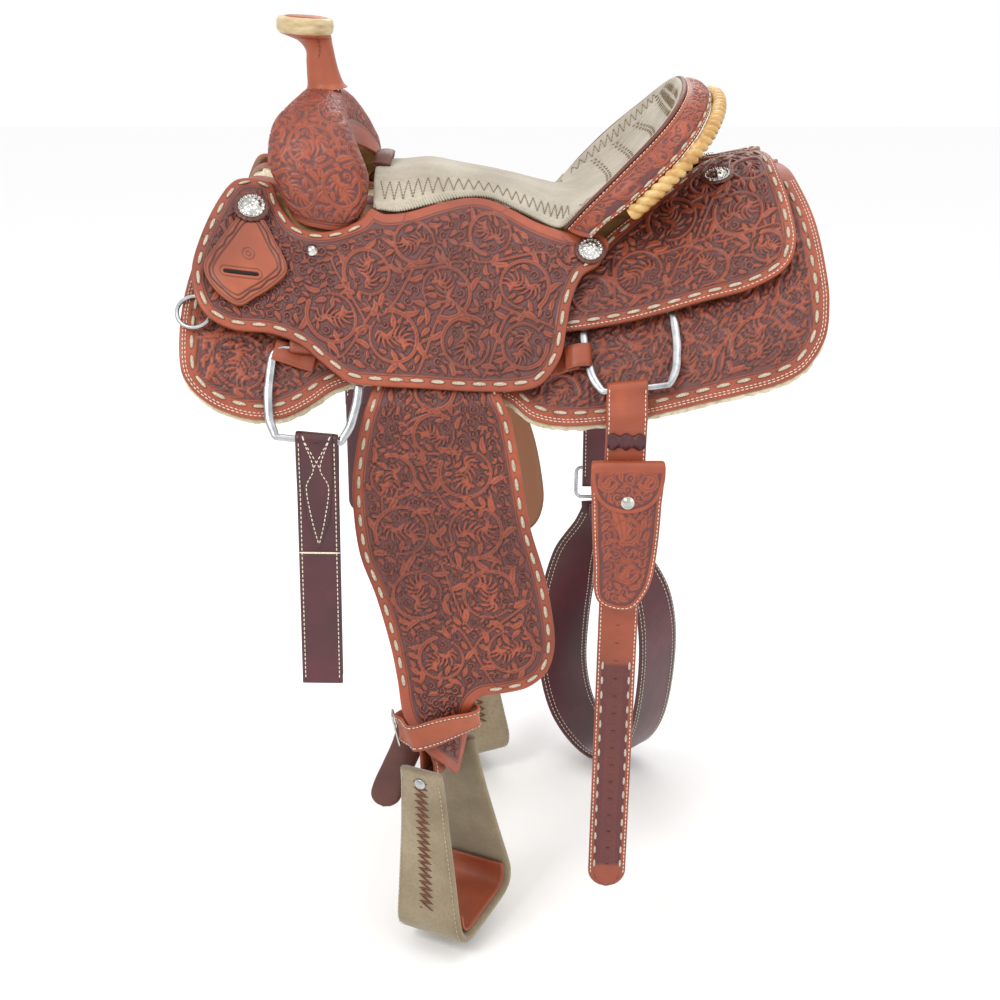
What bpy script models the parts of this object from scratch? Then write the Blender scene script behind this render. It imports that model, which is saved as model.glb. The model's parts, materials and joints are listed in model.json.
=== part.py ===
"""Team roping saddle: rawhide-covered tree, skirts, jockeys, rigging, fenders and stirrups.

Frame: metres, +Z up, -X is the front (horn), +X is the cantle, -Y is the near (left) side.
The origin is on the mid-plane under the seat, at the height where the bars bear on the back.
"""
import math

import bmesh
import bpy
from mathutils import Matrix, Vector

# ---------------------------------------------------------------- driving dimensions (metres)
TOP_RADIUS = 0.168        # radius of the back under the bars
TOP_ARC = 0.130           # arc length that this radius covers, from the ridge down
SIDE_ARC = 0.360          # arc length at which the flank becomes straight
SIDE_SLOPE = math.radians(64.0)
RIDGE_Z = 0.048           # height of the back at its lowest point
FLEECE_T = 0.0105
SKIRT_T = 0.0055
SKIRT_OUT = 0.0180        # outer face of the skirt above the horse's back
LEATHER = 0.0050
JOCKEY_LOW = 0.0400       # outer face of the seat jockey at its lower edge
JOCKEY_RISE = 0.0180      # how much higher it stands over the bars
REAR_LOW = 0.0345
REAR_RISE = 0.0030
DEE_HALF_W = 0.0050       # half width of the dee stock in the plane of the ring
DEE_HALF_T = 0.0026
STRAP_T = 0.0035
FENDER_Y = 0.2525         # outer face of the hanging fender
LEATHER_Y = 0.2440        # middle of the stirrup leather
FENDER_PIVOT = (-0.060, 0.160, -0.004)   # where the stirrup leather turns over the bar
BOLT = (-0.071, -0.2440, -0.552)  # centre of the near stirrup bolt
TURN = math.radians(62.0)         # stirrup turned out from the fender's plane
TILT = math.radians(10.0)
NEAR, OFF = -1, 1

# ---------------------------------------------------------------- scene
for ob in list(bpy.data.objects):
    bpy.data.objects.remove(ob, do_unlink=True)
PART = bpy.data.collections.new("team_roping_saddle")
CUT = bpy.data.collections.new("cutters")
bpy.context.scene.collection.children.link(PART)
bpy.context.scene.collection.children.link(CUT)

MATS = {}


def material(name, colour, rough, metal=0.0):
    m = bpy.data.materials.new(name)
    m.use_nodes = True
    b = m.node_tree.nodes["Principled BSDF"]
    b.inputs["Base Color"].default_value = (*colour, 1.0)
    b.inputs["Roughness"].default_value = rough
    b.inputs["Metallic"].default_value = metal
    m.diffuse_color = (*colour, 1.0)
    MATS[name] = m


material("skirting_leather", (0.50, 0.17, 0.08), 0.48)
material("latigo_leather", (0.13, 0.02, 0.028), 0.42)
material("roughout", (0.58, 0.49, 0.36), 0.9)
material("rawhide", (0.75, 0.56, 0.30), 0.4)
material("wood", (0.55, 0.40, 0.24), 0.6)
material("wool", (0.80, 0.74, 0.62), 0.95)
material("steel", (0.62, 0.63, 0.65), 0.28, 1.0)
material("silver", (0.75, 0.75, 0.74), 0.22, 1.0)


def finish(ob, mat):
    ob.data.materials.clear()
    ob.data.materials.append(MATS[mat])
    return ob


def new_mesh(name, bm, mat, origin=None, collection=None):
    """Object from a bmesh in world coordinates, its origin put at the given point."""
    bmesh.ops.recalc_face_normals(bm, faces=bm.faces[:])
    if origin is not None:
        bmesh.ops.translate(bm, verts=bm.verts[:], vec=-Vector(origin))
    me = bpy.data.meshes.new(name)
    bm.to_mesh(me)
    bm.free()
    me.shade_smooth()
    me.set_sharp_from_angle(angle=math.radians(40))
    ob = bpy.data.objects.new(name, me)
    if origin is not None:
        ob.location = origin
    (collection or PART).objects.link(ob)
    return finish(ob, mat)


# ---------------------------------------------------------------- curves and surfaces
def smooth(a, b, x):
    t = min(1.0, max(0.0, (x - a) / (b - a)))
    return t * t * (3 - 2 * t)


def arc(u):
    """Section of the back: distance u down from the ridge gives y, drop and slope."""
    p0 = TOP_ARC / TOP_RADIUS
    if u < TOP_ARC:
        p = u / TOP_RADIUS
        return TOP_RADIUS * math.sin(p), TOP_RADIUS * (1 - math.cos(p)), p
    r2 = (SIDE_ARC - TOP_ARC) / (SIDE_SLOPE - p0)
    p = min(SIDE_SLOPE, p0 + (u - TOP_ARC) / r2)
    y = TOP_RADIUS * math.sin(p0) + r2 * (math.sin(p) - math.sin(p0))
    z = TOP_RADIUS * (1 - math.cos(p0)) + r2 * (math.cos(p0) - math.cos(p))
    if u > SIDE_ARC:
        y += (u - SIDE_ARC) * math.cos(SIDE_SLOPE)
        z += (u - SIDE_ARC) * math.sin(SIDE_SLOPE)
    return y, z, p


def ridge(x):
    return RIDGE_Z + 0.40 * (x - 0.04) ** 2 + 0.010 * smooth(0.12, 0.27, x)


def back(x, u, n, side=NEAR):
    """Point n above the back at station x and arc distance u."""
    y, z, p = arc(u)
    return Vector((x, side * (y + n * math.sin(p)), ridge(x) - z + n * math.cos(p)))


def seat_n(x, u):
    return JOCKEY_LOW + JOCKEY_RISE * smooth(0.27, 0.14, u) * smooth(-0.30, -0.12, x)


def rear_n(x, u):
    return REAR_LOW + REAR_RISE * smooth(0.22, 0.15, u)


def spline(points, closed=False, steps=10):
    """Centripetal curve through the points, as a fine polyline."""
    pts = [Vector(p) for p in points]
    n = len(pts)
    out = []
    spans = n if closed else n - 1
    for i in range(spans):
        if closed:
            p = [pts[(i + k - 1) % n] for k in range(4)]
        else:
            p = [pts[max(0, i - 1)], pts[i], pts[i + 1], pts[min(n - 1, i + 2)]]
        for s in range(steps):
            t = s / steps
            m1 = (p[2] - p[0]) * 0.5
            m2 = (p[3] - p[1]) * 0.5
            d = (p[2] - p[1]).length
            if m1.length > d:
                m1 *= d / m1.length
            if m2.length > d:
                m2 *= d / m2.length
            out.append((2 * t**3 - 3 * t**2 + 1) * p[1] + (t**3 - 2 * t**2 + t) * m1
                       + (-2 * t**3 + 3 * t**2) * p[2] + (t**3 - t**2) * m2)
    if not closed:
        out.append(pts[-1])
    return out


def at(poly, f):
    """Point at the fraction f of a polyline's length."""
    lengths = [0.0]
    for a, b in zip(poly, poly[1:]):
        lengths.append(lengths[-1] + (b - a).length)
    d = f * lengths[-1]
    for i in range(len(poly) - 1):
        if d <= lengths[i + 1] or i == len(poly) - 2:
            w = (d - lengths[i]) / max(1e-12, lengths[i + 1] - lengths[i])
            return poly[i].lerp(poly[i + 1], min(1.0, max(0.0, w)))


def patch(outline_mm, corners, nx, ny, flank=True):
    """Grid of (x, u) points inside a closed outline given in millimetres.

    corners are the four control points where the top, right, bottom and left edges meet.
    """
    steps = 10
    loop = spline([(x / 1000, u / 1000) for x, u in outline_mm], closed=True, steps=steps)
    loop = loop + [loop[0]]
    a, b, c, d = [k * steps for k in corners]
    top = loop[a:b + 1]
    right = loop[b:c + 1]
    bottom = list(reversed(loop[c:d + 1]))
    left = list(reversed(loop[d:] + loop[1:a + 1] if a else loop[d:]))
    rows = []
    for j in range(ny + 1):
        t = j / ny
        lf, rt = at(left, t), at(right, t)
        row = []
        for i in range(nx + 1):
            s = i / nx
            tp, bt = at(top, s), at(bottom, s)
            q = (tp * (1 - t) + bt * t + lf * (1 - s) + rt * s
                 - (top[0] * (1 - s) * (1 - t) + top[-1] * s * (1 - t)
                    + bottom[0] * (1 - s) * t + bottom[-1] * s * t))
            if flank:
                q.y = max(q.y, 0.0035)
            row.append(q)
        rows.append(row)
    return rows


def sheet(name, rows, thick, mat, outward, origin=None):
    """Leather sheet: a grid bent to the given points, thickened on its inner side."""
    ny, nx = len(rows) - 1, len(rows[0]) - 1
    bm = bmesh.new()
    bmesh.ops.create_grid(bm, x_segments=nx, y_segments=ny, size=0.5)
    verts = sorted(bm.verts, key=lambda v: (round(v.co.y, 5), round(v.co.x, 5)))
    for j in range(ny + 1):
        for i in range(nx + 1):
            verts[j * (nx + 1) + i].co = rows[j][i]
    bm.normal_update()
    mid = rows[ny // 2][nx // 2]
    face = min(bm.faces, key=lambda f: (f.calc_center_median() - mid).length)
    if face.normal.dot(Vector(outward)) < 0:
        bmesh.ops.reverse_faces(bm, faces=bm.faces[:])
    if origin is not None:
        bmesh.ops.translate(bm, verts=bm.verts[:], vec=-Vector(origin))
    me = bpy.data.meshes.new(name)
    bm.to_mesh(me)
    bm.free()
    me.shade_smooth()
    ob = bpy.data.objects.new(name, me)
    if origin is not None:
        ob.location = origin
    PART.objects.link(ob)
    mod = ob.modifiers.new("thickness", "SOLIDIFY")
    mod.thickness = thick
    mod.offset = -1.0
    mod.use_rim = True
    return finish(ob, mat)


def loft(name, rings, mat, closed=False, origin=None, twisted=False):
    """Skin between rings of equal size; closed joins the last ring to the first.

    A twisted one is split into triangles, so that its four-sided faces are exact.
    """
    bm = bmesh.new()
    vs = [[bm.verts.new(p) for p in ring] for ring in rings]
    k = len(rings[0])
    n = len(rings)
    for i in range(n if closed else n - 1):
        a, b = vs[i], vs[(i + 1) % n]
        for j in range(k):
            bm.faces.new((a[j], a[(j + 1) % k], b[(j + 1) % k], b[j]))
    if not closed:
        bm.faces.new(vs[0])
        bm.faces.new(list(reversed(vs[-1])))
        bmesh.ops.triangulate(bm, faces=[f for f in bm.faces if len(f.verts) > 4])
    if twisted:
        bmesh.ops.triangulate(bm, faces=bm.faces[:])
    return new_mesh(name, bm, mat, origin)


def ribbon(name, path, across, width, thick, mat, origin=None, twisted=False):
    """Flat strap along a path; across gives the width direction at each point."""
    rings = []
    for i, p in enumerate(path):
        a = path[max(0, i - 1)]
        b = path[min(len(path) - 1, i + 1)]
        t = (b - a).normalized()
        w = Vector(across[i] if isinstance(across, list) else across)
        w = (w - t * w.dot(t)).normalized()
        n = t.cross(w)
        wd = (width[i] if isinstance(width, list) else width) / 2
        h = thick / 2
        rings.append([p + w * wd + n * h, p - w * wd + n * h, p - w * wd - n * h, p + w * wd - n * h])
    return loft(name, rings, mat, origin=origin, twisted=twisted)


def empty(name, location, axis_z=None):
    ob = bpy.data.objects.new(name, None)
    ob.location = location
    PART.objects.link(ob)
    return ob


def hang(child, parent):
    """Parent a piece to its joint's empty without moving it."""
    child.parent = parent
    child.matrix_parent_inverse = Matrix.Translation(-Vector(parent.location))


def tag(base, side):
    return base + ("_near" if side == NEAR else "_off")


def mesh_of(ob):
    """Mesh object with the modifiers or the curve of ob applied."""
    deps = bpy.context.evaluated_depsgraph_get()
    me = bpy.data.meshes.new_from_object(ob.evaluated_get(deps))
    bm = bmesh.new()
    bm.from_mesh(me)
    bmesh.ops.remove_doubles(bm, verts=bm.verts[:], dist=1e-6)
    bmesh.ops.recalc_face_normals(bm, faces=bm.faces[:])
    bm.to_mesh(me)
    bm.free()
    new = bpy.data.objects.new(ob.name, me)
    new.matrix_world = ob.matrix_world.copy()
    for c in ob.users_collection:
        c.objects.link(new)
    name = ob.name
    bpy.data.objects.remove(ob, do_unlink=True)
    new.name = name
    return new


# ---------------------------------------------------------------- outlines on the near side, in mm
# (x, distance down the side); the off side mirrors them
SEAT_JOCKEY = [(-291, 88), (-257, 84), (-244, 110), (-226, 131), (-205, 137), (-181, 133), (-154, 119), (-143, 106),
               (-127, 110), (-100, 104), (-67, 90), (-34, 80), (-11, 82), (11, 92), (39, 107), (66, 117), (84, 121),
               (107, 122), (119, 134), (108, 156), (90, 168), (78, 193), (72, 223), (65, 253), (44, 280), (16, 287),
               (-22, 289), (-86, 290), (-134, 293), (-161, 293), (-188, 279), (-215, 262), (-247, 257), (-284, 262),
               (-311, 256), (-326, 238), (-332, 208), (-324, 164), (-310, 120)]
SEAT_JOCKEY_CORNERS = (0, 18, 24, 34)
REAR_JOCKEY = [(246, 4), (296, 4), (309, 27), (315, 77), (321, 119), (324, 156), (317, 181), (300, 195), (265, 205),
               (219, 207), (153, 212), (77, 220), (40, 221), (58, 180), (86, 146), (118, 112), (160, 80), (205, 45)]
REAR_JOCKEY_CORNERS = (0, 1, 7, 12)
SKIRT = [(-276, 44), (-230, 40), (-150, 38), (-50, 38), (60, 38), (150, 32), (215, 14), (260, 5), (320, 4), (331, 30),
         (339, 79), (351, 138), (357, 196), (358, 231), (352, 269), (331, 298), (302, 309), (259, 313), (206, 314),
         (152, 316), (108, 319), (65, 319), (33, 311), (8, 292), (-35, 281), (-90, 277), (-140, 281), (-178, 297),
         (-205, 320), (-231, 338), (-256, 346), (-279, 348), (-305, 345), (-327, 335), (-341, 318), (-345, 290),
         (-344, 250), (-338, 208), (-325, 155), (-308, 104), (-292, 66)]
SKIRT_CORNERS = (0, 8, 15, 33)
FENDER = [(-110, -10), (-90, -8), (-60, -8), (-28, -8), (-12, -10), (-6, -60), (0, -102), (11, -130), (22, -187), (33, -256),
          (50, -316), (59, -364), (62, -401), (54, -432), (34, -451), (6, -459), (-22, -464), (-36, -482),
          (-44, -521), (-53, -548), (-66, -564), (-84, -549), (-102, -527), (-112, -489), (-116, -451), (-124, -401),
          (-139, -340), (-155, -292), (-161, -245), (-161, -198), (-151, -141), (-137, -97), (-122, -52)]
FENDER_CORNERS = (0, 4, 19, 20)


# ---------------------------------------------------------------- tree: bars, fork, horn, cantle, ground seat
def bar_top(x, u):
    t = 0.007 + 0.012 * smooth(0.07, 0.12, u)
    return 0.0190 + t * (1 - 0.48 * smooth(0.02, 0.085, x)) * (1 - 0.75 * smooth(-0.21, -0.285, x))


def make_bar(side):
    rows = []
    for j in range(5):
        w = j / 4
        row = []
        for i in range(11):
            x = -0.285 + 0.555 * i / 10
            lo = 0.068 + 0.012 * smooth(-0.05, -0.28, x) - 0.016 * smooth(0.12, 0.27, x)
            hi = 0.150 - 0.014 * smooth(0.12, 0.27, x) - 0.008 * smooth(-0.2, -0.285, x)
            row.append((x, lo + (hi - lo) * w))
        rows.append(row)
    bm = bmesh.new()
    ny, nx = 4, 10
    up = [[bm.verts.new(back(x, u, bar_top(x, u), side)) for x, u in row] for row in rows]
    dn = [[bm.verts.new(back(x, u, 0.0190, side)) for x, u in row] for row in rows]
    for j in range(ny):
        for i in range(nx):
            bm.faces.new((up[j][i], up[j][i + 1], up[j + 1][i + 1], up[j + 1][i]))
            bm.faces.new((dn[j][i], dn[j + 1][i], dn[j + 1][i + 1], dn[j][i + 1]))
    for i in range(nx):
        bm.faces.new((up[0][i], dn[0][i], dn[0][i + 1], up[0][i + 1]))
        bm.faces.new((up[ny][i], up[ny][i + 1], dn[ny][i + 1], dn[ny][i]))
    for j in range(ny):
        bm.faces.new((up[j][0], up[j + 1][0], dn[j + 1][0], dn[j][0]))
        bm.faces.new((up[j][nx], dn[j][nx], dn[j + 1][nx], up[j + 1][nx]))
    return new_mesh(tag("tree_bar", side), bm, "wood")


# fork, seen from the front: (y, z) of the outer face and of the gullet, and its x range
FORK_OUT = [(0.1500, 0.0560), (0.1505, 0.078), (0.1480, 0.100), (0.1405, 0.128), (0.1250, 0.155), (0.0990, 0.1755),
            (0.064, 0.1870), (0.030, 0.1922), (0.0, 0.1935)]
FORK_IN = [(0.1000, 0.0795), (0.096, 0.090), (0.088, 0.100), (0.078, 0.107), (0.064, 0.1145), (0.047, 0.121),
           (0.031, 0.1255), (0.015, 0.128), (0.0, 0.129)]
FORK_X = [(-0.2330, -0.1590), (-0.2420, -0.1490), (-0.2480, -0.1475), (-0.2565, -0.1495), (-0.2575, -0.1580),
          (-0.2550, -0.1670), (-0.2440, -0.1730), (-0.2370, -0.1760), (-0.2350, -0.1770)]


def fork_stations():
    """Stations round the arch from the near foot to the off foot."""
    k = len(FORK_OUT)
    seq = [(i, NEAR) for i in range(k)] + [(i, OFF) for i in range(k - 2, -1, -1)]
    out = []
    for i, side in seq:
        o = Vector((0, side * FORK_OUT[i][0], FORK_OUT[i][1]))
        n = Vector((0, side * FORK_IN[i][0], FORK_IN[i][1]))
        out.append((o, n, FORK_X[i], max(0.0, 1 - i / 3)))
    return out


def fork_ring(o, n, xr, foot, inset=0.0):
    """Section of the fork: flat gullet side, domed outer side with round shoulders.

    The feet follow the rise of the bars from back to front.
    """
    r = (o - n).normalized()
    d = (o - n).length
    x0, x1 = xr[0] + inset, xr[1] - inset
    xm, h = (x0 + x1) / 2, (x1 - x0) / 2
    pts = []
    # from the front foot of the section over the outer face to the rear foot
    for f, g in ((-1.0, 0.0), (-1.0, 0.45), (-0.96, 0.70), (-0.80, 0.88), (-0.45, 0.98), (0.0, 1.0),
                 (0.45, 0.98), (0.80, 0.88), (0.96, 0.70), (1.0, 0.45), (1.0, 0.0)):
        x = xm + h * f
        lift = foot * (ridge(x) - ridge(-0.200))
        pts.append(Vector((x, 0, lift)) + n + r * ((d - inset) * g))
    return pts


def make_fork():
    inset = 0.0055
    rings = []
    st = fork_stations()
    for o, n, xr, foot in st:
        rings.append(fork_ring(o, n, xr, foot, inset))
    ob = loft("tree_fork", rings, "wood")
    # socket of the horn post
    post = cylinder("horn_socket_cut", (-0.2010, 0, 0.170), 0.0175, 0.09, HORN_LEAN, CUT)
    cut(ob, post)
    return ob


def make_swell_cover():
    """Cover wrapped over the fork: front, outer side and back, open on the gullet side."""
    bm = bmesh.new()
    outer, inner = [], []
    st = fork_stations()
    for o, n, xr, foot in st:
        outer.append([bm.verts.new(p) for p in fork_ring(o, n, xr, foot)])
        inner.append([bm.verts.new(p) for p in fork_ring(o, n, xr, foot, 0.0042)])
    m, k = len(st), len(outer[0])
    for i in range(m - 1):
        for j in range(k - 1):
            bm.faces.new((outer[i][j], outer[i][j + 1], outer[i + 1][j + 1], outer[i + 1][j]))
            bm.faces.new((inner[i][j], inner[i + 1][j], inner[i + 1][j + 1], inner[i][j + 1]))
        bm.faces.new((outer[i][0], outer[i + 1][0], inner[i + 1][0], inner[i][0]))
        bm.faces.new((outer[i][k - 1], inner[i][k - 1], inner[i + 1][k - 1], outer[i + 1][k - 1]))
    for j in range(k - 1):
        bm.faces.new((outer[0][j], inner[0][j], inner[0][j + 1], outer[0][j + 1]))
        bm.faces.new((outer[m - 1][j], outer[m - 1][j + 1], inner[m - 1][j + 1], inner[m - 1][j]))
    ob = new_mesh("swell_cover", bm, "skirting_leather")
    post = cylinder("swell_hole_cut", (-0.2010, 0, 0.190), 0.0178, 0.06, HORN_LEAN, CUT)
    cut(ob, post)
    return ob


HORN_LEAN = math.radians(-6.0)


def cylinder(name, centre, radius, length, lean, collection, segments=20):
    bm = bmesh.new()
    bmesh.ops.create_cone(bm, cap_ends=True, segments=segments, radius1=radius, radius2=radius, depth=length)
    me = bpy.data.meshes.new(name)
    bm.to_mesh(me)
    bm.free()
    ob = bpy.data.objects.new(name, me)
    ob.location = centre
    ob.rotation_euler = (0, lean, 0)
    collection.objects.link(ob)
    if collection is CUT:
        ob.hide_render = True
        ob.display_type = "WIRE"
    return ob


def cut(ob, cutter):
    mod = ob.modifiers.new("cut", "BOOLEAN")
    mod.operation = "DIFFERENCE"
    mod.solver = "EXACT"
    mod.object = cutter


def stack(name, rings, mat, segments=16):
    """Solid of round sections: (centre, radius, tilt about Y)."""
    out = []
    for c, r, tilt in rings:
        m = Matrix.Translation(c) @ Matrix.Rotation(tilt, 4, "Y")
        out.append([m @ Vector((r * math.cos(2 * math.pi * k / segments), r * math.sin(2 * math.pi * k / segments), 0))
                    for k in range(segments)])
    return loft(name, out, mat)


CAP_TILT = math.radians(4.0)
CAP = Vector((-0.2230, 0, 0.2615))     # centre of the cap's band
CAP_R = 0.0325


def cap_point(dz, dx=0.0):
    return CAP + Matrix.Rotation(CAP_TILT, 3, "Y") @ Vector((dx, 0, dz))


def make_horn():
    # steel core: post, neck and cap plate in one casting
    stack("horn_core", [
        (Vector((-0.1990, 0, 0.148)), 0.0168, HORN_LEAN), (Vector((-0.2021, 0, 0.1968)), 0.0150, HORN_LEAN),
        (Vector((-0.2046, 0, 0.211)), 0.0140, HORN_LEAN), (Vector((-0.2062, 0, 0.224)), 0.0125, HORN_LEAN),
        (Vector((-0.2068, 0, 0.235)), 0.0116, 0.0),
        (cap_point(-0.0160, 0.0115), 0.0142, CAP_TILT), (cap_point(-0.0092, 0.0010), 0.0212, CAP_TILT),
        (cap_point(-0.0040), 0.0245, CAP_TILT), (cap_point(0.0045), 0.0245, CAP_TILT)], "steel")
    # leather wrap of the neck, a sleeve that flares under the cap
    prof = [(Vector((-0.2021, 0, 0.1968)), 0.0205, 0.0158), (Vector((-0.2046, 0, 0.211)), 0.0180, 0.0148),
            (Vector((-0.2062, 0, 0.224)), 0.0166, 0.0133), (Vector((-0.2068, 0, 0.235)), 0.0155, 0.0124),
            (cap_point(-0.0160, 0.0115), 0.0195, 0.0150), (cap_point(-0.0092, 0.0010), 0.0290, 0.0220)]
    segs = 16
    bm = bmesh.new()
    tilts = [HORN_LEAN, HORN_LEAN, HORN_LEAN, 0.0, CAP_TILT, CAP_TILT]
    outer, inner = [], []
    for (c, ro, ri), tilt in zip(prof, tilts):
        m = Matrix.Translation(c) @ Matrix.Rotation(tilt, 4, "Y")
        for lst, r in ((outer, ro), (inner, ri)):
            lst.append([bm.verts.new(m @ Vector((r * math.cos(2 * math.pi * k / segs),
                                                 r * math.sin(2 * math.pi * k / segs), 0))) for k in range(segs)])
    n = len(prof)
    for i in range(n - 1):
        for j in range(segs):
            q = (j + 1) % segs
            bm.faces.new((outer[i][j], outer[i][q], outer[i + 1][q], outer[i + 1][j]))
            bm.faces.new((inner[i][j], inner[i + 1][j], inner[i + 1][q], inner[i][q]))
    for j in range(segs):
        q = (j + 1) % segs
        bm.faces.new((outer[0][j], inner[0][j], inner[0][q], outer[0][q]))
        bm.faces.new((outer[n - 1][j], outer[n - 1][q], inner[n - 1][q], inner[n - 1][j]))
    new_mesh("horn_wrap", bm, "skirting_leather")
    # leather disc on top
    stack("horn_cap", [(cap_point(0.0050), 0.0238, CAP_TILT), (cap_point(0.0090), 0.0240, CAP_TILT),
                       (cap_point(0.0108), 0.0215, CAP_TILT)], "skirting_leather", 20)
    # rawhide band round the edge, turned about the cap's axis
    me = bpy.data.meshes.new("horn_binding")
    bm = bmesh.new()
    pr = [(0.0262, 0.0098), (0.0300, 0.0092), (0.0325, 0.0050), (0.0325, -0.0030), (0.0300, -0.0080), (0.0262, -0.0085)]
    vs = [bm.verts.new((r, 0, z)) for r, z in pr]
    for a, b in zip(vs, vs[1:]):
        bm.edges.new((a, b))
    bm.edges.new((vs[-1], vs[0]))
    bm.to_mesh(me)
    bm.free()
    ob = bpy.data.objects.new("horn_binding", me)
    ob.matrix_world = Matrix.Translation(CAP) @ Matrix.Rotation(CAP_TILT, 4, "Y")
    PART.objects.link(ob)
    s = ob.modifiers.new("turn", "SCREW")
    s.steps = s.render_steps = 24
    s.use_merge_vertices = True
    s.merge_threshold = 0.00001
    s.use_normal_calculate = True
    finish(ob, "rawhide")


# seat: centre line and near edge of each cross-section, front to back
SEAT_ROWS = [  # centre x, centre z, edge x, edge u (mm) or edge y, z
    ((-0.1440, 0.1080), (-0.1400, 0.1045)), ((-0.1150, 0.1075), (-0.1130, 0.1040)),
    ((-0.0820, 0.1100), (-0.0800, 0.0920)), ((-0.0470, 0.1035), (-0.0450, 0.0795)),
    ((-0.0120, 0.0960), (-0.0110, 0.0780)), ((0.0200, 0.0885), (0.0200, 0.0930)),
    ((0.0500, 0.0805), (0.0470, 0.1065)), ((0.0750, 0.0760), (0.0670, 0.1130))]
CANTLE_ROWS = [
    ((0.0950, 0.0770), (0.0880, -0.1560, 0.0790)), ((0.1150, 0.0850), (0.1160, -0.1600, 0.1080)),
    ((0.1370, 0.0990), (0.1375, -0.1550, 0.1290)), ((0.1580, 0.1190), (0.1570, -0.1450, 0.1470)),
    ((0.1780, 0.1440), (0.1750, -0.1300, 0.1640)), ((0.1940, 0.1700), (0.1900, -0.1090, 0.1800)),
    ((0.2060, 0.2030), (0.2010, -0.0780, 0.1930))]
N_SEAT = len(SEAT_ROWS)
N_ROWS = N_SEAT + len(CANTLE_ROWS)


def seat_lines():
    centre, edge = [], []
    for (cx, cz), (ex, eu) in SEAT_ROWS:
        centre.append(Vector((cx, 0, cz)))
        edge.append(back(ex, eu - 0.0015, seat_n(ex, eu)))
    for (cx, cz), e in CANTLE_ROWS:
        centre.append(Vector((cx, 0, cz)))
        edge.append(Vector(e))
    return spline(centre), spline(edge)


SEAT_C, SEAT_E = seat_lines()


def seat_point(s, v):
    """Seat surface: s counts the cross-sections from the front, v runs -1 (near) to 1 (off)."""
    k = min(len(SEAT_C) - 1, max(0.0, s * 10))
    i = min(int(k), len(SEAT_C) - 2)
    c = SEAT_C[i].lerp(SEAT_C[i + 1], k - i)
    e = SEAT_E[i].lerp(SEAT_E[i + 1], k - i)
    a = abs(v)
    return Vector((c.x + (e.x - c.x) * a * a, e.y * a * (1 if v < 0 else -1), c.z + (e.z - c.z) * a**2.3))


def seat_normal(s, v):
    h = 0.02
    du = seat_point(min(N_ROWS - 1, s + h), v) - seat_point(max(0, s - h), v)
    dv = seat_point(s, min(1, v + h)) - seat_point(s, max(-1, v - h))
    n = du.cross(dv).normalized()
    return n if n.z > 0 else -n


def seat_layer(name, s0, s1, vmax, ns, nv, depth, thick, mat):
    rows = []
    for j in range(ns + 1):
        s = s0 + (s1 - s0) * j / ns
        rows.append([seat_point(s, v) - seat_normal(s, v) * depth
                     for v in [vmax * (2 * i / nv - 1) for i in range(nv + 1)]])
    return sheet(name, rows, thick, mat, (-0.3, 0, 1))


RIM = [Vector(e) for _, e in CANTLE_ROWS]
ROLL_IN = RIM + [Vector((0.2060, -0.040, 0.2005)), Vector((0.2070, 0, 0.2040))]
ROLL_OUT = [Vector((0.1150, -0.1680, 0.0650)), Vector((0.1369, -0.1740, 0.0813)), Vector((0.1560, -0.1750, 0.0985)),
            Vector((0.1745, -0.1700, 0.1155)), Vector((0.1915, -0.1600, 0.1300)), Vector((0.2040, -0.1480, 0.1425)),
            Vector((0.2175, -0.1290, 0.1565)), Vector((0.2325, -0.0900, 0.1750)), Vector((0.2395, -0.0450, 0.1855)),
            Vector((0.2410, 0, 0.1885))]


def mirror_line(pts):
    line = spline(pts)
    return line[:-1] + [Vector((p.x, -p.y, p.z)) for p in reversed(line)]


def make_cantle():
    inner, outer = mirror_line(ROLL_IN), mirror_line(ROLL_OUT)
    n = 20
    rows = []
    for i in range(n + 1):
        f = i / n
        a, b = at(inner, f), at(outer, f)
        d = (b - a).normalized()
        tang = (at(inner, min(1, f + 0.02)) - at(inner, max(0, f - 0.02))).normalized()
        nrm = tang.cross(d).normalized()
        if nrm.dot(Vector((0.35, math.copysign(0.4, a.y) if abs(a.y) > 0.02 else 0, 0.8))) < 0:
            nrm = -nrm
        rows.append([a + d * 0.0056, a.lerp(b, 0.38) + nrm * 0.0055, a.lerp(b, 0.7) + nrm * 0.0055, b])
    grid = [[rows[i][j] for i in range(n + 1)] for j in range(4)]
    mid = grid[1][n // 2]
    sheet("cantle_roll", grid, 0.0045, "skirting_leather", (0.4, 0, 0.8))
    # twisted rawhide binding hanging on the roll's lower edge
    pts = []
    m = 34
    for i in range(m + 1):
        f = 0.035 + 0.93 * i / m
        a, b = at(inner, f), at(outer, f)
        pts.append(b + (b - a).normalized() * 0.0095)
    cu = bpy.data.curves.new("cantle_binding", "CURVE")
    cu.dimensions = "3D"
    sp = cu.splines.new("POLY")
    sp.points.add(len(pts) - 1)
    for q, p in zip(sp.points, pts):
        q.co = (*p, 1)
    cu.bevel_depth = 0.0078
    cu.bevel_resolution = 2
    cu.use_fill_caps = True
    ob = bpy.data.objects.new("cantle_binding", cu)
    PART.objects.link(ob)
    finish(ob, "rawhide")
    seat_layer("cantle_core", 9.4, 13.2, 0.80, 6, 8, 0.0058, 0.0100, "wood")
    seat_layer("cantle_back", 9.5, 12.9, 0.78, 6, 8, 0.0166, 0.0035, "skirting_leather")


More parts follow.
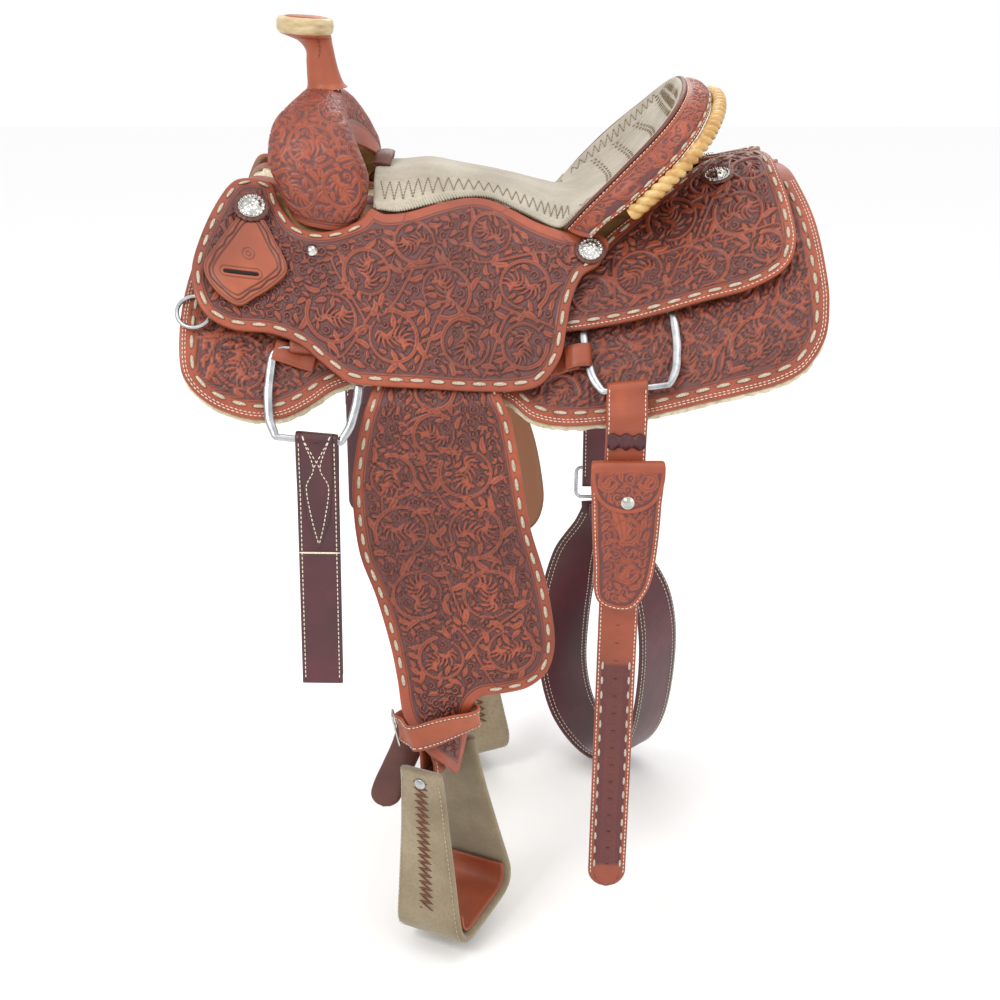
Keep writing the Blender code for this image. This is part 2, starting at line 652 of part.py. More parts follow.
# ---------------------------------------------------------------- soft layers on the back
def make_side(side):
    out = (0, side * 0.8, 0.6)
    g = patch(SEAT_JOCKEY, SEAT_JOCKEY_CORNERS, 18, 7)
    sheet(tag("seat_jockey", side), [[back(q.x, q.y, seat_n(q.x, q.y), side) for q in r] for r in g],
          LEATHER, "skirting_leather", out)
    g = patch(REAR_JOCKEY, REAR_JOCKEY_CORNERS, 7, 9)
    sheet(tag("rear_jockey", side), [[back(q.x, q.y, rear_n(q.x, q.y), side) for q in r] for r in g],
          0.0045, "skirting_leather", out)
    g = patch(SKIRT, SKIRT_CORNERS, 16, 9)
    sheet(tag("skirt", side), [[back(q.x, q.y, SKIRT_OUT, side) for q in r] for r in g],
          SKIRT_T, "skirting_leather", out)
    g = patch(SKIRT, SKIRT_CORNERS, 14, 8)
    sheet(tag("fleece", side), [[back(q.x, q.y + 0.001, FLEECE_T + 0.0004, side) for q in r] for r in g],
          FLEECE_T, "wool", out)


# ---------------------------------------------------------------- rigging
FRONT_DEE = dict(x=(-0.250, -0.144), u=0.262, length=0.100, n=0.0275, out=0.0030, tilt=0.5)
REAR_DEE = dict(x=(0.084, 0.194), u=0.200, length=0.092, n=0.0246, out=0.0100, tilt=0.9)


def dee_frame(d, side):
    """Pivot point, pivot axis and the direction down the ring, all lying along the skirt."""
    xm = (d["x"][0] + d["x"][1]) / 2
    p = back(xm, d["u"], d["n"], side)
    axis = back(xm + 0.01, d["u"], d["n"], side) - back(xm - 0.01, d["u"], d["n"], side)
    axis.z *= d["tilt"]
    axis.normalize()
    down = back(xm, d["u"] + d["length"], d["n"] + d["out"], side) - p
    down = (down - axis * down.dot(axis)).normalized()
    return p, axis, down


def make_dee(name, d, side, mat="steel"):
    """Flat dee: round pivot bar on top, flat bottom bar for the strap."""
    p, axis, down = dee_frame(d, side)
    nrm = axis.cross(down).normalized()
    h = (d["x"][1] - d["x"][0]) / 2 - DEE_HALF_W
    L = d["length"]
    w, t = DEE_HALF_W, DEE_HALF_T
    path = []  # (lateral, down, half width in the ring's plane, half thickness)
    for k in range(5):
        path.append(((h - 0.012) * (k / 2 - 1), 0.0, 0.0024, 0.0024))
    path += [(h - 0.002, 0.006, 0.0040, t), (h, 0.020, w, t), (h, L - 0.050, w, t), (h - 0.002, L - 0.033, w, t),
             (h - 0.005, L - 0.018, w, t), (h - 0.011, L - 0.005, 0.0045, t), (0.0340, L, 0.0038, t)]
    path += [(-a, b, c, e) for a, b, c, e in reversed(path[5:])]
    rings = []
    n = len(path)
    for i, (lx, dz, a, b) in enumerate(path):
        prev, nxt = path[(i - 1) % n], path[(i + 1) % n]
        g = Vector((nxt[0] - prev[0], nxt[1] - prev[1])).normalized()
        side_dir = axis * g.y - down * g.x
        c = p + axis * lx + down * dz
        rings.append([c + side_dir * (a * math.cos(2 * math.pi * q / 8)) + nrm * (b * math.sin(2 * math.pi * q / 8))
                      for q in range(8)])
    return loft(name, rings, mat, closed=True, origin=p)


def make_rig(name, d, side, half, up):
    """Rigging leather that folds round the dee's straight bar."""
    xm = (d["x"][0] + d["x"][1]) / 2
    axis = dee_frame(d, side)[1]
    r_in, t = 0.0031, 0.0021
    rings = []
    for e in [(-1, -up), (-1, -up / 2), (-1, 0.0)] + list(range(1, 6)) + [(1, 0.0), (1, -up * 0.5)]:
        ring = []
        for r, sgn in ((r_in, -1), (r_in, 1), (r_in + t, 1), (r_in + t, -1)):
            if isinstance(e, tuple):
                u, n = d["u"] + e[1], d["n"] + e[0] * r
            else:
                a = math.pi * e / 6
                u, n = d["u"] + r * math.sin(a), d["n"] - r * math.cos(a)
            ring.append(back(xm, u, n, side) + axis * (sgn * half))
        rings.append(ring)
    return loft(name, rings, "skirting_leather")


def strap_loop(name, x_mid, hang_point, width, front_len, back_len, mat, gap=0.0052, shift=0.0, thick=STRAP_T,
               side=NEAR, round_end=False, spread=0.0, axis=(1, 0, 0), fork=0.0):
    """Strap doubled over a dee bar: up the back, over the bar and down the front.

    spread moves it outwards over the edge of the skirt; fork opens the two plies again
    at the lower end, to pass on both sides of a buckle's bar.
    """
    c = Vector((x_mid, hang_point.y, hang_point.z))
    o = side  # outward
    g = gap + thick / 2
    path = []
    close = 0.0007 + thick / 2

    def lateral(d):
        return close + (g - close) * (1 - smooth(0.012, 0.065, d)) + fork * smooth(0.205, 0.240, d)

    def out(d):
        return spread * smooth(0.004, 0.034, d)

    def lay(d):
        return Vector(axis).lerp(Vector((1, 0, 0)), smooth(0.0, 0.080, d))

    across = []

    lower = [back_len + (0.080 - back_len) * k / 6 for k in range(6)] if fork else [back_len, back_len * 5 / 6, back_len * 4 / 6]
    for d in lower + [0.080, 0.050, 0.028, 0.012]:
        path.append(c + Vector((-shift * d, o * (out(d) - lateral(d)), -d)))
        across.append(lay(d))
    for k in range(1, 6):
        a = math.pi * k / 6
        path.append(c + Vector((0, o * (out(0.0) - g * math.cos(a)), g * math.sin(a))))
        across.append(lay(0.0))
    m = 7 if fork else 5
    for d in [0.0, 0.012, 0.028, 0.050, 0.080] + [0.080 + (front_len - 0.080) * k / m for k in range(1, m + 1)]:
        path.append(c + Vector((-shift * d, o * (out(d) + lateral(d)), -d)))
        across.append(lay(d))
    widths = [width] * len(path)
    if round_end:
        tip = path[-1]
        path = path[:-1] + [tip + Vector((0, 0, 0.018)), tip + Vector((0, 0, 0.006)), tip]
        across += [across[-1]] * 2
        widths = [width] * (len(path) - 2) + [width * 0.82, width * 0.42]
    return ribbon(name, path, across, widths, thick, mat, origin=hang_point)


# ---------------------------------------------------------------- fender, stirrup leather and stirrup
def fender_y(z):
    """Outer face of the fender: over the skirt it follows the flank, below it hangs straight."""
    lo, hi = 0.14, 0.40
    for _ in range(30):
        m = (lo + hi) / 2
        if back(-0.060, m, 0.0285).z > z:
            lo = m
        else:
            hi = m
    u = (lo + hi) / 2
    y = -back(-0.060, u, 0.0285 + 0.0030 * smooth(-0.06, -0.10, z)).y
    t = smooth(-0.100, -0.140, z)
    return min(y, FENDER_Y) * (1 - t) + FENDER_Y * t


def twist(z, side):
    """Frame of the stirrup leather at height z: middle, width direction, outward direction."""
    a = TURN * smooth(-0.455, -0.548, z)
    w = Vector((math.cos(a), -side * math.sin(a), 0))
    v = Vector((math.sin(a) * 1.0, side * math.cos(a), 0))
    return Vector((BOLT[0], side * LEATHER_Y, z)), w, v


def loop_gap(z):
    return 0.0085 * smooth(-0.470, -0.535, z)


def fender_point(x, z, side):
    if z > -0.440:
        return Vector((x, side * fender_y(z), z))
    c, w, v = twist(z, side)
    return c + w * (x - BOLT[0]) + v * (FENDER_Y - LEATHER_Y + loop_gap(z) + 0.0052 * smooth(-0.445, -0.480, z))


def make_fender(side, pivot):
    g = patch(FENDER, FENDER_CORNERS, 6, 20, flank=False)
    rows = [[fender_point(q.x, q.y, side) for q in r] for r in g]
    return sheet(tag("fender", side), rows, LEATHER, "skirting_leather", (0, side, 0), origin=pivot)


def stirrup_axes(side):
    w = Vector((math.cos(TURN) * math.cos(TILT), -side * math.sin(TURN) * math.cos(TILT), math.sin(TILT)))
    v = Vector((math.sin(TURN), side * math.cos(TURN), 0)).normalized()
    z = v.cross(w) if side == OFF else w.cross(v)
    z = z if z.z > 0 else -z
    return w.normalized(), v, z.normalized()


def bolt_centre(side):
    return Vector((BOLT[0], side * LEATHER_Y, BOLT[2]))


def make_stirrup(side):
    w, v, z = stirrup_axes(side)
    c = bolt_centre(side)
    # centre line of the bent band: (across, down, band width)
    prof = [(-0.0395, -0.014, 0.054), (-0.0400, 0.010, 0.057), (-0.0460, 0.065, 0.064), (-0.0540, 0.128, 0.075),
            (-0.0610, 0.178, 0.084), (-0.0620, 0.199, 0.088), (-0.0545, 0.213, 0.090), (-0.0390, 0.2190, 0.090)]
    prof = prof + [(-a, d, b) for a, d, b in reversed(prof)]
    t = 0.0100
    rings = []
    n = len(prof)
    for i, (a, d, bw) in enumerate(prof):
        pa, pb = prof[max(0, i - 1)], prof[min(n - 1, i + 1)]
        tx, tz = pb[0] - pa[0], -(pb[1] - pa[1])
        L = math.hypot(tx, tz)
        nx, nz = -tz / L, tx / L      # inward of the loop
        p = c + w * a - z * d
        nn = (w * nx + z * nz) * (t / 2)
        h = v * (bw / 2)
        e = v * 0.003
        rings.append([p + h - nn * 0.5, p + h + nn * 0.5, p + h - e + nn, p - h + e + nn,
                      p - h + nn * 0.5, p - h - nn * 0.5, p - h + e - nn, p + h - e - nn])
    ob = loft(tag("stirrup", side), rings, "roughout")
    hole = rod("bolt_hole_cut" + ("_n" if side == NEAR else "_o"), c, w, 0.0049, 0.14, CUT)
    hole.hide_render = True
    hole.display_type = "WIRE"
    cut(ob, hole)
    # leather cover of the tread, in the bottom of the loop
    pr = [(-0.0510, 0.184), (-0.0510, 0.198), (-0.0460, 0.2085), (-0.0350, 0.2125)]
    pr = pr + [(-a, d) for a, d in reversed(pr)]
    rings = []
    n = len(pr)
    for i, (a, d) in enumerate(pr):
        pa, pb = pr[max(0, i - 1)], pr[min(n - 1, i + 1)]
        tx, tz = pb[0] - pa[0], -(pb[1] - pa[1])
        L = math.hypot(tx, tz)
        nn = (w * (-tz / L) + z * (tx / L))
        p = c + w * a - z * d
        h = v * 0.0405
        rings.append([p + h, p - h, p - h + nn * 0.0035, p + h + nn * 0.0035])
    loft(tag("stirrup_tread", side), rings, "skirting_leather")
    bolt = rod(tag("stirrup_bolt", side), c, w, 0.0045, 0.096, PART)
    finish(bolt, "steel")
    return ob


def rod(name, centre, axis, radius, length, collection, segments=14):
    bm = bmesh.new()
    bmesh.ops.create_cone(bm, cap_ends=True, segments=segments, radius1=radius, radius2=radius, depth=length)
    me = bpy.data.meshes.new(name)
    bm.to_mesh(me)
    bm.free()
    ob = bpy.data.objects.new(name, me)
    ob.rotation_mode = "QUATERNION"
    ob.rotation_quaternion = Vector((0, 0, 1)).rotation_difference(axis)
    ob.location = centre
    collection.objects.link(ob)
    return ob


def make_stirrup_leather(side, pivot):
    """Strap behind the fender that turns out and loops round the stirrup bolt."""
    bw, bv, bz = stirrup_axes(side)
    c = bolt_centre(side)
    g = 0.0085
    path, across = [], []
    for z in (-0.150, -0.220, -0.300, -0.380, -0.440, -0.465, -0.485, -0.505, -0.525, -0.540):
        m, w, v = twist(z, side)
        path.append(m + v * loop_gap(z))
        across.append(w)
    for k in range(0, 7):
        a = math.pi * k / 6
        path.append(c + bv * (g * math.cos(a)) - bz * (g * math.sin(a)))
        across.append(bw)
    for z in (-0.536, -0.520, -0.500, -0.478, -0.462):
        m, w, v = twist(z, side)
        path.append(m - v * (0.0085 - 0.0025 * smooth(-0.53, -0.47, z)))
        across.append(w)
    return ribbon(tag("stirrup_leather", side), path, across, 0.0520, 0.0045, "skirting_leather", origin=pivot,
                  twisted=True)


def make_hobble(side, pivot):
    """Strap buckled round the fender's tail and the stirrup leather."""
    z0 = -0.4965
    t, hgt = 0.0035, 0.030
    segs = 20
    lean = math.radians(5)
    rings = []
    for k in range(segs):
        a = 2 * math.pi * k / segs
        ca, sa = math.cos(a), math.sin(a)
        px = math.copysign(abs(ca) ** 0.4, ca)
        py = math.copysign(abs(sa) ** 0.4, sa)
        ring = []
        for grow, up in ((0, -1), (t, -1), (t, 1), (0, 1)):
            z = z0 + px * 0.045 * math.tan(lean) + up * hgt / 2
            m, w, v = twist(z, side)
            ring.append(m + w * (px * (0.0440 + grow) - 0.0020) + v * (0.0028 + loop_gap(z) * 0.5 + py * (0.0218 + grow)))
        rings.append(ring)
    return loft(tag("hobble_strap", side), rings, "skirting_leather", closed=True, origin=pivot, twisted=True)


# ---------------------------------------------------------------- small fittings
def make_concho(name, x, u, surf, r, lift, side, oval=1.0):
    """Domed metal disc on the leather."""
    p = back(x, u, surf(x, u), side)
    e = 0.002
    tx = (back(x + e, u, surf(x + e, u), side) - back(x - e, u, surf(x - e, u), side)).normalized()
    tu = (back(x, u + e, surf(x, u + e), side) - back(x, u - e, surf(x, u - e), side)).normalized()
    n = tx.cross(tu).normalized()
    if n.dot(Vector((0, side, 0.5))) < 0:
        n = -n
    tu = n.cross(tx)
    rings = []
    for rr, hh in ((1.0, 0.0), (1.0, 0.0016), (0.86, 0.0030), (0.55, 0.0048), (0.22, 0.0056)):
        rings.append([p + n * (lift + hh) + tx * (r * oval * rr * math.cos(2 * math.pi * k / 12))
                      + tu * (r * rr * math.sin(2 * math.pi * k / 12)) for k in range(12)])
    return loft(name, rings, "silver")


KEEPER = [(-285, 138), (-271, 132), (-259, 135), (-244, 160), (-232, 180), (-231, 193), (-245, 210), (-262, 225),
          (-279, 238), (-299, 232), (-313, 219), (-318, 206), (-314, 192), (-300, 165)]


def make_keeper(side=NEAR):
    """Latigo keeper: a shaped leaf on the front jockey with a slot for the strap's end."""
    g = patch(KEEPER, (0, 2, 7, 10), 5, 7)
    ob = sheet("latigo_keeper", [[back(q.x, q.y, seat_n(q.x, q.y) + 0.0085, side) for q in r] for r in g],
               0.0060, "skirting_leather", (0, side * 0.8, 0.6))
    ob = mesh_of(ob)
    finish(ob, "skirting_leather")
    p = back(-0.2800, 0.2030, seat_n(-0.28, 0.203) + 0.005, side)
    nrm = (back(-0.28, 0.203, 0.06, side) - back(-0.28, 0.203, 0.0, side)).normalized()
    bm = bmesh.new()
    bmesh.ops.create_cube(bm, size=1.0)
    bmesh.ops.scale(bm, vec=(0.038, 0.0045, 0.030), verts=bm.verts[:])
    me = bpy.data.meshes.new("keeper_slot_cut")
    bm.to_mesh(me)
    bm.free()
    cutter = bpy.data.objects.new("keeper_slot_cut", me)
    cutter.location = p
    tx = Vector((1, 0, 0))
    ty = nrm.cross(tx).normalized()
    m = Matrix((tx, ty, nrm)).transposed().to_4x4()
    cutter.matrix_world = Matrix.Translation(p) @ m @ Matrix.Rotation(math.radians(-7), 4, "Z")
    cutter.hide_render = True
    cutter.display_type = "WIRE"
    CUT.objects.link(cutter)
    cut(ob, cutter)
    return ob


def make_collar_dee(side):
    """Small ring for the breast collar, hanging at the skirt's front edge."""
    p = back(-0.3250, 0.232, 0.0240, side)
    R, r = 0.0185, 0.0022
    down = (back(-0.3345, 0.267, 0.0240, side) - p).normalized()
    axis = Vector((1, 0, 0))
    axis = (axis - down * axis.dot(down)).normalized()
    nrm = axis.cross(down).normalized()
    c = p + down * R
    rings = []
    for k in range(18):
        a = 2 * math.pi * k / 18
        rad = -down * math.cos(a) + axis * math.sin(a)
        q = c + rad * R
        rings.append([q + rad * (r * math.cos(math.pi * m / 3)) + nrm * (r * math.sin(math.pi * m / 3)) for m in range(6)])
    return loft(tag("collar_dee", side), rings, "steel", closed=True, origin=p)


# ---------------------------------------------------------------- knife sheath on the near rear billet
def make_sheath(hang_point):
    """Pouch open at the top, with a hinged flap and a snap."""
    y0 = hang_point.y - 0.0075          # rear face, in front of the billet
    outline = [(0.1020, -0.182), (0.1740, -0.182), (0.1750, -0.225), (0.1700, -0.290), (0.1620, -0.322),
               (0.1420, -0.346), (0.1080, -0.335), (0.1030, -0.290), (0.1000, -0.225)]
    depth, wall = 0.0135, 0.0028
    cx = sum(p[0] for p in outline) / len(outline)
    cz = sum(p[1] for p in outline) / len(outline)
    bm = bmesh.new()

    def ring(y, inset, top):
        out = []
        for x, z in outline:
            dx = (cx - x)
            s = inset / 0.037
            zz = z + (cz - z) * inset / 0.08
            if z > -0.19:
                zz = top
            out.append(bm.verts.new((x + dx * s, y, zz)))
        return out

    ys = (y0, y0 - depth)
    ob, of = ring(ys[0], 0.0, -0.182), ring(ys[1], 0.0, -0.182)
    ib, fi = ring(ys[0] - wall, wall, -0.182), ring(ys[1] + wall, wall, -0.182)
    n = len(outline)
    bm.faces.new(ob)
    bm.faces.new(of)
    bm.faces.new(ib)
    bm.faces.new(fi)
    for i in range(1, n):
        j = (i + 1) % n
        bm.faces.new((ob[i], ob[j], of[j], of[i]))
        bm.faces.new((ib[i], ib[j], fi[j], fi[i]))
    # rim of the mouth
    bm.faces.new((ob[0], ob[1], ib[1], ib[0]))
    bm.faces.new((of[0], of[1], fi[1], fi[0]))
    bm.faces.new((ob[0], ib[0], fi[0], of[0]))
    bm.faces.new((ob[1], ib[1], fi[1], of[1]))
    bmesh.ops.triangulate(bm, faces=bm.faces[:])
    pouch = new_mesh("sheath_pouch", bm, "skirting_leather")
    # flap: hinged along the top of the rear wall, lying over the mouth and the front
    hinge = Vector((0.138, y0 - 0.0014, -0.1800))
    yf = y0 - depth - 0.0010
    prof = [(y0 - 0.0027, -0.1808), (y0 - 0.0028, -0.1790), (y0 - 0.0044, -0.1774), (yf + 0.003, -0.1768),
            (yf, -0.1800), (yf, -0.1950), (yf, -0.2120), (yf, -0.2230), (yf, -0.2300)]
    half = [0.0370, 0.0375, 0.0385, 0.0395, 0.0400, 0.0395, 0.0350, 0.0250, 0.0110]
    t = 0.0026
    rings = []
    for i, ((y, z), hw) in enumerate(zip(prof, half)):
        a, b = prof[max(0, i - 1)], prof[min(len(prof) - 1, i + 1)]
        ty, tz = b[0] - a[0], b[1] - a[1]
        L = math.hypot(ty, tz)
        ny, nz = tz / L, -ty / L      # outward
        if i == 0:
            ny, nz = 0.0, 0.0
        x0, x1 = 0.138 - hw, 0.138 + hw
        if i == 0:
            rings.append([Vector((x0, y, z)), Vector((x1, y, z)), Vector((x1, y + 0.0022, z)), Vector((x0, y + 0.0022, z))])
        else:
            rings.append([Vector((x0, y, z)), Vector((x1, y, z)), Vector((x1, y + ny * t, z + nz * t)),
                          Vector((x0, y + ny * t, z + nz * t))])
    flap = loft("sheath_flap", rings, "skirting_leather", origin=hinge)
    snap = rod("sheath_snap", Vector((0.1380, yf - t - 0.0022, -0.2180)), Vector((0, 1, 0)), 0.0062, 0.0030, PART, 14)
    finish(snap, "silver")
    return pouch, flap, snap, hinge


# ---------------------------------------------------------------- flank cinch on the off side
def make_flank_cinch(top):
    """Wide strap hanging in a loop from the off rear billet's buckle, both ends up."""
    path, across, width = [], [], []
    cx, cy = top.x, top.y
    # stations: (along the loop's plane, height, half turn of the width, width)
    st = [(0.000, -0.4060, 0.02, 0.042), (0.000, -0.4200, 0.03, 0.042), (-0.010, -0.446, 0.10, 0.050), (-0.036, -0.490, 0.25, 0.068),
          (-0.052, -0.550, 0.40, 0.082), (-0.060, -0.620, 0.55, 0.084), (-0.058, -0.680, 0.70, 0.084),
          (-0.040, -0.732, 0.82, 0.084), (-0.006, -0.766, 0.92, 0.084), (0.034, -0.780, 0.98, 0.084),
          (0.074, -0.766, 1.00, 0.084), (0.102, -0.720, 1.00, 0.084), (0.116, -0.650, 1.00, 0.084),
          (0.118, -0.575, 0.96, 0.080), (0.104, -0.516, 0.82, 0.068), (0.070, -0.472, 0.60, 0.052),
          (0.034, -0.444, 0.42, 0.044), (0.015, -0.4230, 0.30, 0.042), (0.014, -0.4060, 0.30, 0.042)]
    alpha = math.radians(48)
    for a, z, turn, wd in st:
        # plane of the loop leans towards the mid-plane as it goes back
        path.append(Vector((cx + a * 0.72, cy - a * 0.60 - 0.02 * turn, z)))
        ang = alpha * turn
        across.append(Vector((math.cos(ang), math.sin(ang), 0)))
        width.append(wd)
    return ribbon("flank_cinch", path, across, width, 0.0050, "latigo_leather", twisted=True)


def make_buckle(name, centre, width, height, side):
    """Rectangular buckle frame."""
    hw, hh, r = width / 2, height / 2, 0.0026
    pts = []
    for sx, sz in ((1, 1), (-1, 1), (-1, -1), (1, -1)):
        for k in range(3):
            a = {(1, 1): 0, (-1, 1): 90, (-1, -1): 180, (1, -1): 270}[(sx, sz)] + 45 * k
            a = math.radians(a)
            pts.append((sx * (hw - 0.008) + 0.008 * math.cos(a), sz * (hh - 0.008) + 0.008 * math.sin(a)))
    rings = []
    n = len(pts)
    for i, (x, z) in enumerate(pts):
        a, b = pts[(i - 1) % n], pts[(i + 1) % n]
        t = Vector((b[0] - a[0], 0, b[1] - a[1])).normalized()
        s = t.cross(Vector((0, 1, 0)))
        c = centre + Vector((x, 0, z))
        rings.append([c + s * (r * math.cos(math.pi * m / 3)) + Vector((0, 1, 0)) * (r * math.sin(math.pi * m / 3))
                      for m in range(6)])
    return loft(name, rings, "steel", closed=True)


# ---------------------------------------------------------------- build
make_bar(NEAR)
make_bar(OFF)
make_fork()
make_swell_cover()
make_horn()
seat_layer("seat_pad", 0.0, N_ROWS - 1.0, 1.0, 20, 12, 0.0, 0.0038, "roughout")
seat_layer("ground_seat", 0.4, 7.7, 0.78, 9, 8, 0.0062, 0.0028, "steel")
make_cantle()
make_keeper()

for side in (NEAR, OFF):
    make_side(side)
    pivot = Vector((FENDER_PIVOT[0], side * FENDER_PIVOT[1], FENDER_PIVOT[2]))
    joint = empty(tag("fender_joint", side), pivot)
    for piece in (make_fender(side, pivot), make_stirrup_leather(side, pivot), make_hobble(side, pivot)):
        piece.parent = joint
        piece.location = (0, 0, 0)
    make_stirrup(side)
    make_dee(tag("front_dee", side), FRONT_DEE, side)
    make_dee(tag("rear_dee", side), REAR_DEE, side)
    make_rig(tag("front_rig", side), FRONT_DEE, side, 0.030, 0.030)
    make_rig(tag("rear_rig", side), REAR_DEE, side, 0.034, 0.030)
    make_collar_dee(side)
    make_concho(tag("concho_front", side), -0.273, 0.126, seat_n, 0.0150, 0.0088 if side == NEAR else 0.0004, side)
    make_concho(tag("concho_mid", side), 0.0990, 0.1415, seat_n, 0.0135, 0.0004, side)
    make_concho(tag("concho_rear", side), 0.2470, 0.0580, rear_n, 0.0130, 0.0004, side, 1.15)



def bar_bottom(d, side, x):
    """Middle of the dee's bottom bar at station x."""
    p, axis, down = dee_frame(d, side)
    q = p + down * d["length"]
    return q + axis * ((x - q.x) / axis.x)


AX_FN, AX_FO = dee_frame(FRONT_DEE, NEAR)[1], dee_frame(FRONT_DEE, OFF)[1]
AX_RN, AX_RO = dee_frame(REAR_DEE, NEAR)[1], dee_frame(REAR_DEE, OFF)[1]
lat = bar_bottom(FRONT_DEE, NEAR, -0.1955)
strap_loop("latigo", -0.1955, lat, 0.0450, 0.284, 0.276, "latigo_leather", shift=0.012, side=NEAR, axis=AX_FN)
lato = bar_bottom(FRONT_DEE, OFF, -0.1955)
strap_loop("off_billet", -0.1955, lato, 0.0440, 0.285, 0.120, "latigo_leather", side=OFF, round_end=True, axis=AX_FO)
rb = bar_bottom(REAR_DEE, NEAR, 0.1370)
strap_loop("rear_billet_near", 0.1370, rb, 0.0440, 0.608, 0.160, "skirting_leather", shift=0.018, side=NEAR,
           round_end=True, spread=0.0130, axis=AX_RN)
rbo = bar_bottom(REAR_DEE, OFF, 0.1370)
strap_loop("rear_billet_off", 0.1370, rbo, 0.0400, 0.286, 0.280, "latigo_leather", side=OFF, spread=0.0130,
           axis=AX_RO, fork=0.0029)
make_sheath(rb + Vector((0, -0.0107, 0)))
make_flank_cinch(Vector((0.137, rbo.y + 0.0130, 0)))
make_buckle("cinch_buckle", Vector((0.137, rbo.y + 0.0130, -0.378)), 0.058, 0.044, OFF)
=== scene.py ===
"""Team roping saddle: tooled leather, stitching, lacing, rawhide, wool and silver over the CAD frame."""
import json
import math

import bpy
import numpy as np
from mathutils import Vector
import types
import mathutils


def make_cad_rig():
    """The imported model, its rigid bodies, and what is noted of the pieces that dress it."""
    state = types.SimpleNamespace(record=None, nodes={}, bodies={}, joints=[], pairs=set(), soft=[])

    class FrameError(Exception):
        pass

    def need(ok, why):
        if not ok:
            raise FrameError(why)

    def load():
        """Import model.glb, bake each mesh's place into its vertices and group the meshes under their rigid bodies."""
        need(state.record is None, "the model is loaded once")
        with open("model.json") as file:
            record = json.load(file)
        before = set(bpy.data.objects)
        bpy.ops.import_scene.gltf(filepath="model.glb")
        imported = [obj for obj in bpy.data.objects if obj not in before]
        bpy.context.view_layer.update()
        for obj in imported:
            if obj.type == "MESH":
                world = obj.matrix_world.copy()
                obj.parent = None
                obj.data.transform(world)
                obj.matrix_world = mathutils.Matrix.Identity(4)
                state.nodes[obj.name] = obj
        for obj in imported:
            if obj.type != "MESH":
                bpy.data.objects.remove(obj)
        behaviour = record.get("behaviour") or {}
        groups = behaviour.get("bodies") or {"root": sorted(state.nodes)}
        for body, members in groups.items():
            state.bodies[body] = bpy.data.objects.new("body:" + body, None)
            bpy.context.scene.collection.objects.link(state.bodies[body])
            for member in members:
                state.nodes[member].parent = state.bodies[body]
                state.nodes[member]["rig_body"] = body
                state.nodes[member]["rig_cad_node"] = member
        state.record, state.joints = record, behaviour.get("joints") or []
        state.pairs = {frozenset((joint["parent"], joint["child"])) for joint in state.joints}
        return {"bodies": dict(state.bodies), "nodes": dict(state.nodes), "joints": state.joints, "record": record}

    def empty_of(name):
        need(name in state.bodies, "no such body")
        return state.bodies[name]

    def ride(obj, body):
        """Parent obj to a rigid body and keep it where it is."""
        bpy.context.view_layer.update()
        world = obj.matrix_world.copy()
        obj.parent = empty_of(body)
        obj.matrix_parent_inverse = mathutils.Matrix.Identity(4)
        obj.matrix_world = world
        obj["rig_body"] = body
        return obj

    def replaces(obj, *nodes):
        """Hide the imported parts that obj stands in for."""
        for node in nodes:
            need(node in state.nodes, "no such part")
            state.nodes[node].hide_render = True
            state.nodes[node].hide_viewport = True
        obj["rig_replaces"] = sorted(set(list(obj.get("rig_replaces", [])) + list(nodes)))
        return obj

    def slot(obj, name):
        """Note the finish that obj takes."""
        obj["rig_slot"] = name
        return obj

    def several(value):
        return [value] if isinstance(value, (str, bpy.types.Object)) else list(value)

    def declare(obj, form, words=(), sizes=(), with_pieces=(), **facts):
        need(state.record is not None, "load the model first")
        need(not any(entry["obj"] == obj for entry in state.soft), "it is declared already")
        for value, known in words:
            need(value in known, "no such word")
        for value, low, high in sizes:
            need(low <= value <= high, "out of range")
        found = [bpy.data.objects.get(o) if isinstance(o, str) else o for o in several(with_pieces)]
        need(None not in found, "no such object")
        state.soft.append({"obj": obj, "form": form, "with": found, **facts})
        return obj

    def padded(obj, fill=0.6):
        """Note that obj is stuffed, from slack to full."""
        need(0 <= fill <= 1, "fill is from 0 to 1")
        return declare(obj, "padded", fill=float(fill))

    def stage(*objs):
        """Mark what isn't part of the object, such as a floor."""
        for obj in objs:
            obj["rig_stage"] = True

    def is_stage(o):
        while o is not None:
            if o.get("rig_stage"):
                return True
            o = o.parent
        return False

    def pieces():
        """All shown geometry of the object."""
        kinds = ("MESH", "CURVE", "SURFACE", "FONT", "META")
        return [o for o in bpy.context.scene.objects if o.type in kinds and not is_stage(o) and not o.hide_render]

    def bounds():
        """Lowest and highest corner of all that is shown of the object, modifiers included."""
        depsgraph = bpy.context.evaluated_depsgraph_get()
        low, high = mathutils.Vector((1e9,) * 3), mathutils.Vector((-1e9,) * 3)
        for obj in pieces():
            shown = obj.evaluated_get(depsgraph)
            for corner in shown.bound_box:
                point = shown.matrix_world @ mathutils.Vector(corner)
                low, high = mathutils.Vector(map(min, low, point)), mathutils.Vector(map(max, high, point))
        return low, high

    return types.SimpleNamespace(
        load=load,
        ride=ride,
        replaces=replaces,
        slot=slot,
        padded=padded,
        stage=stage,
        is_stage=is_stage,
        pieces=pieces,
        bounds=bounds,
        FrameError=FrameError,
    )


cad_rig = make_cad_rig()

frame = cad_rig.load()
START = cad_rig.bounds()
rng = np.random.default_rng(7)
NEAR, OFF = -1, 1


def tag(base, side):
    return base + ("_near" if side == NEAR else "_off")


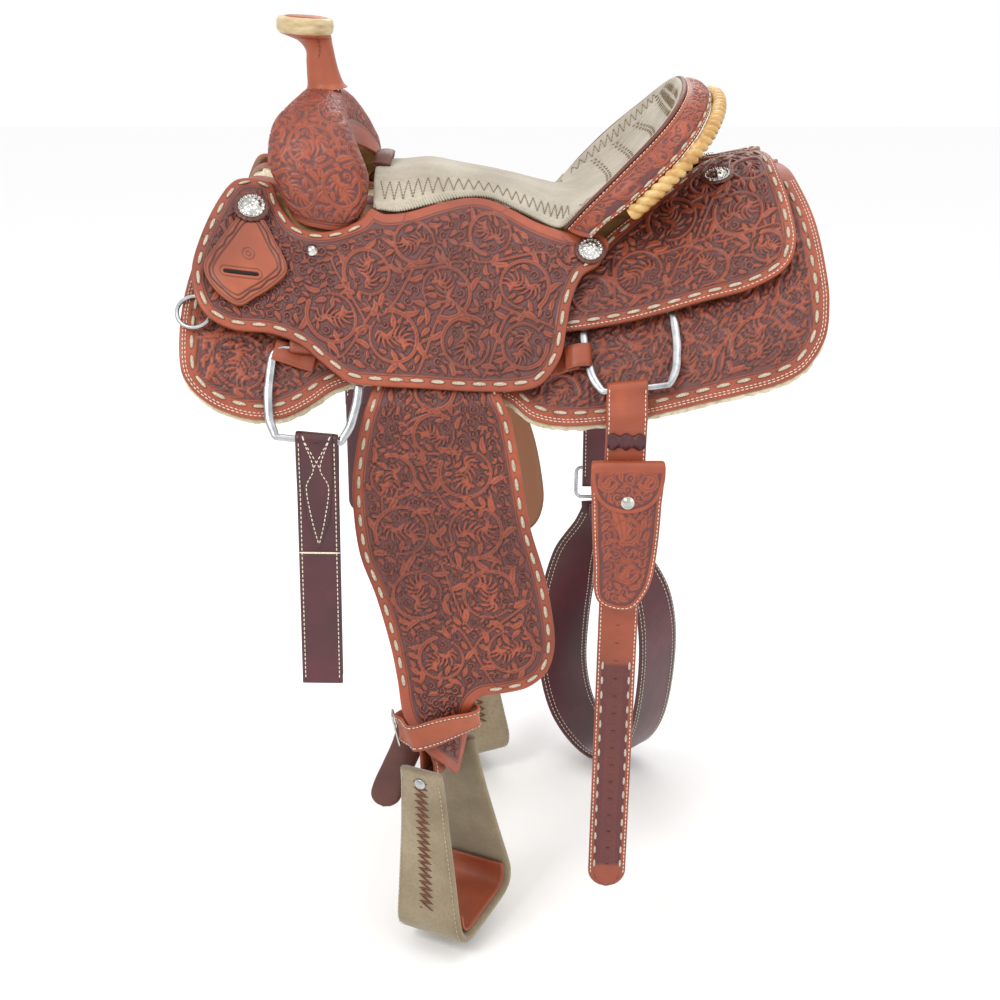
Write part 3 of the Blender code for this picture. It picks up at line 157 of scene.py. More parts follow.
# ---------------------------------------------------------------- shape of the back and the outlines
TOP_RADIUS, TOP_ARC, SIDE_ARC, SIDE_SLOPE, RIDGE_Z = 0.168, 0.130, 0.360, math.radians(64.0), 0.048
SKIRT_OUT, FENDER_Y, LEATHER_Y = 0.0180, 0.2525, 0.2440
BOLT = (-0.071, -0.2440, -0.552)
TURN, TILT = math.radians(62.0), math.radians(10.0)


def smooth(a, b, x):
    t = np.clip((np.asarray(x, float) - a) / (b - a), 0, 1)
    return t * t * (3 - 2 * t)


def arc(u):
    u = np.asarray(u, float)
    p0 = TOP_ARC / TOP_RADIUS
    r2 = (SIDE_ARC - TOP_ARC) / (SIDE_SLOPE - p0)
    pa = u / TOP_RADIUS
    pb = np.minimum(SIDE_SLOPE, p0 + (u - TOP_ARC) / r2)
    over = np.maximum(0, u - SIDE_ARC)
    y = np.where(u < TOP_ARC, TOP_RADIUS * np.sin(pa),
                 TOP_RADIUS * math.sin(p0) + r2 * (np.sin(pb) - math.sin(p0)) + over * math.cos(SIDE_SLOPE))
    z = np.where(u < TOP_ARC, TOP_RADIUS * (1 - np.cos(pa)),
                 TOP_RADIUS * (1 - math.cos(p0)) + r2 * (math.cos(p0) - np.cos(pb)) + over * math.sin(SIDE_SLOPE))
    return y, z, np.where(u < TOP_ARC, pa, pb)


def ridge(x):
    return RIDGE_Z + 0.40 * (x - 0.04) ** 2 + 0.010 * smooth(0.12, 0.27, x)


def back(x, u, n, side=NEAR):
    y, z, p = arc(u)
    return np.stack([x + 0 * y, side * (y + n * np.sin(p)), ridge(x) - z + n * np.cos(p)], -1)


def seat_n(x, u):
    return 0.0400 + 0.0180 * smooth(0.27, 0.14, u) * smooth(-0.30, -0.12, x)


def rear_n(x, u):
    return 0.0345 + 0.0030 * smooth(0.22, 0.15, u)


def spline(points, closed=False, steps=10):
    pts = [np.array(p, float) for p in points]
    n = len(pts)
    out = []
    for i in range(n if closed else n - 1):
        if closed:
            p = [pts[(i + k - 1) % n] for k in range(4)]
        else:
            p = [pts[max(0, i - 1)], pts[i], pts[i + 1], pts[min(n - 1, i + 2)]]
        m1, m2, d = (p[2] - p[0]) / 2, (p[3] - p[1]) / 2, np.linalg.norm(p[2] - p[1])
        l1, l2 = np.linalg.norm(m1), np.linalg.norm(m2)
        m1 = m1 * d / l1 if l1 > d else m1
        m2 = m2 * d / l2 if l2 > d else m2
        for s in range(steps):
            t = s / steps
            out.append((2 * t**3 - 3 * t**2 + 1) * p[1] + (t**3 - 2 * t**2 + t) * m1
                       + (-2 * t**3 + 3 * t**2) * p[2] + (t**3 - t**2) * m2)
    if not closed:
        out.append(pts[-1])
    return np.array(out)


def arclen(poly):
    return np.r_[0, np.cumsum(np.linalg.norm(np.diff(poly, axis=0), axis=1))]


def at(poly, f):
    s = arclen(poly)
    f = np.atleast_1d(f) * s[-1]
    return np.stack([np.interp(f, s, poly[:, k]) for k in range(poly.shape[1])], -1)


def patch(outline, corners, nx, ny, flank=True, tmap=None):
    loop = spline([(x / 1000, u / 1000) for x, u in outline], closed=True)
    loop = np.vstack([loop, loop[:1]])
    a, b, c, d = [k * 10 for k in corners]
    top, right, bottom = loop[a:b + 1], loop[b:c + 1], loop[c:d + 1][::-1]
    left = (np.vstack([loop[d:], loop[1:a + 1]]) if a else loop[d:])[::-1]
    s = np.linspace(0, 1, nx + 1)
    t = np.linspace(0, 1, ny + 1)
    if tmap is not None:
        t = tmap(t)
    T, B, Lf, R = at(top, s), at(bottom, s), at(left, t), at(right, t)
    S, W = s[None, :, None], t[:, None, None]
    q = (T[None] * (1 - W) + B[None] * W + Lf[:, None] * (1 - S) + R[:, None] * S
         - (top[0] * (1 - S) * (1 - W) + top[-1] * S * (1 - W) + bottom[0] * (1 - S) * W + bottom[-1] * S * W))
    if flank:
        q[..., 1] = np.maximum(q[..., 1], 0.0035)
    return q


SEAT_JOCKEY = [(-291, 88), (-257, 84), (-244, 110), (-226, 131), (-205, 137), (-181, 133), (-154, 119), (-143, 106),
               (-127, 110), (-100, 104), (-67, 90), (-34, 80), (-11, 82), (11, 92), (39, 107), (66, 117), (84, 121),
               (107, 122), (119, 134), (108, 156), (90, 168), (78, 193), (72, 223), (65, 253), (44, 280), (16, 287),
               (-22, 289), (-86, 290), (-134, 293), (-161, 293), (-188, 279), (-215, 262), (-247, 257), (-284, 262),
               (-311, 256), (-326, 238), (-332, 208), (-324, 164), (-310, 120)]
REAR_JOCKEY = [(246, 4), (296, 4), (309, 27), (315, 77), (321, 119), (324, 156), (317, 181), (300, 195), (265, 205),
               (219, 207), (153, 212), (77, 220), (40, 221), (58, 180), (86, 146), (118, 112), (160, 80), (205, 45)]
SKIRT = [(-276, 44), (-230, 40), (-150, 38), (-50, 38), (60, 38), (150, 32), (215, 14), (260, 5), (320, 4), (331, 30),
         (339, 79), (351, 138), (357, 196), (358, 231), (352, 269), (331, 298), (302, 309), (259, 313), (206, 314),
         (152, 316), (108, 319), (65, 319), (33, 311), (8, 292), (-35, 281), (-90, 277), (-140, 281), (-178, 297),
         (-205, 320), (-231, 338), (-256, 346), (-279, 348), (-305, 345), (-327, 335), (-341, 318), (-345, 290),
         (-344, 250), (-338, 208), (-325, 155), (-308, 104), (-292, 66)]
FENDER = [(-110, -10), (-90, -8), (-60, -8), (-28, -8), (-12, -10), (-6, -60), (0, -102), (11, -130), (22, -187), (33, -256),
          (50, -316), (59, -364), (62, -401), (54, -432), (34, -451), (6, -459), (-22, -464), (-36, -482),
          (-44, -521), (-53, -548), (-66, -564), (-84, -549), (-102, -527), (-112, -489), (-116, -451), (-124, -401),
          (-139, -340), (-155, -292), (-161, -245), (-161, -198), (-151, -141), (-137, -97), (-122, -52)]
KEEPER = [(-285, 138), (-271, 132), (-259, 135), (-244, 160), (-232, 180), (-231, 193), (-245, 210), (-262, 225),
          (-279, 238), (-299, 232), (-313, 219), (-318, 206), (-314, 192), (-300, 165)]


def fender_table():
    zs = np.linspace(-0.60, 0.02, 621)
    us = np.linspace(0.14, 0.40, 2601)
    p = back(-0.060, us, 0.0285)
    u = np.interp(-zs, -p[:, 2], us)
    y = -back(-0.060, u, 0.0285 + 0.0030 * smooth(-0.06, -0.10, zs))[:, 1]
    t = smooth(-0.100, -0.140, zs)
    return zs, np.minimum(y, FENDER_Y) * (1 - t) + FENDER_Y * t


FZ, FY = fender_table()


def twist(z, side):
    a = TURN * smooth(-0.455, -0.548, z)
    o = 0 * a
    w = np.stack([np.cos(a), -side * np.sin(a), o], -1)
    v = np.stack([np.sin(a), side * np.cos(a), o], -1)
    return np.stack([BOLT[0] + o, side * LEATHER_Y + o, z + o], -1), w, v


def loop_gap(z):
    return 0.0085 * smooth(-0.470, -0.535, z)


def fender_base(x, z, side):
    up = np.stack([x, side * np.interp(z, FZ, FY), z], -1)
    c, w, v = twist(z, side)
    k = (FENDER_Y - LEATHER_Y + loop_gap(z) + 0.0052 * smooth(-0.445, -0.480, z))
    low = c + w * (x - BOLT[0])[..., None] + v * k[..., None]
    return np.where((z > -0.440)[..., None], up, low)


def surface(base, side):
    """Function from flat points and a height to points in space and normals."""
    def f(q, h=0.0):
        q = np.asarray(q, float)
        e = 0.0008
        a, b = q[..., 0], q[..., 1]
        p = base(a, b, side)
        tu = base(a + e, b, side) - base(a - e, b, side)
        tv = base(a, b + e, side) - base(a, b - e, side)
        n = np.cross(tu, tv)
        n /= np.linalg.norm(n, axis=-1, keepdims=True) + 1e-12
        s = np.sign(n[..., 1] * side + 0.6 * n[..., 2] * (base is not fender_base) + 1e-9)
        n = n * s[..., None]
        return p + n * np.asarray(h)[..., None], n
    return f


def seat_jockey_base(x, u, side):
    return back(x, u, seat_n(x, u), side)


def rear_jockey_base(x, u, side):
    return back(x, u, rear_n(x, u), side)


def skirt_base(x, u, side):
    return back(x, u, SKIRT_OUT, side)


def keeper_base(x, u, side):
    return back(x, u, seat_n(x, u) + 0.0085, side)


# ---------------------------------------------------------------- tooling drawn in a flat field, in mm
class Field:
    RES = 0.6
    GAP = 9.0

    def __init__(self, outline, pad=4.0):
        loop = spline(outline, closed=True)
        self.loop = loop
        self.x0, self.y0 = loop.min(0) - pad
        x1, y1 = loop.max(0) + pad
        self.nx, self.ny = int((x1 - self.x0) / self.RES) + 2, int((y1 - self.y0) / self.RES) + 2
        self.sd = np.full((self.ny, self.nx), -self.GAP, np.float32)
        self.cut = np.zeros((self.ny, self.nx), np.float32)
        self.edge = self.distances()

    def distances(self):
        k = 3
        xs = self.x0 + np.arange(0, self.nx + k, k) * self.RES
        ys = self.y0 + np.arange(0, self.ny + k, k) * self.RES
        X, Y = np.meshgrid(xs, ys)
        a, b = self.loop, np.roll(self.loop, -1, 0)
        best = np.full(X.shape, 1e9)
        inside = np.zeros(X.shape, bool)
        for (ax, ay), (bx, by) in zip(a, b):
            dx, dy = bx - ax, by - ay
            t = np.clip(((X - ax) * dx + (Y - ay) * dy) / (dx * dx + dy * dy + 1e-12), 0, 1)
            best = np.minimum(best, (X - ax - t * dx) ** 2 + (Y - ay - t * dy) ** 2)
            if ay != by:
                inside ^= ((ay > Y) != (by > Y)) & (X < (Y - ay) * dx / dy + ax)
        d = np.where(inside, 1, -1) * np.sqrt(best)
        jx, jy = np.arange(self.nx) / k, np.arange(self.ny) / k
        i0, j0 = jx.astype(int), jy.astype(int)
        fx, fy = (jx - i0)[None, :], (jy - j0)[:, None]
        g = lambda r, c: d[np.minimum(j0 + r, d.shape[0] - 1)][:, np.minimum(i0 + c, d.shape[1] - 1)]
        return ((g(0, 0) * (1 - fx) + g(0, 1) * fx) * (1 - fy) + (g(1, 0) * (1 - fx) + g(1, 1) * fx) * fy).astype(np.float32)

    def window(self, x0, x1, y0, y1):
        i0 = max(0, int((x0 - self.x0) / self.RES))
        i1 = min(self.nx, int((x1 - self.x0) / self.RES) + 2)
        j0 = max(0, int((y0 - self.y0) / self.RES))
        j1 = min(self.ny, int((y1 - self.y0) / self.RES) + 2)
        return i0, i1, j0, j1

    def stroke(self, pts, half, dark=False):
        """Band along pts with the given half widths; dark presses a line instead."""
        pts = np.asarray(pts, float)
        half = np.broadcast_to(half, (len(pts),)).astype(float)
        m = 1.2 if dark else self.GAP
        for (ax, ay), (bx, by), ra, rb in zip(pts, pts[1:], half, half[1:]):
            i0, i1, j0, j1 = self.window(min(ax, bx) - m, max(ax, bx) + m, min(ay, by) - m, max(ay, by) + m)
            if i0 >= i1 or j0 >= j1:
                continue
            X = (self.x0 + np.arange(i0, i1) * self.RES)[None, :]
            Y = (self.y0 + np.arange(j0, j1) * self.RES)[:, None]
            dx, dy = bx - ax, by - ay
            t = np.clip(((X - ax) * dx + (Y - ay) * dy) / (dx * dx + dy * dy + 1e-9), 0, 1)
            d = np.sqrt((X - ax - t * dx) ** 2 + (Y - ay - t * dy) ** 2)
            if dark:
                w = self.cut[j0:j1, i0:i1]
                np.maximum(w, np.clip(1.15 - d / (ra + (rb - ra) * t), 0, 1), out=w)
            else:
                w = self.sd[j0:j1, i0:i1]
                np.maximum(w, ra + (rb - ra) * t - d, out=w)

    def dot(self, x, y, r, dark=False):
        self.stroke([(x, y), (x + 0.01, y)], r, dark)

    def sample(self, arr, q):
        """Values at flat points given in metres."""
        a = np.clip((q[..., 0] * 1000 - self.x0) / self.RES, 0, self.nx - 1.001)
        b = np.clip((q[..., 1] * 1000 - self.y0) / self.RES, 0, self.ny - 1.001)
        i, j = a.astype(int), b.astype(int)
        fx, fy = a - i, b - j
        return ((arr[j, i] * (1 - fx) + arr[j, i + 1] * fx) * (1 - fy)
                + (arr[j + 1, i] * (1 - fx) + arr[j + 1, i + 1] * fx) * fy)


def turn(p, a):
    c, s = math.cos(a), math.sin(a)
    p = np.asarray(p, float)
    return np.stack([p[..., 0] * c - p[..., 1] * s, p[..., 0] * s + p[..., 1] * c], -1)


def leaf(F, p, ang, length, width, curl=0.6, vein=True):
    """Curved drop-shaped leaf from p in direction ang."""
    t = np.linspace(0, 1, 11)
    a = ang + curl * (t - 0.3)
    step = length / 10
    pts = np.vstack([[0, 0], np.cumsum(np.stack([np.cos(a[1:]), np.sin(a[1:])], -1) * step, 0)]) + p
    half = width / 2 * np.sin(np.pi * np.clip(t, 0, 1) ** 0.65) ** 0.8 + 0.15
    F.stroke(pts, half)
    if vein and width > 2.6:
        F.stroke(pts[1:9], 0.45, dark=True)
    return pts[-1]


def wreath(F, cx, cy, R, spin=1, a0=0.0):
    """Circular flower: ring stem, feathered fern inside, leaves sweeping along the outside."""
    c = np.array([cx, cy], float)
    t = np.linspace(0, 1, 40)
    ang = a0 + spin * math.radians(318) * t
    rad = R * (0.93 - 0.13 * t)
    ring = c + np.stack([np.cos(ang), np.sin(ang)], -1) * rad[:, None]
    F.stroke(ring, 2.9 - 1.3 * t)
    F.stroke(ring, 0.55, dark=True)
    # fern
    s = np.linspace(-1, 1, 21)
    sp = np.stack([R * 0.17 * np.sin(s * math.pi) * spin, R * 0.60 * s], -1)
    spine = c + turn(sp, a0 + 0.6)
    F.stroke(spine, 1.1)
    F.stroke(spine[2:-2], 0.4, dark=True)
    for i in range(1, 20, 2):
        d = spine[i + 1] - spine[i - 1]
        base = math.atan2(d[1], d[0])
        L = R * 0.50 * math.sqrt(max(0.0, 1 - (s[i] * 0.93) ** 2)) + R * 0.05
        for k in (-1, 1):
            leaf(F, spine[i], base + k * 0.98, L, max(2.1, R * 0.095), -k * 0.8, vein=False)
    # outside leaves
    n = max(5, int(R / 5.4))
    for k in range(n):
        a = a0 + spin * 2 * math.pi * (k + 0.5) / n
        p = c + np.array([math.cos(a), math.sin(a)]) * R * 0.97
        leaf(F, p, a + spin * 1.15, R * 0.68, R * 0.23, -spin * 1.2)
    for k in range(3):
        a = a0 - spin * (0.16 + 0.16 * k)
        F.dot(*(c + np.array([math.cos(a), math.sin(a)]) * R * 0.93), 1.25)


def volute(F, p, r, a0, spin):
    t = np.linspace(0, 1, 14)
    ang = a0 + spin * 5.0 * t
    pts = np.asarray(p) + np.stack([np.cos(ang), np.sin(ang)], -1) * (r * (1 - 0.35 * t))[:, None]
    F.stroke(pts, 0.95)
    F.dot(p[0], p[1], max(1.0, r * 0.28))


def stems(F, flowers):
    """S-shaped stems from each flower to the next."""
    for (ax, ay, ar), (bx, by, br) in zip(flowers, flowers[1:]):
        a, b = np.array([ax, ay], float), np.array([bx, by], float)
        d = b - a
        L = np.linalg.norm(d)
        if L > (ar + br) * 1.9:
            continue
        d = d / L
        n = np.array([-d[1], d[0]])
        t = np.linspace(0, 1, 20)[:, None]
        p = a + n * ar * 0.9 + (b - n * br * 0.9 - a - n * ar * 0.9) * t + n * (0.42 * L) * np.sin(2 * math.pi * t) * (1 - t * 0.3)
        F.stroke(p, 0.9 + 0.9 * np.sin(math.pi * t[:, 0]))
        F.stroke(p, 0.4, dark=True)


def fill_gaps(F, border, limit=2.9, most=700, only=None):
    """Leaves and small volutes wherever the ground is still open."""
    free = F.edge > border + 1.5
    if only is not None:
        X = F.x0 + np.arange(F.nx)[None, :] * F.RES
        Y = F.y0 + np.arange(F.ny)[:, None] * F.RES
        free = free & only(X, Y)
    m = np.where(free, np.maximum(F.sd, border + 1.0 - F.edge), 9.0)
    for k in range(most):
        j, i = divmod(int(np.argmin(m)), F.nx)
        g = -m[j, i]
        if g < limit:
            break
        p = np.array([F.x0 + i * F.RES, F.y0 + j * F.RES])
        i0, i1, j0, j1 = max(1, i - 3), min(F.nx - 2, i + 4), max(1, j - 3), min(F.ny - 2, j + 4)
        gx, gy = F.sd[j, i1] - F.sd[j, i0], F.sd[j1, i] - F.sd[j0, i]
        a = math.atan2(gy, gx) + math.pi / 2 + 0.5
        if g > 6.2:
            volute(F, p, g * 0.58, a, 1 if k % 2 else -1)
        else:
            L = g * 2.3
            q = p - np.array([math.cos(a), math.sin(a)]) * L * 0.5
            leaf(F, q, a, L, g * 1.15, 0.7 if k % 2 else -0.7)
        w = int(30 / F.RES)
        s = np.s_[max(0, j - w):j + w, max(0, i - w):i + w]
        m[s] = np.where(free[s], np.maximum(F.sd[s], border + 1.0 - F.edge[s]), 9.0)
        m[j, i] = 9.0


def inset(outline, d, keep=None):
    """Curves lying d mm inside a closed outline, in metres, as runs."""
    loop = spline(outline, closed=True)
    t = np.roll(loop, -1, 0) - np.roll(loop, 1, 0)
    t /= np.linalg.norm(t, axis=1, keepdims=True) + 1e-9
    area = 0.5 * np.sum(loop[:, 0] * np.roll(loop[:, 1], -1) - np.roll(loop[:, 0], -1) * loop[:, 1])
    n = np.stack([-t[:, 1], t[:, 0]], -1) * (1 if area > 0 else -1)
    p = loop + n * d
    dist = np.array([np.min(np.linalg.norm(loop - q, axis=1)) for q in p])
    good = dist > d * 0.93 - 0.2
    if keep is not None:
        good &= keep(p[:, 0], p[:, 1])
    runs, cur = [], []
    start = int(np.argmin(good)) if not good.all() else 0
    for k in range(len(p) + (1 if good.all() else 0)):
        i = (start + k) % len(p)
        if good[i]:
            cur.append(p[i])
        elif cur:
            runs.append(np.array(cur) / 1000)
            cur = []
    if cur:
        runs.append(np.array(cur) / 1000)
    return [r for r in runs if len(r) > 2 and arclen(r)[-1] > 0.012]


def dashes(run, length, pitch):
    """Start and end points of the dashes that fit along a run."""
    L = arclen(run)[-1]
    n = max(1, int(L / pitch))
    s = (np.arange(n) + 0.5) * L / n
    return at(run, (s - length / 2) / L), at(run, (s + length / 2) / L)


# ---------------------------------------------------------------- meshes
def make(name, verts, faces, mat, body, slot, attrs=None, node=None, flat=False):
    me = bpy.data.meshes.new(name)
    me.from_pydata([tuple(v) for v in np.asarray(verts, float).tolist()], [], faces)
    me.validate()
    if not flat:
        me.shade_smooth()
    for key, val in (attrs or {}).items():
        a = me.attributes.new(key, "FLOAT", "POINT")
        a.data.foreach_set("value", np.asarray(val, np.float32))
    ob = bpy.data.objects.new(name, me)
    bpy.context.scene.collection.objects.link(ob)
    me.materials.append(mat)
    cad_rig.ride(ob, body)
    if slot:
        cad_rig.slot(ob, slot)
    if node:
        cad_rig.replaces(ob, *([node] if isinstance(node, str) else node))
    return ob


def grid_faces(ny, nx, flip=False):
    j, i = np.mgrid[0:ny, 0:nx]
    a = j * (nx + 1) + i
    f = np.stack([a, a + 1, a + nx + 2, a + nx + 1], -1).reshape(-1, 4)
    return f[:, ::-1] if flip else f


def slab(name, top, n, thick, k, mat, body, slot, attrs, node, wall=None, rings=1, crown=0.0):
    """Closed sheet: dense face on the outside, coarse cells of k by k on the inside."""
    ny, nx = top.shape[0] - 1, top.shape[1] - 1
    verts = [top.reshape(-1, 3)]
    fu = top[ny // 2, nx // 2 + 1] - top[ny // 2, nx // 2]
    fv = top[ny // 2 + 1, nx // 2] - top[ny // 2, nx // 2]
    flip = np.dot(np.cross(fu, fv), n[ny // 2, nx // 2]) < 0
    faces = grid_faces(ny, nx, flip).tolist()
    idx = np.arange((ny + 1) * (nx + 1)).reshape(ny + 1, nx + 1)
    ringidx = np.concatenate([idx[0, :], idx[1:, -1], idx[-1, -2::-1], idx[-2:0:-1, 0]])
    rj, ri = np.divmod(ringidx, nx + 1)
    base = top[rj, ri]
    nn = n[rj, ri]
    inner_dir = base.mean(0) - base
    tang = np.roll(base, -1, 0) - np.roll(base, 1, 0)
    out = np.cross(tang, nn)
    out /= np.linalg.norm(out, axis=1, keepdims=True) + 1e-12
    if np.mean(np.sum(out * inner_dir, 1)) > 0:
        out = -out
    count = (ny + 1) * (nx + 1)
    prev = ringidx
    at_extra = []
    for r in range(1, rings + 1):
        f = r / rings
        bulge = crown * math.sin(math.pi * f)
        p = base - nn * (thick * f) + out * bulge
        if wall is not None:
            p = p + wall(base, f)[:, None] * out
        cur = np.arange(count, count + len(ringidx))
        verts.append(p)
        count += len(ringidx)
        at_extra.append(ringidx)
        a, b = prev, np.roll(prev, -1)
        c, d = np.roll(cur, -1), cur
        q = np.stack([a, d, c, b], -1)
        faces += (q if not flip else q[:, ::-1]).tolist()
        prev = cur
    # inside: dense along the rim, coarse in the middle
    low = np.full((ny + 1, nx + 1), -1)
    low[rj, ri] = prev
    js, is_ = list(range(0, ny + 1, k)), list(range(0, nx + 1, k))
    inner = []
    for j in js[1:-1]:
        for i in is_[1:-1]:
            low[j, i] = count
            count += 1
            inner.append((j, i))
    if inner:
        ij = np.array(inner)
        verts.append(top[ij[:, 0], ij[:, 1]] - n[ij[:, 0], ij[:, 1]] * thick)
        at_extra.append(idx[ij[:, 0], ij[:, 1]])
    for j0, j1 in zip(js, js[1:]):
        for i0, i1 in zip(is_, is_[1:]):
            poly = [low[j0, i] for i in (range(i0, i1) if j0 == 0 else [i0])]
            poly += [low[j, i1] for j in (range(j0, j1) if i1 == nx else [j0])]
            poly += [low[j1, i] for i in (range(i1, i0, -1) if j1 == ny else [i1])]
            poly += [low[j, i0] for j in (range(j1, j0, -1) if i0 == 0 else [j1])]
            poly = [int(v) for v in poly]
            faces.append(poly if flip else poly[::-1])
    extra = np.concatenate(at_extra) if at_extra else np.array([], int)
    full = {}
    for key, val in attrs.items():
        v = val.reshape(-1)
        full[key] = np.concatenate([v, v[extra] if key != "bg" else 0 * v[extra]])
    full["inside"] = np.concatenate([np.zeros(len(top.reshape(-1, 3))), np.ones(len(extra))])
    return make(name, np.concatenate(verts), faces, mat, body, slot, full, node)


def capsules(name, a, b, nrm, width, height, mat, body, slot, rings=(0.0, 0.14, 0.5, 0.86, 1.0), segs=6, arch=0.0, sharp=False):
    """Merged stitches from a to b, lying on the surface."""
    a, b, nrm = np.asarray(a, float), np.asarray(b, float), np.asarray(nrm, float)
    d = b - a
    L = np.linalg.norm(d, axis=1, keepdims=True)
    d = d / (L + 1e-12)
    w = np.cross(nrm, d)
    w /= np.linalg.norm(w, axis=1, keepdims=True) + 1e-12
    n = np.cross(d, w)
    prof = {0.0: 0.30, 1.0: 0.30}
    vs = []
    for t in rings:
        r = prof.get(t, 1.0 if not sharp else 1.0 - 0.35 * abs(t - 0.5) * 2)
        lift = arch * math.sin(math.pi * t) - (0.35 * height if t in (0.0, 1.0) else 0)
        for s in range(segs):
            q = 2 * math.pi * s / segs
            vs.append(a + d * L * t + w * (width / 2 * r * math.cos(q)) + n * (height / 2 * r * math.sin(q) + lift + height * 0.25))
    V = np.stack(vs, 1).reshape(-1, 3)
    per = len(rings) * segs
    F = []
    m = len(rings)
    tmpl = []
    for i in range(m - 1):
        for s in range(segs):
            q = (s + 1) % segs
            tmpl.append((i * segs + s, i * segs + q, (i + 1) * segs + q, (i + 1) * segs + s))
    ends = [tuple(range(segs))[::-1], tuple((m - 1) * segs + s for s in range(segs))]
    base = (np.arange(len(a)) * per)[:, None, None]
    F += (np.array(tmpl)[None] + base).reshape(-1, 4).tolist()
    F += (np.array(ends)[None] + base).reshape(-1, segs).tolist()
    return make(name, V, F, mat, body, slot)


def stitch_runs(name, runs, f, h, length, pitch, width, height, mat, body, slot, **kw):
    a, b = [], []
    for r in runs:
        p, q = dashes(r, length, pitch)
        a.append(p)
        b.append(q)
    if not a:
        return None
    a, b = np.concatenate(a), np.concatenate(b)
    pa, _ = f(a, np.full(len(a), h))
    pb, _ = f(b, np.full(len(b), h))
    _, n = f((a + b) / 2, np.zeros(len(a)))
    return capsules(name, pa, pb, n, width, height, mat, body, slot, **kw)


# ---------------------------------------------------------------- materials
def lin(hexcol):
    c = [int(hexcol[i:i + 2], 16) / 255 for i in (0, 2, 4)]
    return [x / 12.92 if x < 0.04045 else ((x + 0.055) / 1.055) ** 2.4 for x in c] + [1.0]


class Mat:
    def __init__(self, name, rough=0.5, metal=0.0, coat=0.0):
        self.m = bpy.data.materials.new(name)
        self.m.use_nodes = True
        self.t = self.m.node_tree
        self.b = self.t.nodes["Principled BSDF"]
        self.b.inputs["Roughness"].default_value = rough
        self.b.inputs["Metallic"].default_value = metal
        self.b.inputs["Coat Weight"].default_value = coat
        self.b.inputs["Coat Roughness"].default_value = 0.25
        self.height = None

    def node(self, kind, **kw):
        n = self.t.nodes.new("ShaderNode" + kind)
        for k, v in kw.items():
            setattr(n, k, v)
        return n

    def link(self, a, b):
        self.t.links.new(a, b)

    def coord(self, scale=None):
        c = self.node("TexCoord").outputs["Object"]
        if scale is not None:
            mp = self.node("Mapping")
            mp.inputs["Scale"].default_value = scale
            self.link(c, mp.inputs["Vector"])
            c = mp.outputs["Vector"]
        return c

    def noise(self, scale, detail=4.0, stretch=None):
        n = self.node("TexNoise")
        n.inputs["Scale"].default_value = scale
        n.inputs["Detail"].default_value = detail
        self.link(self.coord(stretch), n.inputs["Vector"])
        return n.outputs["Fac"]

    def voronoi(self, scale, feature="F1"):
        n = self.node("TexVoronoi", feature=feature)
        n.inputs["Scale"].default_value = scale
        self.link(self.coord(), n.inputs["Vector"])
        return n.outputs["Distance"]

    def attr(self, name):
        n = self.node("Attribute", attribute_name=name)
        return n.outputs["Fac"]

    def ramp(self, fac, stops):
        n = self.node("ValToRGB")
        e = n.color_ramp.elements
        while len(e) < len(stops):
            e.new(0.5)
        for el, (p, c) in zip(e, stops):
            el.position = p
            el.color = c
        self.link(fac, n.inputs["Fac"])
        return n.outputs["Color"]

    def mix(self, fac, a, b):
        n = self.node("Mix", data_type="RGBA")
        if isinstance(fac, float):
            n.inputs[0].default_value = fac
        else:
            self.link(fac, n.inputs[0])
        for sock, v in ((n.inputs[6], a), (n.inputs[7], b)):
            if isinstance(v, list):
                sock.default_value = v
            else:
                self.link(v, sock)
        return n.outputs[2]

    def math(self, op, a, b):
        n = self.node("Math", operation=op)
        for sock, v in ((n.inputs[0], a), (n.inputs[1], b)):
            if isinstance(v, (int, float)):
                sock.default_value = v
            else:
                self.link(v, sock)
        return n.outputs[0]

    def colour(self, c):
        if isinstance(c, list):
            self.b.inputs["Base Color"].default_value = c
        else:
            self.link(c, self.b.inputs["Base Color"])
        return self

    def rough(self, fac, a, b):
        n = self.node("MapRange")
        n.inputs["To Min"].default_value = a
        n.inputs["To Max"].default_value = b
        self.link(fac, n.inputs["Value"])
        self.link(n.outputs["Result"], self.b.inputs["Roughness"])
        return self

    def bump(self, fac, strength, dist):
        n = self.node("Bump")
        n.inputs["Strength"].default_value = strength
        n.inputs["Distance"].default_value = dist
        self.link(fac, n.inputs["Height"])
        if self.height is not None:
            self.link(self.height, n.inputs["Normal"])
        self.height = n.outputs["Normal"]
        self.link(self.height, self.b.inputs["Normal"])
        return self


def leather(name, light, dark, ground=None, grain=0.25, rough=(0.42, 0.58), coat=0.12, flesh="8E5C3C"):
    """Stained leather; the attributes give the dyed ground, the pressed lines (on the latigo keeper also painted shade
    in its slot) and the flesh side.
    """
    m = Mat(name, coat=coat)
    n1 = m.noise(9.0, 5.0)
    n2 = m.noise(60.0, 4.0)
    col = m.ramp(n1, [(0.30, lin(dark)), (0.68, lin(light))])
    col = m.mix(m.ramp(n2, [(0.35, [0, 0, 0, 1]), (0.75, [0.4, 0.4, 0.4, 1])]), col, lin(dark))
    if ground:
        stip = m.voronoi(900.0)
        g = m.mix(m.ramp(stip, [(0.15, [1, 1, 1, 1]), (0.55, [0, 0, 0, 1])]), lin(ground[0]), lin(ground[1]))
        col = m.mix(m.attr("bg"), col, g)
        col = m.mix(m.attr("dk"), col, lin(ground[2]))
        col = m.mix(m.attr("inside"), col, lin(flesh))
        h = m.math("MULTIPLY", stip, m.attr("bg"))
        m.bump(h, 0.5, 0.0006)
    m.colour(col)
    m.rough(n2, *rough)
    m.bump(m.voronoi(420.0), grain, 0.0003)
    m.bump(m.noise(180.0, 5.0), grain * 0.8, 0.0004)
    return m.m


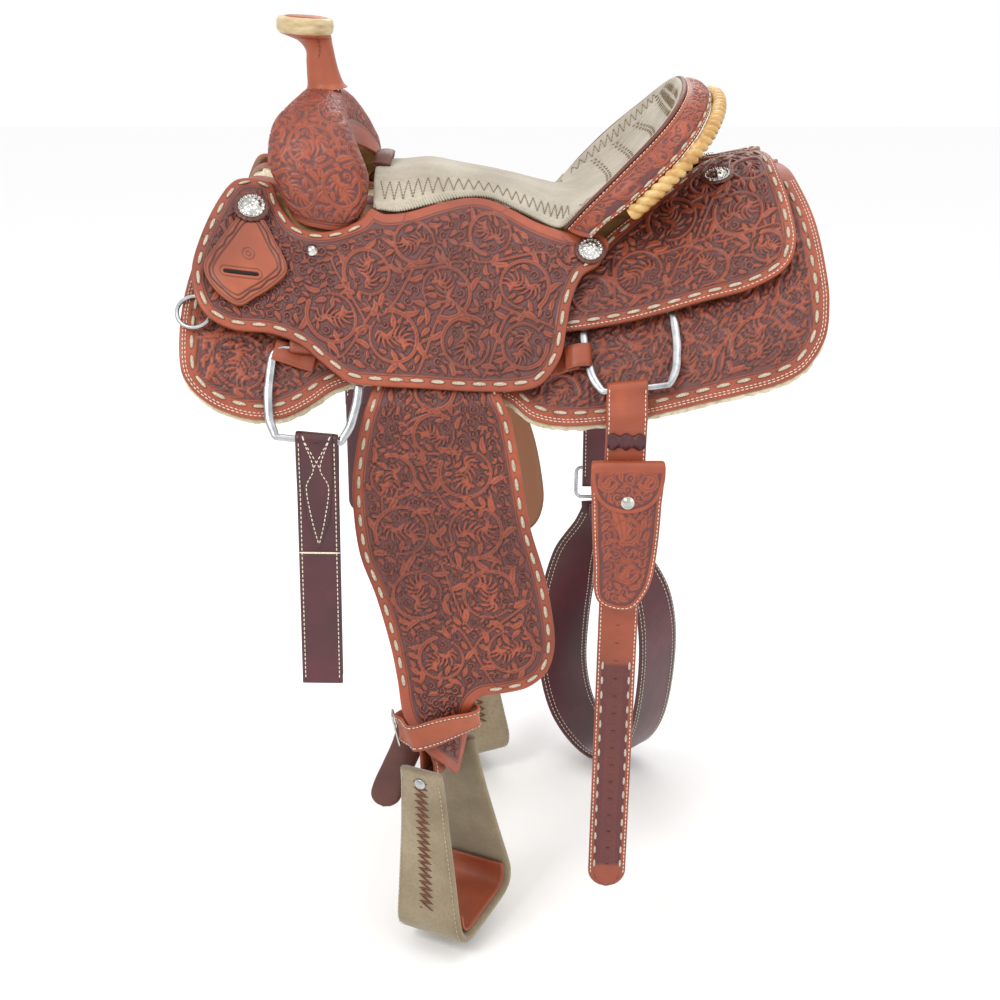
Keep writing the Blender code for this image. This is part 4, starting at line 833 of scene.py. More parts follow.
TOOLED = leather("tooled_leather", "A84E2E", "7E3620", ("663432", "48211F", "260C0A"))
PLAIN = leather("plain_leather", "AE5632", "863E24", ("5C2624", "401719", "2E0F0E"))
STRAPPY = leather("strap_leather", "A8502E", "7E3820", ("5E2426", "44181C", "2E0F0E"), grain=0.3)
BURGUNDY = leather("burgundy_latigo", "561620", "340C12", ("4A141C", "300C12", "1E080C"), grain=0.3, rough=(0.34, 0.5),
                   coat=0.25, flesh="4A1A1E")
DARK = leather("dark_leather", "6E3828", "4A2018", grain=0.3)


def suede(name, light, dark):
    m = Mat(name)
    m.b.inputs["Sheen Weight"].default_value = 0.3
    m.b.inputs["Specular IOR Level"].default_value = 0.2
    n1, n2 = m.noise(14.0, 6.0), m.noise(240.0, 4.0)
    col = m.ramp(n1, [(0.28, lin(dark)), (0.70, lin(light))])
    col = m.mix(m.ramp(n2, [(0.4, [0, 0, 0, 1]), (0.8, [0.5, 0.5, 0.5, 1])]), col, lin(dark))
    m.colour(col)
    m.rough(n2, 0.85, 0.97)
    m.bump(n2, 0.35, 0.0007)
    m.bump(m.noise(700.0, 2.0), 0.3, 0.0003)
    return m.m


SUEDE = suede("seat_suede", "BCB4A2", "968B79")
ROUGHOUT = suede("stirrup_roughout", "9C8D74", "76684F")


def rawhide():
    m = Mat("rawhide_varnished", coat=0.5)
    m.b.inputs["Subsurface Weight"].default_value = 0.15
    m.b.inputs["Subsurface Radius"].default_value = (0.01, 0.005, 0.002)
    n = m.noise(40.0, 5.0)
    m.colour(m.ramp(n, [(0.28, lin("9A6A30")), (0.5, lin("C2954E")), (0.78, lin("DFC68C"))]))
    m.rough(n, 0.25, 0.5)
    m.bump(m.noise(150.0, 4.0), 0.35, 0.0006)
    return m.m


RAWHIDE = rawhide()


def bind_rawhide():
    m = Mat("rawhide_band", coat=0.3)
    n = m.noise(50.0, 5.0, stretch=(1.0, 1.0, 4.0))
    m.colour(m.ramp(n, [(0.25, lin("A88E62")), (0.7, lin("D3C096"))]))
    m.rough(n, 0.35, 0.55)
    m.bump(m.noise(300.0, 3.0), 0.3, 0.0003)
    return m.m


BAND = bind_rawhide()


def metal(name, light, dark, rough):
    m = Mat(name, metal=1.0)
    n = m.noise(70.0, 5.0)
    m.colour(m.ramp(n, [(0.3, lin(dark)), (0.65, lin(light))]))
    m.rough(m.noise(220.0, 4.0), rough * 0.75, rough * 1.5)
    m.bump(m.noise(600.0, 3.0), 0.05, 0.0002)
    return m.m


STEEL = metal("steel_satin", "C8C9CB", "9A9C9F", 0.26)
SILVER = metal("silver_engraved", "DAD9D4", "9E9C96", 0.2)


def thread(name, light, dark, rough=0.7):
    m = Mat(name)
    n = m.noise(800.0, 2.0)
    m.colour(m.ramp(n, [(0.35, lin(dark)), (0.65, lin(light))]))
    m.rough(n, rough, 0.85)
    return m.m


WHITE = thread("waxed_thread", "EFE6D4", "CFC2AA")
BUCK = thread("buckstitch_lace", "CDBFA8", "9F917C")
BROWN = thread("brown_lace", "7A4A34", "56301F")
ZIG = thread("quilting_thread", "8E7A60", "6E5A44")


def wool():
    m = Mat("wool_fleece")
    m.b.inputs["Sheen Weight"].default_value = 0.5
    n = m.noise(160.0, 6.0)
    c = m.ramp(m.noise(30.0, 5.0), [(0.3, lin("C9B792")), (0.7, lin("EBE0C6"))])
    m.colour(m.mix(m.ramp(n, [(0.3, [0.6, 0.6, 0.6, 1]), (0.6, [0, 0, 0, 1])]), c, lin("A8926A")))
    m.rough(n, 0.9, 1.0)
    m.bump(n, 0.8, 0.003)
    return m.m


def wood():
    m = Mat("tree_wood")
    n = m.noise(18.0, 6.0, stretch=(1.0, 6.0, 6.0))
    m.colour(m.ramp(n, [(0.3, lin("8E6A42")), (0.7, lin("BE9664"))]))
    m.rough(n, 0.5, 0.7)
    m.bump(n, 0.3, 0.0006)
    return m.m


WOOL, WOOD = wool(), wood()


# ---------------------------------------------------------------- tooled sheets
def tooled(name, outline, corners, base, side, nx, ny, k, thick, body, node, flowers, border=14.0, flank=True, tmap=None,
           lines=(0.0, 2.4), buck=7.0, rows=(), buckpitch=22.0, keep=None, mat=TOOLED, fill=True, extra=None, field=None, shown=None):
    """Sheet with a plain border, double line, carved field, buckstitches and stitch rows."""
    F = field
    if F is None:
        F = Field(outline)
        for i, (cx, cy, R) in enumerate(flowers):
            wreath(F, cx, cy, R, 1 if i % 2 else -1, 0.9 * i)
        stems(F, flowers)
        if extra:
            extra(F)
        if fill:
            fill_gaps(F, border, only=shown)
        for run in (inset(outline, buck, keep) if buck else []):
            a, b = dashes(run, 0.0145, buckpitch / 1000)
            for p in np.concatenate([a, b]) * 1000:
                F.dot(p[0], p[1], 1.5, dark=True)
    q = patch(outline, corners, nx, ny, flank, tmap)
    f = surface(base, side)
    D = F.sample(F.edge, q)
    sd = F.sample(F.sd, q)
    cut = F.sample(F.cut, q)
    fieldmask = smooth(border - 0.1, border + 0.5, D)
    fg = smooth(-0.45, 0.55, sd)
    bg = fieldmask * (1 - fg)
    dk = np.maximum(cut * fieldmask * 0.95, cut * (1 - fieldmask))
    for w in lines:
        dk = np.maximum(dk, 0.85 * np.exp(-((D - border + w) / 0.65) ** 2))
    dk = np.maximum(dk, 0.92 * fieldmask * np.exp(-((sd + 0.20) / 0.55) ** 2))
    round_over = -0.0011 * (1 - np.clip(D / 2.6, 0, 1)) ** 2
    h = 0.0009 * fg * fieldmask - 0.0008 * bg - 0.0006 * dk + round_over
    h = h + 0.0005 * fieldmask * fg * smooth(0, 2.2, sd)
    p, n = f(q, h)
    obj = slab(name, p, n, thick, k, mat, body, "skirting_leather", {"bg": bg, "dk": dk}, node)
    if buck:
        stitch_runs(name + "_buckstitch", inset(outline, buck, keep), f, 0.0004, 0.0145, buckpitch / 1000, 0.0042, 0.0022, BUCK, body,
                    "skirting_leather", arch=0.0004, sharp=True)
    for r, (d, length, pitch) in enumerate(rows):
        stitch_runs(name + "_stitches_" + str(r + 1), inset(outline, d, keep), f, 0.0001, length, pitch, 0.0010, 0.0008, WHITE, body,
                    "skirting_leather", rings=(0.0, 0.2, 0.8, 1.0), segs=4)
    return F


SEAT_FLOWERS = [(-313, 160, 16), (-93, 137, 26), (-59, 188, 30), (-144, 177, 28), (-181, 228, 30), (-116, 241, 30), (-36, 240, 30),
                (26, 240, 27), (26, 178, 30), (-10, 122, 26), (78, 145, 17)]
REAR_FLOWERS = [(99, 180, 24), (153, 160, 30), (228, 170, 24), (192, 104, 30), (265, 113, 30), (292, 160, 20), (285, 52, 24), (236, 62, 24)]
SKIRT_FLOWERS = [(65, 285, 24), (127, 262, 30), (206, 270, 30), (281, 259, 32), (327, 205, 26), (318, 145, 26), (-281, 290, 34),
                 (-317, 250, 20), (-225, 270, 26), (200, 215, 26), (150, 215, 20), (260, 190, 26)]
JOCKEY_SEWN = lambda x, u: ~((u < 130) & (x > -150) & (x < 84))
FENDER_FLOWERS = [(-71, -100, 24), (-71, -150, 26), (-118, -199, 28), (-37, -193, 32), (-108, -262, 33), (-28, -262, 34), (-92, -337, 32),
                  (-12, -338, 33), (12, -406, 30), (-66, -416, 29)]

for side in (NEAR, OFF):
    T = lambda s: tag(s, side)
    if side == NEAR:
        FS = tooled(T("seat_jockey_carved"), SEAT_JOCKEY, (0, 18, 24, 34), seat_jockey_base, side, 400, 192, 8, 0.0050, "saddle",
                    T("seat_jockey"), SEAT_FLOWERS, border=13.0, buck=6.5, keep=JOCKEY_SEWN)
        FR = tooled(T("rear_jockey_carved"), REAR_JOCKEY, (0, 1, 7, 12), rear_jockey_base, side, 176, 208, 8, 0.0045, "saddle",
                    T("rear_jockey"), REAR_FLOWERS, border=14.0, buck=8.0, rows=((3.2, 0.0034, 0.0048),))
        FK = tooled(T("skirt_carved"), SKIRT, (0, 8, 15, 33), skirt_base, side, 400, 160, 8, 0.0055, "saddle",
                    T("skirt"), SKIRT_FLOWERS, border=20.0, buck=13.0, rows=((3.4, 0.0034, 0.0048), (6.2, 0.0034, 0.0048)),
                    tmap=lambda t: 1 - (1 - t) ** 1.25, keep=lambda x, u: (u > 60),
                    shown=lambda X, Y: (Y > 185) | (X > 300))
        FF = tooled(T("fender_carved"), FENDER, (0, 4, 19, 20), fender_base, side, 152, 360, 8, 0.0050, T("fender"),
                    T("fender"), FENDER_FLOWERS, border=14.0, buck=6.8, flank=False, keep=lambda x, z: (z > -455) & (z < -20))
    else:
        tooled(T("seat_jockey_carved"), SEAT_JOCKEY, (0, 18, 24, 34), seat_jockey_base, side, 400, 192, 8, 0.0050, "saddle",
               T("seat_jockey"), SEAT_FLOWERS, border=13.0, buck=6.5, keep=JOCKEY_SEWN, field=FS)
        tooled(T("rear_jockey_carved"), REAR_JOCKEY, (0, 1, 7, 12), rear_jockey_base, side, 176, 208, 8, 0.0045, "saddle",
               T("rear_jockey"), REAR_FLOWERS, border=14.0, buck=8.0, rows=((3.2, 0.0034, 0.0048),), field=FR)
        tooled(T("skirt_carved"), SKIRT, (0, 8, 15, 33), skirt_base, side, 400, 160, 8, 0.0055, "saddle",
               T("skirt"), SKIRT_FLOWERS, border=20.0, buck=13.0, rows=((3.4, 0.0034, 0.0048), (6.2, 0.0034, 0.0048)),
               tmap=lambda t: 1 - (1 - t) ** 1.25, keep=lambda x, u: (u > 60), field=FK)
        tooled(T("fender_carved"), FENDER, (0, 4, 19, 20), fender_base, side, 152, 360, 8, 0.0050, T("fender"),
               T("fender"), FENDER_FLOWERS, border=14.0, buck=6.8, flank=False, keep=lambda x, z: (z > -455) & (z < -20), field=FF)

# ---------------------------------------------------------------- straps and other swept pieces
def unit(v):
    return v / (np.linalg.norm(v, axis=-1, keepdims=True) + 1e-12)


class Band:
    """Strap swept along a path: w is the width direction, n the outer face's normal."""

    def __init__(self, path, across, width, thick, outward, step=0.0022, closed=False, smooth_path=True):
        path = np.asarray(path, float)
        across = np.broadcast_to(np.asarray(across, float), path.shape)
        width = np.broadcast_to(np.asarray(width, float), (len(path),))
        data = np.hstack([path, across, width[:, None]])
        if smooth_path:
            fine = spline(list(path), closed=closed, steps=8)
            if closed:
                fine = np.vstack([fine, fine[:1]])
                data = np.vstack([data, data[:1]])
            k = np.arange(len(fine)) / 8.0
            src = np.arange(len(data))
            data = np.hstack([fine] + [np.interp(k, src, data[:, c])[:, None] for c in range(3, 7)])
        s = arclen(data[:, :3])
        n = max(4, int(s[-1] / step))
        S = np.linspace(0, s[-1], n + 1)
        if closed:
            S = S[:-1]
        d = np.stack([np.interp(S, s, data[:, c]) for c in range(7)], -1)
        self.closed, self.S, self.L, self.P, self.width, self.thick = closed, S, s[-1], d[:, :3], d[:, 6], thick
        if closed:
            t = unit(np.roll(self.P, -1, 0) - np.roll(self.P, 1, 0))
        else:
            t = unit(np.gradient(self.P, axis=0))
        w = d[:, 3:6]
        w = unit(w - t * np.sum(w * t, 1, keepdims=True))
        nn = np.cross(t, w)
        m = len(nn) // 2 if outward[1] is None else min(len(nn) - 1, outward[1])
        if np.dot(nn[m], outward[0]) < 0:
            nn = -nn
        self.T, self.W, self.N = t, w, nn

    def top(self, s, l, h=0.0, face=1):
        """Point on the outer face at distance s along and l across, h above it."""
        s = np.asarray(s, float)
        g = lambda A: np.stack([np.interp(s, self.S, A[:, c]) for c in range(3)], -1)
        n = unit(g(self.N)) * face
        return g(self.P) + g(self.W) * np.asarray(l)[..., None] + n * (self.thick / 2 + np.asarray(h))[..., None], n

    def mesh(self, name, mat, body, slot, node=None, cols=10, dk=None, field=None, ends=None):
        r = self.thick / 2
        lat = np.linspace(-1, 1, cols + 1)
        sec = [(x, 1.0, 1) for x in lat] + [(1.0, c, 0) for c in (0.35, -0.35)] + [(x, -1.0, -1) for x in lat[::-1]] + \
              [(-1.0, c, 0) for c in (-0.35, 0.35)]
        V, DK, BG, IN = [], [], [], []
        half = self.width / 2
        for x, c, face in sec:
            e = half - r * 0.7
            corner = abs(abs(x) - 1) < 1e-6
            hh = c * r * (0.72 if corner and face else 1.0)
            l = x * (half - (r * 0.25 if corner and face else 0) if corner else e)
            dval = np.zeros(len(self.S))
            bval = np.zeros(len(self.S))
            if face == 1 and dk is not None:
                dval, bval, add = dk(self.S, l, half)
                hh = hh + add
            V.append(self.P + self.W * np.asarray(l)[:, None] + self.N * (np.ones(len(self.S)) * hh)[:, None])
            DK.append(dval)
            BG.append(bval)
            IN.append(np.full(len(self.S), 1.0 if face == -1 and field == "flesh" else 0.0))
        V = np.stack(V, 1)
        k = len(sec)
        n = len(self.S)
        F = []
        for i in range(n if self.closed else n - 1):
            a, b = i * k, ((i + 1) % n) * k
            for j in range(k):
                q = (j + 1) % k
                F.append((a + j, a + q, b + q, b + j))
        if not self.closed:
            F.append(tuple(range(k))[::-1])
            F.append(tuple((n - 1) * k + j for j in range(k)))
        at_ = {"dk": np.stack(DK, 1).reshape(-1), "bg": np.stack(BG, 1).reshape(-1), "inside": np.stack(IN, 1).reshape(-1)}
        ob = make(name, V.reshape(-1, 3), F, mat, body, slot, at_, node)
        return ob

    def sew(self, name, offset, length, pitch, width, height, mat, body, slot, s0=0.006, s1=None, face=1, sides=(-1, 1), **kw):
        """Rows of stitches along both edges; offset is measured in from the edge."""
        s1 = self.L - 0.006 if s1 is None else s1
        n = max(1, int((s1 - s0) / pitch))
        s = s0 + (np.arange(n) + 0.5) * (s1 - s0) / n
        a, b, nr = [], [], []
        for sg in sides:
            l = lambda x: sg * (np.interp(x, self.S, self.width) / 2 - offset)
            p, _ = self.top(s - length / 2, l(s - length / 2), 0.0001, face)
            q, _ = self.top(s + length / 2, l(s + length / 2), 0.0001, face)
            _, m = self.top(s, l(s), 0.0, face)
            a.append(p), b.append(q), nr.append(m)
        return capsules(name, np.concatenate(a), np.concatenate(b), np.concatenate(nr), width, height, mat, body, slot, **kw)


THIN = dict(rings=(0.0, 0.2, 0.8, 1.0), segs=4)


def edge_lines(w=0.0026):
    def f(S, l, half):
        d = half - np.abs(l)
        dk = 0.55 * np.exp(-((d - w) / 0.0009) ** 2)
        return dk, 0 * S, -0.0002 * dk
    return f


def tube(name, path, rx, ry, axis, mat, body, slot, node=None, segs=14, closed=False):
    """Round or flattened rod along a path; rx lies in the plane across axis."""
    P = np.asarray(path, float)
    t = unit(np.roll(P, -1, 0) - np.roll(P, 1, 0)) if closed else unit(np.gradient(P, axis=0))
    n = np.broadcast_to(np.asarray(axis, float), P.shape)
    n = unit(n - t * np.sum(n * t, 1, keepdims=True))
    w = np.cross(t, n)
    rx, ry = np.broadcast_to(rx, (len(P),)), np.broadcast_to(ry, (len(P),))
    q = np.arange(segs) * 2 * math.pi / segs
    V = P[:, None] + w[:, None] * (rx[:, None] * np.cos(q))[..., None] + n[:, None] * (ry[:, None] * np.sin(q))[..., None]
    F = []
    m = len(P)
    for i in range(m if closed else m - 1):
        a, b = i * segs, ((i + 1) % m) * segs
        for j in range(segs):
            k = (j + 1) % segs
            F.append((a + j, a + k, b + k, b + j))
    if not closed:
        F += [tuple(range(segs))[::-1], tuple((m - 1) * segs + j for j in range(segs))]
    return make(name, V.reshape(-1, 3), F, mat, body, slot, None, node)


def grid_normals(P):
    n = unit(np.cross(np.gradient(P, axis=1), np.gradient(P, axis=0)))
    return n


def lathe(name, prof, centre, ex, ey, ez, mat, body, slot, node=None, segs=48, shape=None, attrs=None):
    """Surface turned about ez; prof is (radius, height) from the axis round to the axis again."""
    q = np.arange(segs) * 2 * math.pi / segs
    prof = np.asarray(prof, float)
    R = prof[:, 0][:, None] * np.ones(segs)
    Z = prof[:, 1][:, None] * np.ones(segs)
    if shape:
        R, Z = shape(R, Z, q)
    P = np.asarray(centre) + R[..., None] * (np.cos(q)[:, None] * ex + np.sin(q)[:, None] * ey) + Z[..., None] * np.asarray(ez)
    m = len(prof)
    F = []
    for i in range(m - 1):
        for j in range(segs):
            k = (j + 1) % segs
            F.append((i * segs + j, i * segs + k, (i + 1) * segs + k, (i + 1) * segs + j))
    F += [tuple(range(segs))[::-1], tuple((m - 1) * segs + j for j in range(segs))]
    return make(name, P.reshape(-1, 3), F, mat, body, slot, attrs, node)


# ---------------------------------------------------------------- fleece
def lumps(q, scale, seed):
    """Smooth random lumps over flat points."""
    r = np.random.default_rng(seed)
    g = r.random((80, 80))
    a = np.mod(q[..., 0] / scale, 79.0)
    b = np.mod(q[..., 1] / scale, 79.0)
    i, j = a.astype(int), b.astype(int)
    fx, fy = smooth(0, 1, a - i), smooth(0, 1, b - j)
    return ((g[j, i] * (1 - fx) + g[j, i + 1] * fx) * (1 - fy) + (g[j + 1, i] * (1 - fx) + g[j + 1, i + 1] * fx) * fy) - 0.5


for side in (NEAR, OFF):
    q = patch(SKIRT, (0, 8, 15, 33), 272, 144)
    f = surface(lambda x, u, s: back(x, u + 0.001, 0.0006, s), side)
    bump = 0.0030 * lumps(q, 0.0105, 3) + 0.0018 * lumps(q, 0.0045, 5)
    p, n = f(q, 0.0006 + bump)
    w = lambda base, fr: 0.0022 * lumps(base[:, [0, 2]] + fr * 0.01, 0.0048, 9)
    slab(tag("fleece_wool", side), p, -n, -0.0 + 0.0098, 8, WOOL, "saddle", "wool_fleece", {"dk": 0 * bump}, tag("fleece", side),
         wall=w, rings=4, crown=0.0022)

# ---------------------------------------------------------------- seat
SEAT_ROWS = [((-0.1440, 0.1080), (-0.1400, 0.1045)), ((-0.1150, 0.1075), (-0.1130, 0.1040)),
             ((-0.0820, 0.1100), (-0.0800, 0.0920)), ((-0.0470, 0.1035), (-0.0450, 0.0795)),
             ((-0.0120, 0.0960), (-0.0110, 0.0780)), ((0.0200, 0.0885), (0.0200, 0.0930)),
             ((0.0500, 0.0805), (0.0470, 0.1065)), ((0.0750, 0.0760), (0.0670, 0.1130))]
CANTLE_ROWS = [((0.0950, 0.0770), (0.0880, -0.1560, 0.0790)), ((0.1150, 0.0850), (0.1160, -0.1600, 0.1080)),
               ((0.1370, 0.0990), (0.1375, -0.1550, 0.1290)), ((0.1580, 0.1190), (0.1570, -0.1450, 0.1470)),
               ((0.1780, 0.1440), (0.1750, -0.1300, 0.1640)), ((0.1940, 0.1700), (0.1900, -0.1090, 0.1800)),
               ((0.2060, 0.2030), (0.2010, -0.0780, 0.1930))]
SEAT_C = spline([(c[0], 0, c[1]) for c, _ in SEAT_ROWS] + [(c[0], 0, c[1]) for c, _ in CANTLE_ROWS])
SEAT_E = spline([back(np.array(e[0]), np.array(e[1] - 0.0015), seat_n(e[0], e[1])) for _, e in SEAT_ROWS]
                + [e for _, e in CANTLE_ROWS])


def seat_point(s, v):
    s, v = np.broadcast_arrays(np.asarray(s, float), np.asarray(v, float))
    k = np.clip(s * 10, 0, len(SEAT_C) - 1)
    src = np.arange(len(SEAT_C))
    c = [np.interp(k, src, SEAT_C[:, i]) for i in range(3)]
    e = [np.interp(k, src, SEAT_E[:, i]) for i in range(3)]
    a = np.abs(v)
    return np.stack([c[0] + (e[0] - c[0]) * a * a, e[1] * a * np.where(v < 0, 1, -1), c[2] + (e[2] - c[2]) * a**2.3], -1)


def seat_frame(s, v):
    h = 0.03
    du = seat_point(np.minimum(14, s + h), v) - seat_point(np.maximum(0, s - h), v)
    dv = seat_point(s, np.minimum(1, v + h)) - seat_point(s, np.maximum(-1, v - h))
    n = unit(np.cross(du, dv))
    return seat_point(s, v), n * np.where(n[..., 2:3] > 0, 1, -1)


def seat_top(s, v, h):
    p, n = seat_frame(s, v)
    return p + n * np.asarray(h)[..., None], n


def quilt_lines():
    """Leaf-shaped zigzags along the dish's rim and along the seat's edges, in (s, v)."""
    lines = []
    for sg in (-1, 1):
        s = np.linspace(0.35, 7.4, 44)
        v = np.where(np.arange(44) % 2, 0.90, 0.62) * sg
        lines.append(np.stack([s, v], -1))
        s = np.linspace(7.9, 12.9, 29)
        v = np.where(np.arange(29) % 2, 0.93, 0.76) * sg
        lines.append(np.stack([s, v], -1))
    v = np.linspace(-0.80, 0.80, 31)
    lines.append(np.stack([np.where(np.arange(31) % 2, 13.72, 12.7), v], -1))
    for row in (9.4, 10.6, 11.8):
        v = np.linspace(-0.70, 0.70, 29)
        lines.append(np.stack([row + np.where(np.arange(29) % 2, 0.34, 0.0) - 1.2 * v * v, v], -1))
    return lines


QUILT = quilt_lines()
sg, vg = np.meshgrid(np.linspace(0, 14, 281), np.linspace(-1, 1, 217), indexing="ij")
flat = np.stack([sg * 22.0, vg * 150.0], -1)
near_line = np.full(sg.shape, 99.0)
for line in QUILT:
    L = line * np.array([22.0, 150.0])
    for a, b in zip(L, L[1:]):
        d = b - a
        t = np.clip(((flat - a) @ d) / (d @ d), 0, 1)
        near_line = np.minimum(near_line, np.linalg.norm(flat - a - t[..., None] * d, axis=-1))
puff = 0.0016 * (1 - np.exp(-near_line / 5.0)) - 0.0006
soft = 0.0009 * lumps(flat, 34.0, 21) + 0.0004 * lumps(flat, 9.0, 22)
edge_d = np.minimum((1 - np.abs(vg)) * 150, np.minimum(sg, 14 - sg) * 22)
puff = np.where(edge_d < 5, puff * edge_d / 5, puff) - 0.0010 * (1 - np.clip(edge_d / 3, 0, 1)) ** 2
p, n = seat_top(sg, vg, puff + soft)
pad = slab("seat_pad_suede", p, n, 0.0036, 8, SUEDE, "saddle", "roughout", {"dk": np.exp(-near_line / 1.2)}, "seat_pad")
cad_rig.padded(pad, 0.5)
a, b = [], []
for line in QUILT:
    for u, v in zip(line, line[1:]):
        L = np.linalg.norm((v - u) * np.array([22.0, 150.0]))
        k = max(2, int(L / 6.0))
        for i in range(k):
            a.append(u + (v - u) * (i + 0.12) / k)
            b.append(u + (v - u) * (i + 0.88) / k)
a, b = np.array(a), np.array(b)
pa, na = seat_top(a[:, 0], a[:, 1], np.full(len(a), 0.0002))
pb, _ = seat_top(b[:, 0], b[:, 1], np.full(len(b), 0.0002))
capsules("seat_quilting", pa, pb, na, 0.0011, 0.0008, ZIG, "saddle", "roughout", **THIN)
# whip lacing over both edges of the seat, down to the cantle
s = np.linspace(0.15, 7.6, 84)
a, b, nn = [], [], []
for sg_ in (-1, 1):
    p0, n0 = seat_top(s - 0.05, np.full(84, 0.945 * sg_), np.full(84, 0.0010))
    p1, _ = seat_top(s + 0.05, np.full(84, 0.999 * sg_), np.full(84, -0.0008))
    out = unit(p1 - p0)
    a.append(p0), b.append(p1 + out * 0.0040), nn.append(n0)
capsules("seat_lacing", np.concatenate(a), np.concatenate(b), np.concatenate(nn), 0.0036, 0.0022, SUEDE, "saddle", "roughout", arch=0.0008)

lip = spline([(-0.1370, -0.034, 0.1085), (-0.1350, -0.018, 0.1165), (-0.1340, 0, 0.1190), (-0.1350, 0.018, 0.1165), (-0.1370, 0.034, 0.1085)])
tube("hand_hole_lip", lip, 0.0110, 0.0034, (0, 0, 1), DARK, "saddle", "skirting_leather", segs=14)

# back of the cantle
sv, vv = np.meshgrid(np.linspace(9.5, 12.9, 81), np.linspace(-0.78, 0.78, 129), indexing="ij")
p, n = seat_top(sv, vv, np.full(sv.shape, -0.0166 - 0.0035))
slab("cantle_back_leather", p, -n, 0.0035, 8, PLAIN, "saddle", "skirting_leather", {"bg": 0 * sv, "dk": 0 * sv}, "cantle_back")

# cantle roll with its scrolls
RIM = [e for _, e in CANTLE_ROWS]
LOW = SEAT_E[70] + np.array([0.0030, -0.0050, -0.0030])
ROLL_IN = [tuple(LOW)] + RIM + [(0.2060, -0.040, 0.2005), (0.2070, 0, 0.2040)]
ROLL_OUT = [(0.1000, -0.1660, 0.0480), (0.1150, -0.1690, 0.0640), (0.1369, -0.1740, 0.0813), (0.1560, -0.1750, 0.0985), (0.1745, -0.1700, 0.1155),
            (0.1915, -0.1600, 0.1300), (0.2040, -0.1480, 0.1425), (0.2175, -0.1290, 0.1565), (0.2325, -0.0900, 0.1750),
            (0.2395, -0.0450, 0.1855), (0.2410, 0, 0.1885)]


def mirror_line(pts):
    line = spline(pts)
    return np.vstack([line[:-1], (line * [1, -1, 1])[::-1]])


inner, outer = mirror_line(ROLL_IN), mirror_line(ROLL_OUT)
NA, NB = 480, 40
fr = np.linspace(0, 1, NA + 1)
A, B = at(inner, fr), at(outer, fr)
d = unit(B - A)
tg = unit(at(inner, np.minimum(1, fr + 0.02)) - at(inner, np.maximum(0, fr - 0.02)))
nr = unit(np.cross(tg, d))
ref = np.stack([0.35 + 0 * fr, np.where(np.abs(A[:, 1]) > 0.02, np.sign(A[:, 1]) * 0.4, 0), 0.8 + 0 * fr], -1)
nr = nr * np.where(np.sum(nr * ref, 1, keepdims=True) < 0, -1, 1)
ker = np.hanning(31)
ker /= ker.sum()
nr = unit(np.stack([np.convolve(np.pad(nr[:, c], 15, mode="edge"), ker, "valid") for c in range(3)], -1))
A2 = A + d * 0.0056
wd = np.linalg.norm(B - A2, axis=1)
LR = arclen(outer)[-1] * 1000
r = np.linspace(0, 1, NB + 1)
bump = 0.0058 * np.sin(math.pi * r) ** 0.7
G = A2[:, None] + (B - A2)[:, None] * r[None, :, None] + nr[:, None] * bump[None, :, None]
q = np.stack(np.broadcast_arrays(fr[:, None] * LR, r[None, :] * wd[:, None] * 1000), -1) / 1000
FRo = Field([(0, 0), (0, 20), (LR * 0.2, 30), (LR * 0.5, 37), (LR * 0.8, 30), (LR, 20), (LR, 0), (LR * 0.8, 0), (LR * 0.5, 0), (LR * 0.2, 0)])
for k in range(13):
    c = (k + 0.5) * LR / 13
    w_ = float(np.interp(c / LR, fr, wd)) * 1000
    wreath(FRo, c, w_ * 0.5, max(7.0, w_ * 0.36), 1 if k % 2 else -1, 1.3 * k)
fill_gaps(FRo, 3.0, limit=1.9)
dist = np.minimum(np.minimum(q[..., 1] * 1000, wd[:, None] * 1000 - q[..., 1] * 1000), np.minimum(q[..., 0] * 1000, LR - q[..., 0] * 1000))
sd, cut = FRo.sample(FRo.sd, q), FRo.sample(FRo.cut, q)
mask = smooth(6.0, 6.6, dist)
fg = smooth(-0.45, 0.55, sd)
dk = np.maximum(0.75 * cut * mask, 0.8 * np.exp(-((dist - 6.0) / 0.7) ** 2))
bgv = mask * (1 - fg)
n = grid_normals(G)
n = n * np.where(np.sum(n * nr[:, None], -1, keepdims=True) < 0, -1, 1)
P = G + n * (0.0006 * fg * mask - 0.0004 * bgv - 0.0004 * dk)[..., None]
slab("cantle_roll_carved", P, n, 0.0040, 8, TOOLED, "saddle", "skirting_leather", {"bg": bgv, "dk": dk}, "cantle_roll")


def roll_row(name, where, length, pitch, width, height, mat, **kw):
    L = arclen(outer)[-1]
    m = int(L / pitch)
    c = (np.arange(m) + 0.5) / m
    j = int(round(where * NB))
    pts = G[:, j] + n[:, j] * 0.0001
    pa = np.stack([np.interp(c - length / L / 2, fr, pts[:, k]) for k in range(3)], -1)
    pb = np.stack([np.interp(c + length / L / 2, fr, pts[:, k]) for k in range(3)], -1)
    nn = np.stack([np.interp(c, fr, n[:, j, k]) for k in range(3)], -1)
    capsules(name, pa, pb, nn, width, height, mat, "saddle", "skirting_leather", **kw)


roll_row("cantle_roll_inner_stitches", 0.06, 0.0036, 0.0052, 0.0012, 0.0009, WHITE, **THIN)
roll_row("cantle_roll_outer_stitches", 0.955, 0.0036, 0.0052, 0.0011, 0.0009, WHITE, **THIN)
roll_row("cantle_roll_buckstitch", 0.88, 0.0120, 0.0190, 0.0034, 0.0018, BUCK, sharp=True)

# brown edge between the dish and the roll
tube("cantle_rim_bead", (A + d * 0.0030 + nr * 0.0004)[::2], 0.0027, 0.0022, (0, 0, 1), DARK, "saddle", "skirting_leather", segs=8)

